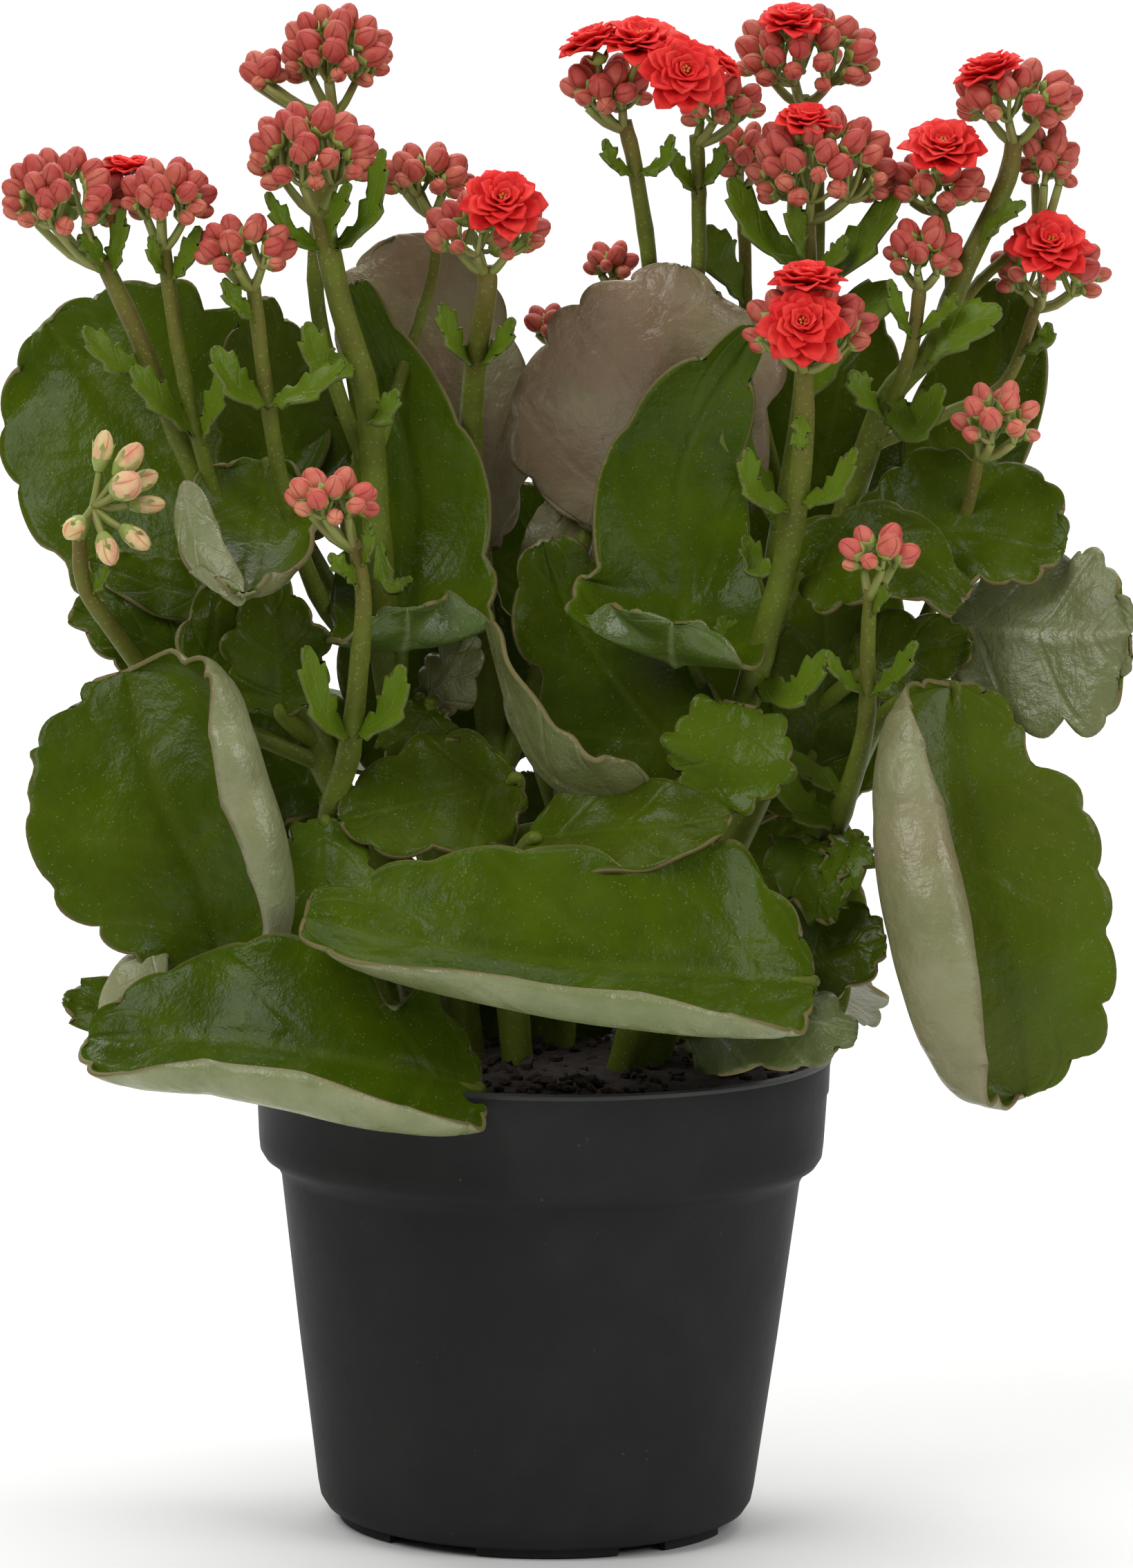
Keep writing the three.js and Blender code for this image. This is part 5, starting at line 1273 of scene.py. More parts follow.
@dataclass(frozen=True)
class BudShape:
    """A closed bud: four petals that meet in seams at its top, on a small green calyx.

    Pinch is the depth of the seams as a share of its radius, and twist is how far they turn round it towards
    its top, in radians.
    """

    sides: int = 16
    rows: int = 8
    pinch: float = 0.065
    twist: float = 0.7

    def bud(self, bm: Mesh, placed: Matrix, tone: float) -> None:
        """Add a bud whose base is at the origin and whose radius is 1.

        Args:
            bm: The mesh, with number layers named tip, seam and tone.
            placed: Where the bud goes.
            tone: How deep its colour is, from 0 to 1.
        """
        tip = bm.verts.layers.float["tip"]
        seam = bm.verts.layers.float["seam"]
        shade = bm.verts.layers.float["tone"]
        made = bmesh.ops.create_uvsphere(bm, u_segments=self.sides, v_segments=self.rows, radius=1.0)["verts"]
        for vert in made:
            x, y, z = vert.co
            high = (z + 1) / 2
            quarter = abs(math.cos(2 * math.atan2(y, x))) ** 4 if math.hypot(x, y) > 0.01 else 1.0
            swell = 1 + 0.12 * (high - 0.5) - self.pinch * quarter * min(high * 1.6, 1.0)
            vert.co = Vector((x * swell, y * swell, high * 2.3 + 0.22 * high ** 5))
            vert.co.rotate(Matrix.Rotation(self.twist * high, 3, "Z"))
            vert[tip] = high
            vert[seam] = quarter if high < 0.97 else 0.9
            vert[shade] = tone
        for face in {face for vert in made for face in vert.link_faces}:
            face.smooth = True
            face.material_index = 0
        bmesh.ops.transform(bm, matrix=placed, verts=made)

    def calyx(self, bm: Mesh, placed: Matrix, material: int) -> None:
        """Add the four small sepals round the base of a bud.

        Args:
            bm: The mesh.
            placed: Where the bud goes.
            material: Number of the green material.
        """
        made = bmesh.ops.create_uvsphere(bm, u_segments=8, v_segments=4, radius=1.0)["verts"]
        for vert in made:
            turn = math.atan2(vert.co.y, vert.co.x)
            sepal = abs(math.cos(2 * turn)) > 0.5
            if vert.co.z > 0.9:
                vert.co = Vector((0, 0, 0.2))
            elif vert.co.z > 0.5:
                reach, top = (1.06, 1.05) if sepal else (0.86, 0.38)
                vert.co = Vector((math.cos(turn) * reach, math.sin(turn) * reach, top))
            else:
                reach = 0.80 if vert.co.z > -0.5 else 0.45
                level = 0.22 if vert.co.z > -0.5 else -0.12
                vert.co = Vector((math.cos(turn) * reach, math.sin(turn) * reach, level))
        for face in {face for vert in made for face in vert.link_faces}:
            face.smooth = True
            face.material_index = material
        bmesh.ops.transform(bm, matrix=placed, verts=made)


BUD_SHAPE = BudShape()


def bud_mesh() -> Mesh:
    """Start a mesh with the layers that the buds write."""
    bm = bmesh.new()
    for name in ("tip", "seam", "tone"):
        bm.verts.layers.float.new(name)
    return bm


def twig(bm: Mesh, start: Vector, end: Vector, thick: float, material: int, bow: float = 0.12) -> None:
    """Add a thin curved stalk.

    Args:
        bm: The mesh.
        start: Its foot.
        end: Its top.
        thick: Its radius at the foot, in metres.
        material: Number of its material.
        bow: How far it bows out, as a share of its length.
    """
    long = (end - start).length
    middle = start.lerp(end, 0.5) + Vector((0, 0, -bow * long))
    curve = Curve([start, middle, end])
    verts = sweep(bm, curve.steps(4), [thick * (1 - 0.25 * i / 4) for i in range(5)], 6)
    for face in {face for vert in verts for face in vert.link_faces}:
        face.material_index = material


@dataclass(frozen=True)
class Head:
    """A head of buds on short branches.

    Attributes:
        name: The solid that it stands for.
        hub: Place where the stalk ends.
        size: Radius of a large bud.
        clusters: Each cluster's place, half-width, half-height and number of buds.
        skin: Finish of the buds.
    """

    name: str
    hub: Place
    size: float
    clusters: Sequence[tuple[Place, float, float, int]]
    skin: BudSkin = BudSkin.CORAL

    def forks(self, middle: Vector, half: float, high: float, count: int) -> list[Vector]:
        """List the spots where a cluster's branches split.

        Args:
            middle: Middle of the cluster, in metres.
            half: Its half-width.
            high: Its half-height.
            count: Number of branches.

        Returns:
            The spots.
        """
        spots = []
        for index in range(count):
            angle = math.tau * index / count + 0.6
            reach = half * 0.42
            offset = Vector((math.cos(angle) * reach, math.sin(angle) * reach, -high * 0.55))
            spots.append(middle + offset * MM)
        return spots

    def build(self, palette: Palette, seed: int) -> None:
        """Make the branches and the buds.

        Args:
            palette: The materials.
            seed: Start of the random draw.
        """
        bm = bud_mesh()
        root = VIEW.point(self.hub)
        for index, (centre, half, high, count) in enumerate(self.clusters):
            draw = random.Random(seed + index)
            middle = VIEW.point(centre)
            forks = self.forks(middle, half, high, 5 if count > 10 else 3)
            for fork in forks:
                twig(bm, root - Vector((0, 0, 0.0008)), fork, 1.15 * MM, 2, 0.1)
            shown = round(count * FULLNESS)
            for step in range(shown):
                rise = 1 - 1.6 * (step + 0.5) / shown
                angle = step * GOLDEN_TURN + draw.random() * 0.5
                ring = math.sqrt(max(1 - rise * rise, 0.0))
                large = rise > 0
                radius = self.size * (draw.uniform(0.80, 1.02) if large else draw.uniform(0.55, 0.80))
                reach = 1 - radius / max(half, high) * 0.7
                spread = (math.cos(angle) * ring * half, math.sin(angle) * ring * half * 0.9, rise * high)
                out = Vector(spread) * reach
                lean = (out.normalized() + Vector((0, 0, 0.35))).normalized()
                base = middle + out * MM - lean * radius * 1.6 * MM
                tone = draw.uniform(0.55, 1.0) if large else draw.uniform(0.15, 0.7)
                placed = frame_at(base, lean, radius * MM, draw.uniform(0, 3.14))
                BUD_SHAPE.bud(bm, placed, tone)
                BUD_SHAPE.calyx(bm, placed, 1)
                nearest = min(forks, key=lambda fork: (fork - base).length)
                twig(bm, nearest, base + lean * 0.0004, 0.62 * MM, 2, 0.14)
        skin = getattr(palette, self.skin.value)
        finished(f"{self.name}_buds", bm, [skin, palette.calyx, palette.twig], [self.name])


@dataclass(frozen=True)
class PaleHead:
    """The young head, whose long pale buds have just begun to colour.

    Its stalk ends at the hub and splits at the fork. Each bud has its place, length and radius.
    """

    name: str = "head_pale_left"
    hub: Place = (-97, 213, 12)
    fork: Place = (-94, 219, 14)
    buds: Sequence[tuple[Place, float, float]] = (
        ((-92, 231, 14), 8, 2.2), ((-86.5, 229, 16), 8, 2.6), ((-87, 223.5, 20), 7, 3.2),
        ((-83.5, 224.5, 12), 6.5, 2.2), ((-82.5, 219.5, 14), 7, 2), ((-98, 214.5, 18), 5.5, 2.3),
        ((-91, 210, 20), 7, 2.4), ((-85, 212.5, 18), 7, 2.2),
    )

    def build(self, palette: Palette) -> None:
        """Make the branches and the buds.

        Args:
            palette: The materials.
        """
        bm = bud_mesh()
        draw = random.Random(61)
        root = VIEW.point(self.hub)
        fork = VIEW.point(self.fork)
        twig(bm, root - Vector((0, 0, 0.0006)), fork, 1.4 * MM, 2, 0.0)
        for place, long, radius in self.buds:
            spot = VIEW.point(place)
            axis = (spot - fork).normalized()
            base = spot - axis * long / 2 * MM
            placed = frame_at(base, axis, radius * MM, draw.uniform(0, 3.1))
            placed = placed @ Matrix.Diagonal((1, 1, long / (2.5 * radius), 1))
            BUD_SHAPE.bud(bm, placed, 0.95 if radius > 3 else draw.uniform(0.1, 0.75))
            BUD_SHAPE.calyx(bm, placed @ Matrix.Diagonal((1.06, 1.06, 1.7, 1)), 1)
            twig(bm, fork, base + axis * 0.0005, 0.9 * MM, 2, 0.05)
        skins = [palette.pale_bud, palette.calyx, palette.twig]
        finished(f"{self.name}_buds", bm, skins, [self.name])


@dataclass(frozen=True)
class PetalLayer:
    """One layer of an open flower's petals, sized against the flower's radius.

    A petal is long, and wide from its middle to its edge. It leans away from the flower's axis by start at
    its base and by end at its tip, in degrees, and foot is the height of its base.
    """

    count: int
    long: float
    wide: float
    start: float
    end: float
    foot: float


PETAL_LAYERS = (
    PetalLayer(8, 1.04, 0.31, 60, 98, -0.06),
    PetalLayer(8, 0.95, 0.30, 50, 86, 0.0),
    PetalLayer(7, 0.84, 0.28, 38, 74, 0.05),
    PetalLayer(6, 0.70, 0.25, 27, 60, 0.09),
    PetalLayer(5, 0.56, 0.21, 16, 46, 0.12),
    PetalLayer(4, 0.42, 0.16, 8, 30, 0.13),
)


@dataclass(frozen=True)
class Flower:
    """An open double flower: its place, the way it looks, its radius, and where its stalk starts."""

    centre: Place
    face: Sequence[float]
    radius: float
    stalk: Place

    def petal(self, bm: Mesh, layer: PetalLayer, placed: Matrix, tone: float, twist: float) -> None:
        """Add one pointed petal.

        Args:
            bm: The mesh, with number layers named tip and tone.
            layer: The layer that the petal is in.
            placed: Where the flower stands, turned to the petal.
            tone: How pale its tip is.
            twist: How far its edge is waved.
        """
        tip = bm.verts.layers.float["tip"]
        shade = bm.verts.layers.float["tone"]
        made = bmesh.ops.create_grid(bm, x_segments=4, y_segments=6, size=1.0)["verts"]
        for vert in made:
            across, along = vert.co.x, (vert.co.y + 1) / 2
            out, up, steps = 0.05, layer.foot, 8
            for step in range(steps):
                part = (step + 0.5) / steps * along
                lean = math.radians(layer.start + (layer.end - layer.start) * part)
                out += math.sin(lean) * layer.long * along / steps
                up += math.cos(lean) * layer.long * along / steps
            round_end = math.sqrt(max(1 - (max(along - 0.5, 0.0) / 0.5) ** 2.4, 0.0))
            wide = layer.wide * (0.35 + 0.65 * min(along / 0.5, 1.0)) * max(round_end, 0.04)
            lean = math.radians(layer.start + (layer.end - layer.start) * along)
            cup = (0.30 * across ** 2 + twist * across * along) * wide
            out -= cup * math.cos(lean)
            up += cup * math.sin(lean)
            vert.co = Vector((out, across * wide, up))
            vert[tip] = along
            vert[shade] = tone
        for face in {face for vert in made for face in vert.link_faces}:
            face.smooth = True
            face.material_index = 0
        bmesh.ops.transform(bm, matrix=placed, verts=made)

    def build(self, bm: Mesh, draw: random.Random) -> None:
        """Add the flower's petals, layer by layer.

        Args:
            bm: The mesh.
            draw: The random draw.
        """
        axis = VIEW.heading(self.face)
        placed = frame_at(VIEW.point(self.centre), axis, self.radius * MM)
        for number, layer in enumerate(PETAL_LAYERS):
            for index in range(layer.count):
                turn = math.tau * (index + 0.5 * (number % 2)) / layer.count + draw.uniform(-0.12, 0.12)
                size = draw.uniform(0.92, 1.06)
                lean = Matrix.Rotation(draw.uniform(-0.09, 0.09), 4, "Y")
                stand = placed @ Matrix.Rotation(turn, 4, "Z") @ lean @ Matrix.Scale(size, 4)
                self.petal(bm, layer, stand, draw.uniform(0.2, 1.0), draw.uniform(-0.35, 0.35))


@dataclass(frozen=True)
class Bloom:
    """Flowers that touch, which one solid stands for."""

    name: str
    flowers: Sequence[Flower]

    def build(self, palette: Palette, seed: int) -> None:
        """Make the petals, the hearts and the cups beneath.

        Args:
            palette: The materials.
            seed: Start of the random draw.
        """
        draw = random.Random(seed)
        bm = bud_mesh()
        for flower in self.flowers:
            flower.build(bm, draw)
        piece = finished(f"{self.name}_petals", bm, [palette.petal], [self.name])
        thicken(piece, 0.35)
        bm = bud_mesh()
        for flower in self.flowers:
            axis = VIEW.heading(flower.face)
            middle = VIEW.point(flower.centre)
            placed = frame_at(middle - axis * flower.radius * 0.42 * MM, axis, flower.radius * 0.34 * MM)
            BUD_SHAPE.calyx(bm, placed, 1)
            twig(bm, VIEW.point(flower.stalk), middle - axis * flower.radius * 0.2 * MM, 0.9 * MM, 2)
            for index in range(5):
                turn = math.tau * index / 5
                side = axis.orthogonal().normalized()
                side.rotate(Matrix.Rotation(turn, 3, axis))
                top = middle + axis * flower.radius * 0.46 * MM + side * flower.radius * 0.07 * MM
                twig(bm, middle, top, 0.35 * MM, 3, 0.0)
        skins = [palette.petal, palette.calyx, palette.twig, palette.heart]
        finished(f"{self.name}_hearts", bm, skins)


LEAVES = (
    Leaf("leaf_back_left", "shoot_left", own=True,
        rib=((-60, 212, -16), (-72, 224, -22), (-90, 242, -30), (-104, 257, -36)),
        face=((0.2, 0.1, 1), (-0.1, 0.1, 1)), wide=(33, 36), roll=((20, 8, 15), (20, 10, 25)), teeth=8,
        stalk=((-50, 198, -12),), tint=Tint(0.1, 0.15, 0.5), dips=((0, 0.45, 3, 0.03), (1, 0.6, 3.5, 0.04))),
    Leaf("leaf_behind_left_stalks", "shoot_rose_left",
        rib=((-50, 212, -20), (-55, 232, -23), (-60, 262, -26)), face=((0.1, 0, 1),) * 2, wide=(14, 14),
        roll=((20, 15, 10),) * 2, teeth=7, stalk=((-38, 190, -12),)),
    Leaf("leaf_cup_left", "shoot_left", own=True,
        rib=((-58, 228, -8), (-60, 213, 4), (-62, 202, 22), (-63, 201, 36)),
        face=((0.1, 0.7, 0.8), (0, 1, 0.2)), wide=(16, 17), roll=((50, 75, 60), (40, 55, 60)),
        stalk=((-47, 200, -8), (-56, 212, -12)), tint=Tint(0.3, 0.15, 0.35), dips=((0, 0.6, 3, 0.04),),
        flap=Blade(rib=((-75, 224, 12), (-72, 211, 26), (-63, 199, 34)), face=((0.2, 0, -1), (0.2, 0, -1)),
            wide=(4, 5), roll=((20, 25, 20), (20, 25, 20)), belly=0.1)),
    Leaf("leaf_tall_left", "shoot_rose_left", own=True,
        rib=((-29, 198, 24), (-30, 190, 14), (-29, 202, -8), (-29, 230, -14), (-41, 265, -12)),
        face=((0, 0.9, 0.5), (-0.2, 0, 1)), wide=(15, 19), roll=((30, 25, 20), (30, 30, 20)), teeth=7,
        belly=0.3, stalk=((-31, 176, -6),), end=(-30, 192, 0), tint=Tint(0, 0.25, 1)),
    Leaf("leaf_brown_left", "shoot_centre", own=True,
        rib=((-13, 210, -26), (-17, 232, -30), (-26, 255, -34), (-31, 275, -36)),
        face=((0.1, 0.2, -1), (0.1, 0.1, -1)), wide=(17, 17), roll=((20, 20, 15),) * 2, teeth=7, notch=1.3,
        belly=-0.3, stalk=((-8, 190, -10),), tint=Tint(1, 0, 0)),
    Leaf("leaf_funnel_back", "shoot_centre", own=True,
        rib=((16, 212, -14), (18, 228, -10), (24, 252, -6), (27, 269, -10)),
        face=((0.3, 0.1, -1), (0, 0.2, -1)), wide=(26, 27), roll=((25, 20, 20),) * 2, teeth=7, notch=1.6,
        stalk=((14, 188, -10),), tint=Tint(0.95, 0, 0),
        dips=((1, 0.80, 5, 0.03), (0, 0.78, 3.5, 0.03), (0, 0.6, -2.5, 0.05))),
    Leaf("leaf_funnel", "shoot_right_inner", own=True,
        rib=((26, 195, 32), (27, 187, 22), (29, 200, 2), (29, 228, -2), (43, 256, 4)),
        face=((0, 0.9, 0.5), (0.2, 0, 1)), wide=(23, 16), roll=((30, 30, 20), (30, 25, 20)), teeth=7,
        notch=1.3, belly=0.4, stalk=((22, 172, -4),), end=(27, 190, 12), tint=Tint(0, 0.1, 1)),
    Leaf("leaf_inner_pink", "shoot_back", rib=((3, 196, -22), (2, 208, -22), (2, 221, -22)),
        face=((0, 0.1, -1),) * 2, wide=(8, 8), roll=((15, 15, 15),) * 2, teeth=0, stalk=((4, 180, -14),),
        tint=Tint(0.8, 0, 0)),
    Leaf("leaf_dark_centre", "shoot_centre", own=True,
        rib=((30, 164, 4), (18, 178, 2), (6, 195, -2), (-1, 212, -5)), face=((-0.3, 0.1, 1), (0, 0, 1)),
        wide=(15, 16), roll=((25, 20, 20),) * 2, teeth=5, notch=1, stalk=((10, 152, -6), (24, 158, 0)),
        dips=((0, 0.55, 3, 0.03), (1, 0.6, 3, 0.03))),
    Leaf("leaf_folded_centre", "shoot_centre", own=True,
        rib=((22, 160, 30), (10, 158, 30), (-3, 168, 24), (-12, 195, 14)),
        face=((0.2, 0.8, -0.4), (0.9, 0.3, -0.2)), wide=(16, 7), roll=((20, 20, 15), (15, 20, 15)), teeth=0,
        stalk=((4, 140, -4),), end=(8, 158, 28), tint=Tint(0.25, 0, 0.8)),
    Leaf("leaf_middle_flat", "shoot_centre",
        rib=((-4, 150, 32), (10, 152, 38), (24, 153, 42), (38, 155, 42)), face=((0, 0.7, 0.8),) * 2,
        wide=(13, 13), roll=((20, 20, 10), (10, 10, 10)), teeth=0, stalk=((-6, 138, -4),)),
    Leaf("leaf_front_boat", "shoot_front_right", own=True,
        rib=((55, 121, 50), (30, 123, 57), (-8, 126, 62), (-50, 134, 57)),
        face=((0, 0.35, 0.94), (0, 0.6, 0.8)), wide=(29, 26), roll=((50, 172, 60), (25, 15, 20)), teeth=8,
        notch=1.3, belly=0.1, fold=(2.2, 1.2), stalk=((16, 122, 12), (36, 124, 40)), tint=Tint(0, 0.1, 0.15),
        dips=((1, 0.46, 5.5, 0.035), (1, 0.32, -4, 0.07), (1, 0.83, 2, 0.03))),
    Leaf("leaf_bright_heart", "shoot_front_right",
        rib=((40, 178, 24), (38, 170, 28), (36, 163, 30), (34, 157, 30)), face=((0, 0.3, 1), (0, 0.5, 1)),
        wide=(13, 12), roll=((10, 10, 20),) * 2, teeth=7, notch=1.3, belly=0.2, stalk=((40, 168, 10),),
        end=(40, 175, 25), tint=Tint(0.1, 0.4)),
    Leaf("leaf_lower_left", "shoot_low_left", own=True,
        rib=((-66, 117, 26), (-70, 138, 30), (-80, 160, 28), (-87, 185, 18)),
        face=((0.1, 0.1, 1), (-0.1, 0.2, 1)), wide=(26, 40), roll=((40, 10, 15), (150, 225, 100)), teeth=9,
        notch=1.6, belly=-0.32, fold=(1.2, 2), stalk=((-40, 112, 8), (-56, 108, 18)),
        tint=Tint(0.15, 0.1, 0), dips=((0, 0.70, 3.5, 0.03), (0, 0.52, -3, 0.06), (0, 0.86, 3, 0.025)),
        flap=Blade(rib=((-80, 129, 31), (-86, 120, 37), (-90, 108, 36)), face=((0.3, 0, -1), (0.3, 0, -1)),
            wide=(5.5, 7), roll=((20, 25, 20), (20, 25, 20)), belly=-0.3)),
    Leaf("leaf_over_rim_left", "shoot_low_left", own=True,
        rib=((-14, 99, 54), (-36, 104, 63), (-66, 109, 59), (-95, 109, 46)), face=((0, 0.5, 0.87),) * 2,
        wide=(31, 21), roll=((60, 170, 70), (25, 20, 20)), teeth=8, notch=1.3, belly=0.1, fold=(2.2, 1.2),
        stalk=((-30, 118, 10), (-32, 110, 38)), tint=Tint(0, 0, 0),
        dips=((1, 0.38, 9, 0.05), (1, 0.56, -2.5, 0.08), (0, 0.60, 2.5, 0.02))),
    Leaf("leaf_serrated_low_left", "shoot_low_left", rib=((-72, 108, 10), (-84, 113, 10), (-100, 117, 8)),
        face=((0.1, 0.3, 1),) * 2, wide=(9, 10), roll=((10, 10, 10),) * 2, notch=1.4,
        stalk=((-46, 106, 4),)),
    Leaf("leaf_tip_far_left", "shoot_left", rib=((-74, 134, 10), (-86, 137, 9), (-99, 140, 8)),
        face=((0, -0.4, -0.9),) * 2, wide=(4, 4), roll=((20, 20, 20),) * 2, teeth=4, notch=0.6,
        stalk=((-60, 135, 0),)),
    Leaf("leaf_right_hanging", "shoot_low_right", own=True,
        rib=((84, 182, 20), (86, 157, 30), (91, 130, 38), (99, 97, 36)), face=((0.1, 0.3, 1), (0.1, 0.1, 1)),
        wide=(26, 50), roll=((20, 5, 10), (110, 215, 150)), teeth=9, notch=1.6, belly=-0.2, fold=(1.2, 1.6),
        stalk=((56, 160, 6), (70, 176, 12)), tint=Tint(0.5, 0.45, 0.05),
        dips=((0, 0.29, 4, 0.05), (1, 0.42, 3, 0.02), (1, 0.58, 3, 0.02), (1, 0.74, 3, 0.02))),
    Leaf("leaf_far_right", "shoot_right_outer", own=True,
        rib=((82, 194, 4), (96, 193, 10), (109, 192, 16), (121, 193, 22)),
        face=((0.2, -0.3, -1), (0.2, -0.2, -1)), wide=(21, 19), roll=((25, 15, 10),) * 2, teeth=8, notch=1.4,
        belly=-0.1, stalk=((60, 178, 2), (72, 188, 2)), tint=Tint(0.15, 0.3, 0.6),
        dips=((1, 0.55, 3, 0.03), (0, 0.6, 3, 0.03))),
    Leaf("leaf_right_upper", "shoot_right_outer", own=True,
        rib=((64, 212, 2), (76, 214, 6), (92, 214, 8), (107, 210, 10)), face=((-0.1, 0.3, 1), (0, 0.5, 1)),
        wide=(17, 14), roll=((15, 10, 10), (15, 25, 30)), teeth=8, belly=-0.1, stalk=((56, 196, -4),),
        tint=Tint(0.15, 0.1, 0.5), dips=((0, 0.55, 4, 0.03), (1, 0.5, 3.5, 0.03))),
    Leaf("leaf_right_middle", "shoot_front_right",
        rib=((52, 204, 12), (62, 208, 16), (74, 208, 20), (86, 199, 22)), face=((0, 0.5, 1),) * 2,
        wide=(11, 11), roll=((15, 25, 20), (15, 20, 20)), teeth=5, stalk=((48, 196, 4),)),
    Leaf("leaf_dark_back_right", "shoot_right_outer",
        rib=((84, 216, -14), (88, 232, -18), (94, 250, -22), (93, 266, -24)), face=((-0.2, 0, 1),) * 2,
        wide=(14, 12), roll=((15, 15, 15),) * 2, teeth=0, stalk=((68, 200, -6),)),
    Leaf("leaf_behind_right_stalks", "shoot_right_inner",
        rib=((48, 206, -26), (58, 232, -30), (64, 262, -34)), face=((-0.1, 0, 1),) * 2, wide=(17, 17),
        roll=((20, 15, 10),) * 2, stalk=((44, 188, -10),)),
    Leaf("leaf_low_right_dark", "shoot_right_outer", rib=((64, 184, 6), (75, 189, 8), (88, 191, 9)),
        face=((0, 0.2, 1),) * 2, wide=(8, 9), roll=((15, 15, 15),) * 2, teeth=5, stalk=((52, 170, 0),)),
    Leaf("leaf_round_dark", "shoot_right_outer",
        rib=((54, 166, 2), (57, 180, 2), (58, 194, 0), (56, 206, -2)), wide=(11, 12),
        roll=((15, 15, 20),) * 2, teeth=0, stalk=((46, 160, 0),)),
    Leaf("leaf_low_right", "shoot_low_right",
        rib=((30, 110, 32), (42, 112, 46), (53, 112, 52), (64, 110, 52)),
        face=((0, -0.5, -0.9), (0, -0.6, -0.8)), wide=(11, 11), roll=((20, 15, 10),) * 2, notch=1.3,
        stalk=((34, 106, 12),), tint=Tint(0.1, 0.2)),
    Leaf("leaf_dark_low_right", "shoot_low_right", rib=((46, 122, 20), (56, 127, 24), (70, 130, 26)),
        face=((0, 0.5, 0.9),) * 2, wide=(12, 14), roll=((15, 15, 10),) * 2, notch=1.4,
        stalk=((40, 114, 10),)),
    Leaf("leaf_scalloped_left", "shoot_left", rib=((-55, 176, 8), (-56, 188, 10), (-57, 204, 8)),
        face=((0, 0.2, 1),) * 2, wide=(10, 10), notch=1.4, stalk=((-48, 168, 0),)),
    Leaf("leaf_wavy_left", "shoot_left", rib=((-70, 176, 10), (-70, 188, 8), (-68, 206, 4)),
        face=((0.5, 0, 0.9), (0.3, 0, 0.9)), wide=(7, 7), roll=((20, 20, 20),) * 2, stalk=((-62, 160, 2),)),
    Leaf("leaf_left_stalk_back", "shoot_left", rib=((-68, 200, -6), (-80, 203, -8), (-95, 208, -10)),
        face=((0, 0.4, 1),) * 2, wide=(7, 6), roll=((15, 15, 15),) * 2, teeth=0, stalk=((-56, 186, -6),)),
    Leaf("leaf_left_stalk_low", "shoot_left", rib=((-72, 186, -4), (-84, 192, -4), (-98, 198, -6)),
        face=((0, 0.4, 1),) * 2, wide=(8, 7), roll=((10, 10, 10),) * 2, teeth=5, stalk=((-58, 172, -4),)),
    Leaf("leaf_glossy_low", "shoot_centre",
        rib=((-6, 162, 12), (-18, 160, 18), (-30, 157, 22), (-43, 154, 24)),
        face=((0.1, 0.5, 1), (0, 0.6, 1)), wide=(14, 13), roll=((15, 10, 10), (15, 15, 10)), teeth=5,
        stalk=((-14, 146, -4),)),
    Leaf("leaf_serrated_centre_left", "shoot_rose_left", rib=((-24, 178, 6), (-27, 172, 10), (-30, 161, 14)),
        face=((0, 0.3, 1),) * 2, wide=(8, 8), roll=((10, 10, 10),) * 2, notch=1.3, stalk=((-20, 160, -4),)),
    Leaf("leaf_curled_centre_left", "shoot_rose_left", rib=((-26, 178, -2), (-20, 184, 2), (-16, 193, 4)),
        face=((0.5, 0.1, -0.9),) * 2, wide=(6, 6), roll=((30, 30, 30),) * 2, teeth=5,
        stalk=((-28, 160, -5),)),
    Leaf("leaf_left_heart", "shoot_low_left",
        rib=((-46, 154, 22), (-46, 146, 27), (-47, 136, 30), (-46, 126, 30)),
        face=((0, 0.4, 1), (0, 0.3, 1)), wide=(9, 9), roll=((10, 10, 20),) * 2, teeth=7, notch=1.3,
        belly=0.2, stalk=((-46, 150, 17),), tint=Tint(0.1, 0.5)),
    Leaf("leaf_serrated_right_a", "shoot_low_right", rib=((54, 150, 20), (54, 144, 26), (59, 133, 30)),
        face=((0.2, 0.4, 1), (0, 0.4, 1)), wide=(8, 8), roll=((20, 20, 20), (10, 10, 10)), notch=1.4,
        stalk=((57, 148, 12),), tint=Tint(0.1, 0.2)),
    Leaf("leaf_serrated_right_b", "shoot_low_right", rib=((64, 151, 20), (62, 145, 26), (58, 137, 28)),
        face=((0, 0.4, 1),) * 2, wide=(5, 5), roll=((15, 15, 15), (10, 10, 10)), stalk=((59, 147, 10),),
        tint=Tint(0.1, 0.6)),
    Leaf("leaf_back_wide_left", "shoot_rose_left",
        rib=((-26, 160, -26), (-40, 170, -44), (-60, 178, -62), (-78, 180, -76)),
        face=((0.2, 0.9, 0.2), (-0.3, 0.9, 0)), wide=(20, 20), roll=((15, 10, 10),) * 2, notch=1.4,
        stalk=((-10, 140, -14),)),
    Leaf("leaf_back_wide_right", "shoot_right_inner",
        rib=((32, 150, -26), (46, 162, -46), (64, 170, -64), (80, 170, -80)),
        face=((-0.2, 0.9, 0.2), (0.3, 0.9, 0)), wide=(20, 20), roll=((15, 10, 10),) * 2, notch=1.4,
        stalk=((14, 136, -12),)),
    Leaf("leaf_back_low", "shoot_back",
        rib=((-4, 122, -30), (-8, 130, -49), (-12, 128, -69), (-14, 118, -84)),
        face=((0, 0.9, -0.1), (0, 0.9, -0.5)), wide=(22, 22), roll=((15, 10, 10),) * 2, notch=1.4,
        stalk=((0, 112, -18),)),
    Leaf("leaf_back_low_left", "shoot_left",
        rib=((-32, 116, -24), (-50, 124, -40), (-70, 122, -54), (-88, 110, -60)),
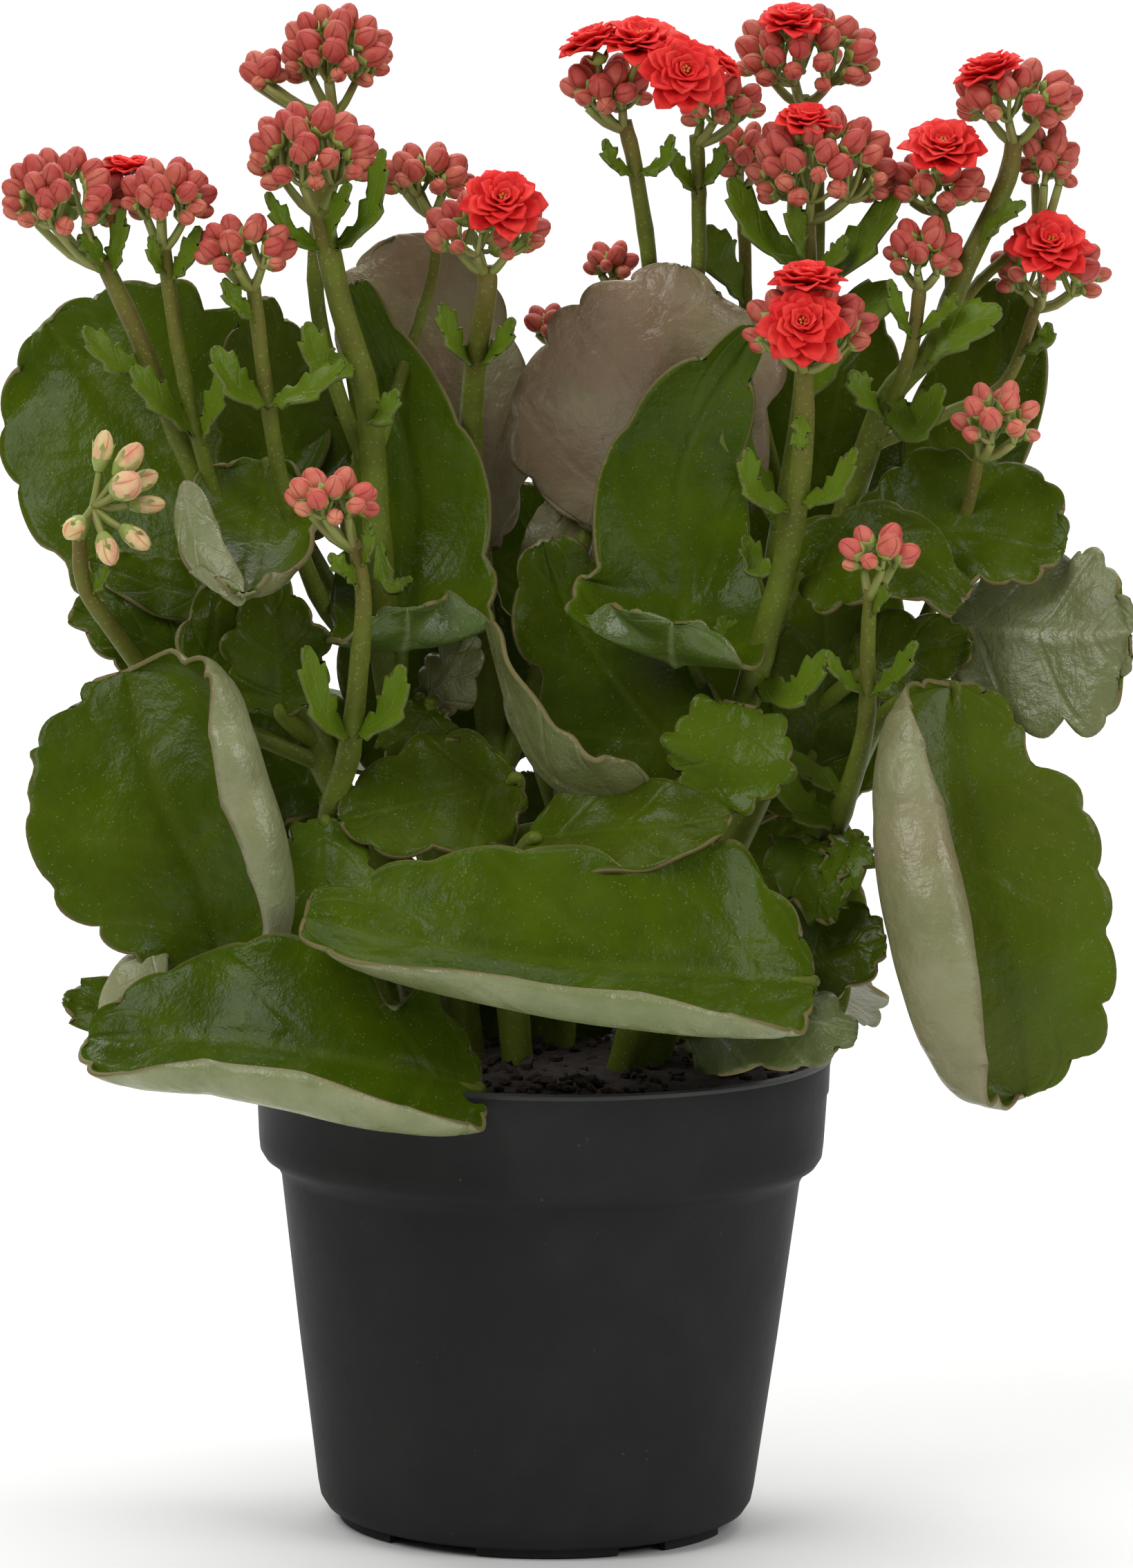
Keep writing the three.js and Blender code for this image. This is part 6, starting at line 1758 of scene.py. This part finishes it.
        face=((0, 0.9, -0.1), (-0.4, 0.9, -0.3)), wide=(19, 19), roll=((15, 10, 10),) * 2, notch=1.4,
        stalk=((-14, 110, -10),)),
    Leaf("leaf_back_low_right", "shoot_right_inner",
        rib=((30, 114, -28), (42, 124, -48), (54, 122, -64), (66, 112, -78)),
        face=((0, 0.9, -0.1), (0.4, 0.9, -0.3)), wide=(19, 19), roll=((15, 10, 10),) * 2, notch=1.4,
        stalk=((16, 110, -10),)),
    Leaf("leaf_back_upright", "shoot_back", rib=((0, 178, -44), (-2, 200, -58), (-2, 224, -66)),
        face=((0, 0.3, 1),) * 2, wide=(18, 18), roll=((20, 15, 15),) * 2, notch=1.4, stalk=((4, 160, -24),)),
    Leaf("leaf_inner_low_left", "shoot_rose_left", rib=((-28, 112, -22), (-42, 132, -26), (-56, 158, -30)),
        wide=(21, 21), stalk=((-18, 104, -10),)),
    Leaf("leaf_inner_low_centre", "shoot_back", rib=((-6, 104, -32), (-6, 130, -34), (-4, 164, -36)),
        wide=(25, 25), stalk=((2, 100, -22),)),
    Leaf("leaf_inner_low_right", "shoot_right_inner", rib=((34, 106, -24), (44, 132, -28), (52, 166, -30)),
        wide=(22, 22), stalk=((24, 100, -6),)),
    Leaf("leaf_inner_high_left", "shoot_left", rib=((-46, 158, -14), (-60, 172, -20), (-80, 196, -28)),
        wide=(17, 17), stalk=((-40, 152, -2),)),
    Leaf("leaf_inner_high_centre", "shoot_centre", rib=((-14, 160, -18), (-23, 184, -22), (-26, 214, -26)),
        wide=(20, 20), stalk=((-11, 150, -1),)),
    Leaf("leaf_inner_high_right", "shoot_right_inner", rib=((42, 158, -22), (54, 182, -26), (64, 212, -30)),
        wide=(22, 22), stalk=((36, 150, -8),)),
)


SHOOTS = (
    Shoot("shoot_left", (
        Stalk(((-22, 90, 6), (-30, 130, 2), (-46, 166, -2), (-60, 196, -4), (-72, 224, -2), (-77, 235, 0),
            (-85, 255, 4), (-92, 270, 6)), (3.6, 3.2, 2.2, 1.8)),
        Stalk(((-66, 212, -3), (-72, 232, 2), (-75, 245, 5), (-77, 255, 7), (-79.5, 274, 8)), (1.6, 1.5)),
    ), (
        ((-91, 267, 6), (-94, 272, 9), (-97, 275, 11), 2.6),
        ((-91, 267, 6), (-89, 273, 9), (-88, 281, 10), 2.2),
        ((-82, 248, 2), (-89, 249, 7), (-96, 256, 9), 3.4),
        ((-73, 234, 2), (-80, 241, 9), (-86, 248, 11), 3.6),
        ((-72, 232, 2), (-69, 240, 7), (-66, 248, 8), 2.6),
        ((-79, 267, 8), (-81, 270, 11), (-82, 275, 12), 1.8),
        ((-79, 266, 8), (-75, 270, 10), (-72, 277, 11), 2.4),
    )),
    Shoot("shoot_rose_left", (
        Stalk(((-14, 90, -6), (-22, 140, -6), (-32, 180, -4), (-35, 210, -1), (-37, 240, 2), (-43, 262, 4),
            (-47, 281, 6)), (3.8, 3.4, 2.6, 2.4)),
        Stalk(((-36, 224, 0), (-44, 245, -8), (-48, 266, -14), (-46, 290, -17), (-44, 302, -16)),
            (1.7, 1.6)),
        Stalk(((-33, 186, -4), (-46, 198, -4), (-54, 220, 2), (-58, 242, 8), (-61, 266, 11)), (1.9, 1.5)),
        Stalk(((-36, 228, 0), (-29, 250, -13), (-23.5, 268, -17), (-23.5, 281, -16)), (1.4, 1.2)),
    ), (
        ((-45, 272, 5), (-37, 279, 11), (-34, 293, 13), 2.6),
        ((-45, 272, 5), (-44, 279, 12), (-41, 286, 14), 2.4),
        ((-46, 272, 5), (-53, 276, 9), (-58, 284, 10), 2.2),
        ((-40, 250, 3), (-46, 248, 9), (-50, 257, 11), 4), ((-37, 236, 2), (-34, 238, 8), (-31, 243, 9), 2.8),
        ((-58, 241, 8), (-64, 244, 14), (-69, 252, 15), 3.8),
        ((-58, 241, 8), (-50, 243, 14), (-42, 249, 15), 3),
        ((-61, 258, 10), (-64, 261, 14), (-67, 266, 15), 2.4),
        ((-38, 215, 0), (-33, 203, 6), (-28, 204, 8), 1.8),
    )),
    Shoot("shoot_centre", (
        Stalk(((-5, 90, 2), (-9, 140, -2), (-13, 190, -16), (-16, 222, -20), (-15, 246, -10),
            (-12.5, 263, 3), (-12.5, 269, 4)), (3.4, 2.8, 1.8)),
        Stalk(((-10.5, 160, -7), (4, 200, -18), (16, 240, -26), (21.5, 262, -18), (18.5, 288, -5),
            (16, 299, -4)), (2.2, 1.7, 1.6)),
        Stalk(((17, 242, -19), (30, 262, -14), (31.5, 282, -8), (31, 296, -6)), (1.6, 1.5)),
    ), (
        ((-15, 248, -8), (-19, 253, 0), (-22, 261, 2), 2.8),
        ((-14, 248, -8), (-10, 252, 0), (-7, 258, 2), 2.4),
        ((18.5, 287, -4), (14, 290, 0), (12, 295, 1), 1.8), ((19, 287, -4), (24, 290, 0), (26, 296, 1), 1.8),
        ((31, 285, -8), (35, 289, -3), (37, 294, 0), 2.2), ((31, 284, -8), (28, 288, -3), (26, 293, -2), 2),
    )),
    Shoot("shoot_right_inner", (
        Stalk(((18, 90, -4), (32, 140, -6), (44, 190, -10), (52, 235, -10), (54, 262, -4), (54, 280, 0)),
            (3.6, 3, 1.9, 1.7)),
        Stalk(((53, 250, -7), (56, 275, -16), (55, 295, -20), (53, 304, -18)), (1.7, 1.5)),
        Stalk(((49, 218, -10), (42, 250, -24), (41, 274, -28), (40, 286, -26)), (1.5, 1.3)),
    ), (
        ((53, 268, -2), (44, 276, 2), (38, 287, 3), 4), ((54, 268, -2), (52, 275, 4), (51, 284, 5), 2.4),
        ((55, 262, -3), (64, 272, 2), (73, 284, 3), 4), ((54, 268, -2), (59, 270, 4), (62, 275, 5), 2.2),
        ((41, 262, -26), (36, 270, -21), (33, 277, -20), 5), ((52, 240, -9), (62, 256, -4), (72, 265, -3), 6),
        ((48, 212, -10), (40, 232, -4), (38, 242, -3), 4.5),
    )),
    Shoot("shoot_right_outer", (
        Stalk(((16, 90, 2), (30, 130, -2), (48, 170, -5), (59, 208, -6), (70, 240, 0), (80, 252, 4),
            (86, 267, 1), (95, 286, -6), (97, 296, -8)), (3.6, 3, 2.4, 1.8)),
        Stalk(((82, 255, 4), (90, 266, -6), (102, 276, -12)), (1.4, 1)),
        Stalk(((70, 238, 0), (74, 247, 5), (76, 254, 7), (77.5, 266, 6)), (1.7, 1.4)),
        Stalk(((68, 232, 0), (82, 238, -9), (95, 245, -13), (102, 262, -11)), (1.5, 1.2)),
        Stalk(((84, 262, 3), (83, 274, -3), (81, 282, -3)), (1.3, 1.2)),
    ), (
        ((78, 250, 4), (84, 255, 10), (94, 260, 11), 5.5), ((72, 242, 2), (76, 236, 9), (82, 244, 11), 4.5),
        ((70, 238, 0), (66, 242, 8), (63, 247, 9), 3.4), ((76, 254, 7), (73, 259, 11), (71, 266, 12), 1.9),
        ((77, 254, 7), (82, 259, 11), (85, 263, 12), 1.9),
        ((100, 250, -11), (103, 253, -7), (104, 257, -6), 2),
        ((90, 272, -2), (94, 279, 3), (99, 282, 4), 2.2),
    )),
    Shoot("shoot_front_right", (
        Stalk(((12, 90, 8), (24, 130, 9), (36, 162, 11), (44, 188, 14), (50, 210, 18), (53, 230, 22),
            (53.5, 249, 25)), (3.4, 3.2, 2.9, 2.4, 1.8)),
    ), (
        ((50, 219, 20), (43, 222, 27), (41.5, 231, 29), 2.8),
        ((53, 219, 20), (59, 222, 27), (64, 231, 29), 2.6),
        ((53, 239, 24), (52.5, 234, 28), (52.5, 231, 29), 2),
        ((43, 182, 14), (51, 180, 22), (58, 189, 25), 3.6), ((43, 190, 14), (39, 192, 9), (36, 196, 7), 3.4),
        ((48, 206, 17), (44, 206, 12), (41, 213, 11), 3),
    )),
    Shoot("shoot_low_right", (
        Stalk(((30, 90, 6), (42, 116, 8), (54, 140, 11), (61, 156, 16), (66, 173, 24), (66.5, 190, 29),
            (67, 202, 33)), (3.2, 2.8, 1.9, 1.3)),
        Stalk(((50, 132, 10), (62, 160, 0), (76, 190, -4), (86, 215, 4), (90, 231, 13)), (2, 1.6, 1.2)),
    ), (
        ((66, 180, 26), (61, 184, 32), (58, 189, 34), 1.8),
        ((66.5, 180, 26), (72, 184, 32), (76.5, 191, 34), 2.2),
        ((66.5, 196, 31), (69, 200, 35), (70, 203, 36), 2), ((60, 155, 15), (54, 156, 20), (47, 164, 21), 4),
        ((62, 160, 17), (52, 165, 14), (42, 163, 14), 3.4),
    )),
    Shoot("shoot_low_left", (
        Stalk(((-26, 90, 12), (-36, 120, 14), (-45, 150, 17), (-41, 168, 23), (-39, 185, 27),
            (-38, 200, 30), (-40, 212, 31)), (3.2, 2.8, 2.4, 1.9, 1.4)),
        Stalk(((-32, 110, 13), (-52, 140, 2), (-70, 166, 0), (-83, 184, 4), (-91, 195, 8), (-96, 203, 10),
            (-97, 214, 12)), (2.2, 1.9, 1.5)),
    ), (
        ((-40, 172, 24), (-46, 176, 31), (-50, 190, 33), 3.6),
        ((-40, 172, 24), (-33, 176, 31), (-30, 186, 33), 3.6),
        ((-38, 203, 30), (-42, 206, 34), (-45, 209, 35), 2.2),
        ((-38, 206, 30), (-37, 210, 34), (-37, 216, 35), 1.4),
        ((-95, 201, 9), (-92, 204, 12), (-91, 208, 13), 1.4),
    )),
    Shoot("shoot_back", (
        Stalk(((2, 90, -20), (4, 150, -24), (6, 200, -38), (10, 240, -40), (14, 266, -37)), (3.4, 2.4, 1.4)),
        Stalk(((10, 238, -40), (5, 248, -38), (1, 254, -37)), (1.2, 1)),
        Stalk(((4, 150, -24), (-12, 200, -50), (-28, 236, -62), (-30, 246, -64)), (2.2, 1.5)),
        Stalk(((5, 170, -30), (24, 205, -56), (38, 232, -64), (40, 242, -66)), (2.2, 1.5)),
    ), (
        ((-22, 222, -58), (-34, 226, -64), (-42, 234, -66), 4),
        ((32, 222, -60), (44, 226, -66), (52, 234, -70), 4),
        ((8, 226, -40), (0, 232, -50), (-4, 242, -54), 4),
    )),
)


HEADS = (
    Head("head_far_left", (-91.5, 269, 6), 2.6, (((-100, 283, 6), 13, 10, 32),)),
    Head("head_left", (-79.5, 273, 8), 2.55, (((-78.5, 283, 8), 10, 8, 22),)),
    Head("head_third_left", (-61, 265, 11), 2.5, (((-62.5, 272.5, 12), 10.5, 6.5, 19),)),
    Head("head_top_left", (-44, 301, -16), 2.75,
        (((-43.5, 313, -16), 12, 10, 28), ((-58.5, 309, -14), 4.8, 5, 7))),
    Head("head_rose_left", (-47, 280, 6), 2.75, (((-48.5, 292, 6), 13.5, 10.5, 34),)),
    Head("head_small_left", (-23.5, 280, -16), 2.5, (((-25, 287.5, -16), 10, 6.5, 17),)),
    Head("head_centre_left", (-12.5, 268, 4), 2.6, (((-12.5, 276, 4), 13, 8, 22),)),
    Head("head_low_left", (-40, 211, 31), 2.6, (((-44.5, 220.5, 31), 10, 6, 14),), BudSkin.PINK),
    Head("head_centre_right", (16, 298, -4), 2.7, (((12.5, 305.5, -4), 9.5, 7, 15),)),
    Head("head_centre_right_b", (31, 295, -6), 2.4, (((36, 302.5, -6), 9.5, 6.5, 16),)),
    Head("head_top_right", (53, 303, -18), 2.75, (((53.5, 312.5, -18), 15.5, 10, 32),)),
    Head("head_right_inner", (54, 279, 0), 2.75, (((57, 289.5, 0), 15.5, 12, 38),)),
    Head("head_right_small", (81, 281, -3), 2.7, (((80.5, 285.5, -3), 11.5, 6, 15),)),
    Head("head_far_right", (97, 295, -8), 2.8, (((97.5, 303.5, -8), 13.5, 7.5, 22),)),
    Head("head_far_right_low", (102, 275, -12), 2.5, (((104, 290.5, -12), 6.5, 8.5, 12),)),
    Head("head_right_edge", (102, 261, -11), 2.7, (((104.5, 268, -11), 12.5, 8.5, 17),)),
    Head("head_right_mid", (77.5, 265, 6), 2.6, (((78, 271.5, 6), 8.5, 7.5, 13),)),
    Head("head_front_right", (53.5, 248, 25), 2.7, (((54.5, 256, 24), 14, 10, 22),)),
    Head("head_low_right_back", (90, 230, 13), 2.4, (((93.5, 237, 14), 9.5, 8, 13),), BudSkin.PINK),
    Head("head_low_right", (67, 201, 33), 2.5, (((69, 209.5, 33), 8.5, 5.5, 9),), BudSkin.PINK),
    Head("head_back_small", (14, 265, -37), 2.1, (((13.5, 269.5, -37), 6, 4.5, 10),)),
    Head("head_back_twig", (1, 254, -37), 2.0, (((0, 257, -37), 5, 4, 8),)),
    Head("head_behind_right", (40, 285, -26), 2.3, (((41, 292, -26), 6.5, 7, 11),), BudSkin.PINK),
    Head("head_back_left", (-30, 245, -64), 2.6, (((-31, 254, -66), 12, 8, 20),)),
    Head("head_back_right", (40, 241, -66), 2.6, (((42, 250, -68), 12, 8, 20),)),
)


BLOOMS = (
    Bloom("bloom_centre_left", (Flower((-9.5, 281, 16), (0.1, 0.55, 0.8), 9, (-12, 274, 8)),)),
    Bloom("bloom_left", (Flower((-87, 288, 2), (0, 1, 0.1), 6, (-81, 280, 6)),)),
    Bloom("blooms_centre_right", (
        Flower((10, 314, 0), (-0.4, 1, 0.2), 7.5, (12, 303, -3)),
        Flower((19, 314, 2), (0, 0.9, 0.5), 8.5, (15, 304, -3)),
        Flower((28, 308, 9), (0.2, 0.4, 0.9), 9, (31, 301, 0)),
        Flower((35, 310, 1), (0.5, 0.8, 0.2), 5.5, (31, 301, 0)),
    )),
    Bloom("bloom_top_right", (Flower((51, 318.2, -10), (0, 0.9, 0.35), 7.5, (53, 309, -14)),)),
    Bloom("bloom_right_inner", (Flower((54, 297.6, 4), (0.1, 0.95, 0.4), 7, (56, 288, 1)),)),
    Bloom("bloom_right", (Flower((82, 292, 4), (0, 0.75, 0.65), 9, (81, 285, -1)),)),
    Bloom("bloom_far_right", (Flower((92, 308, -4), (-0.3, 1, 0.2), 7.5, (95, 301, -7)),)),
    Bloom("bloom_right_edge", (Flower((104, 272, 0), (0.1, 0.6, 0.8), 9, (104, 266, -8)),)),
    Bloom("blooms_front_right", (
        Flower((53, 256, 36), (0, 0.35, 0.95), 9, (54, 253, 27)),
        Flower((54, 264.5, 31), (0, 1, 0.3), 8, (54, 257, 27)),
    )),
)


@dataclass(frozen=True)
class SoftBox:
    """A soft studio light, hung at a distance from a spot along a way, with its back to that way."""

    name: str
    way: Sequence[float]
    distance: float
    size: tuple[float, float]
    power: float
    spot: Sequence[float] = (0.0, 0.0, 0.16)

    def build(self) -> None:
        """Hang the light."""
        lamp = bpy.data.lights.new(self.name, "AREA")
        lamp.shape = "RECTANGLE"
        lamp.size = self.size[0]
        lamp.size_y = self.size[1]
        lamp.energy = self.power
        holder = bpy.data.objects.new(self.name, lamp)
        bpy.context.scene.collection.objects.link(holder)
        way = Vector(self.way).normalized()
        holder.location = Vector(self.spot) + way * self.distance
        holder.rotation_euler = way.to_track_quat("Z", "Y").to_euler()


@dataclass(frozen=True)
class Studio:
    """The pale floor that turns up far behind the plant, the soft lights and the camera.

    Sky is the room's brightness. The floor reaches front before the plant, turns up depth behind it and is
    half_width wide to each side. The last two lights hang over the floor behind the plant.
    """

    lights: Sequence[SoftBox] = (
        SoftBox("key_light", (-0.7, -0.75, 0.95), 1.5, (0.9, 0.9), 13.0),
        SoftBox("side_light", (0.95, -0.65, 0.6), 1.5, (0.8, 0.8), 8.6),
        SoftBox("top_light", (0.1, 0.25, 1.0), 1.4, (1.0, 1.0), 7.0),
        SoftBox("back_light", (-0.9, 0.9, 0.7), 1.6, (0.9, 0.9), 4.0),
        SoftBox("near_floor_light", (0, -0.35, 1), 0, (4.0, 1.4), 76.0, (0, 1.6, 2.3)),
        SoftBox("far_floor_light", (0, -0.35, 1), 0, (4.0, 1.4), 76.0, (0, 4.2, 2.7)),
    )
    sky: float = 0.12
    half_width: float = 5.5
    depth: float = 5.2
    front: float = 6.0

    def floor(self, palette: Palette) -> None:
        """Lay the floor.

        Args:
            palette: The materials.
        """
        bm = bmesh.new()
        made = bmesh.ops.create_grid(bm, x_segments=2, y_segments=96, size=1.0)["verts"]
        for vert in made:
            along = (vert.co.y + 1) / 2
            travel = (self.front + self.depth + 4.0) * along - self.front
            bend = min(max(travel - self.depth, 0.0), math.pi / 2)
            y = travel if travel < self.depth else self.depth + math.sin(bend)
            z = 1 - math.cos(bend) + max(travel - self.depth - math.pi / 2, 0.0)
            vert.co = Vector((vert.co.x * self.half_width, y, z - 0.0002))
        for face in bm.faces:
            face.smooth = True
        floor = set_down("floor", bm)
        floor.data.materials.append(palette.floor)

    def camera(self) -> None:
        """Set the camera at the photograph's viewing angle."""
        lens = bpy.data.cameras.new("camera")
        lens.sensor_width = 36.0
        lens.lens = 36.0 * VIEW.distance / VIEW.frame_height
        lens.clip_start = 0.1
        lens.clip_end = 30.0
        camera = bpy.data.objects.new("camera", lens)
        bpy.context.scene.collection.objects.link(camera)
        roll = math.radians(VIEW.roll)
        right = VIEW.right_axis * math.cos(roll) + VIEW.up_axis * math.sin(roll)
        up = VIEW.up_axis * math.cos(roll) - VIEW.right_axis * math.sin(roll)
        turned = Matrix((right, up, VIEW.near_axis)).transposed().to_4x4()
        spot = (VIEW.middle + VIEW.near_axis * VIEW.distance) * MM
        camera.matrix_world = Matrix.Translation(spot) @ turned
        bpy.context.scene.camera = camera

    def room(self) -> None:
        """Fill the room with soft light."""
        world = bpy.data.worlds.new("room")
        world.use_nodes = True
        backdrop = world.node_tree.nodes["Background"]
        backdrop.inputs["Color"].default_value = (1.0, 1.0, 1.0, 1.0)
        backdrop.inputs["Strength"].default_value = self.sky
        bpy.context.scene.world = world
        bpy.context.scene.view_settings.view_transform = "Standard"

    def build(self, palette: Palette) -> None:
        """Set up the floor, the lights, the room and the camera.

        Args:
            palette: The materials.
        """
        self.camera()
        self.room()
        self.floor(palette)
        for light in self.lights:
            light.build()


def main() -> None:
    """Build the studio and the potted plant."""
    logging.basicConfig(level=logging.INFO, format="%(name)s: %(message)s")
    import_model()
    palette = Palette()
    Studio().build(palette)
    Pot().build(palette)
    Soil().build(palette)
    shoots = {shoot.name: shoot for shoot in SHOOTS}
    for shoot in SHOOTS:
        shoot.build(palette)
    for leaf in LEAVES:
        leaf.build(palette, shoots[leaf.of])
    for index, head in enumerate(HEADS):
        head.build(palette, index * 10 + 1)
    PaleHead().build(palette)
    for index, bloom in enumerate(BLOOMS):
        bloom.build(palette, index + 5)


if __name__ == "__main__":
    main()
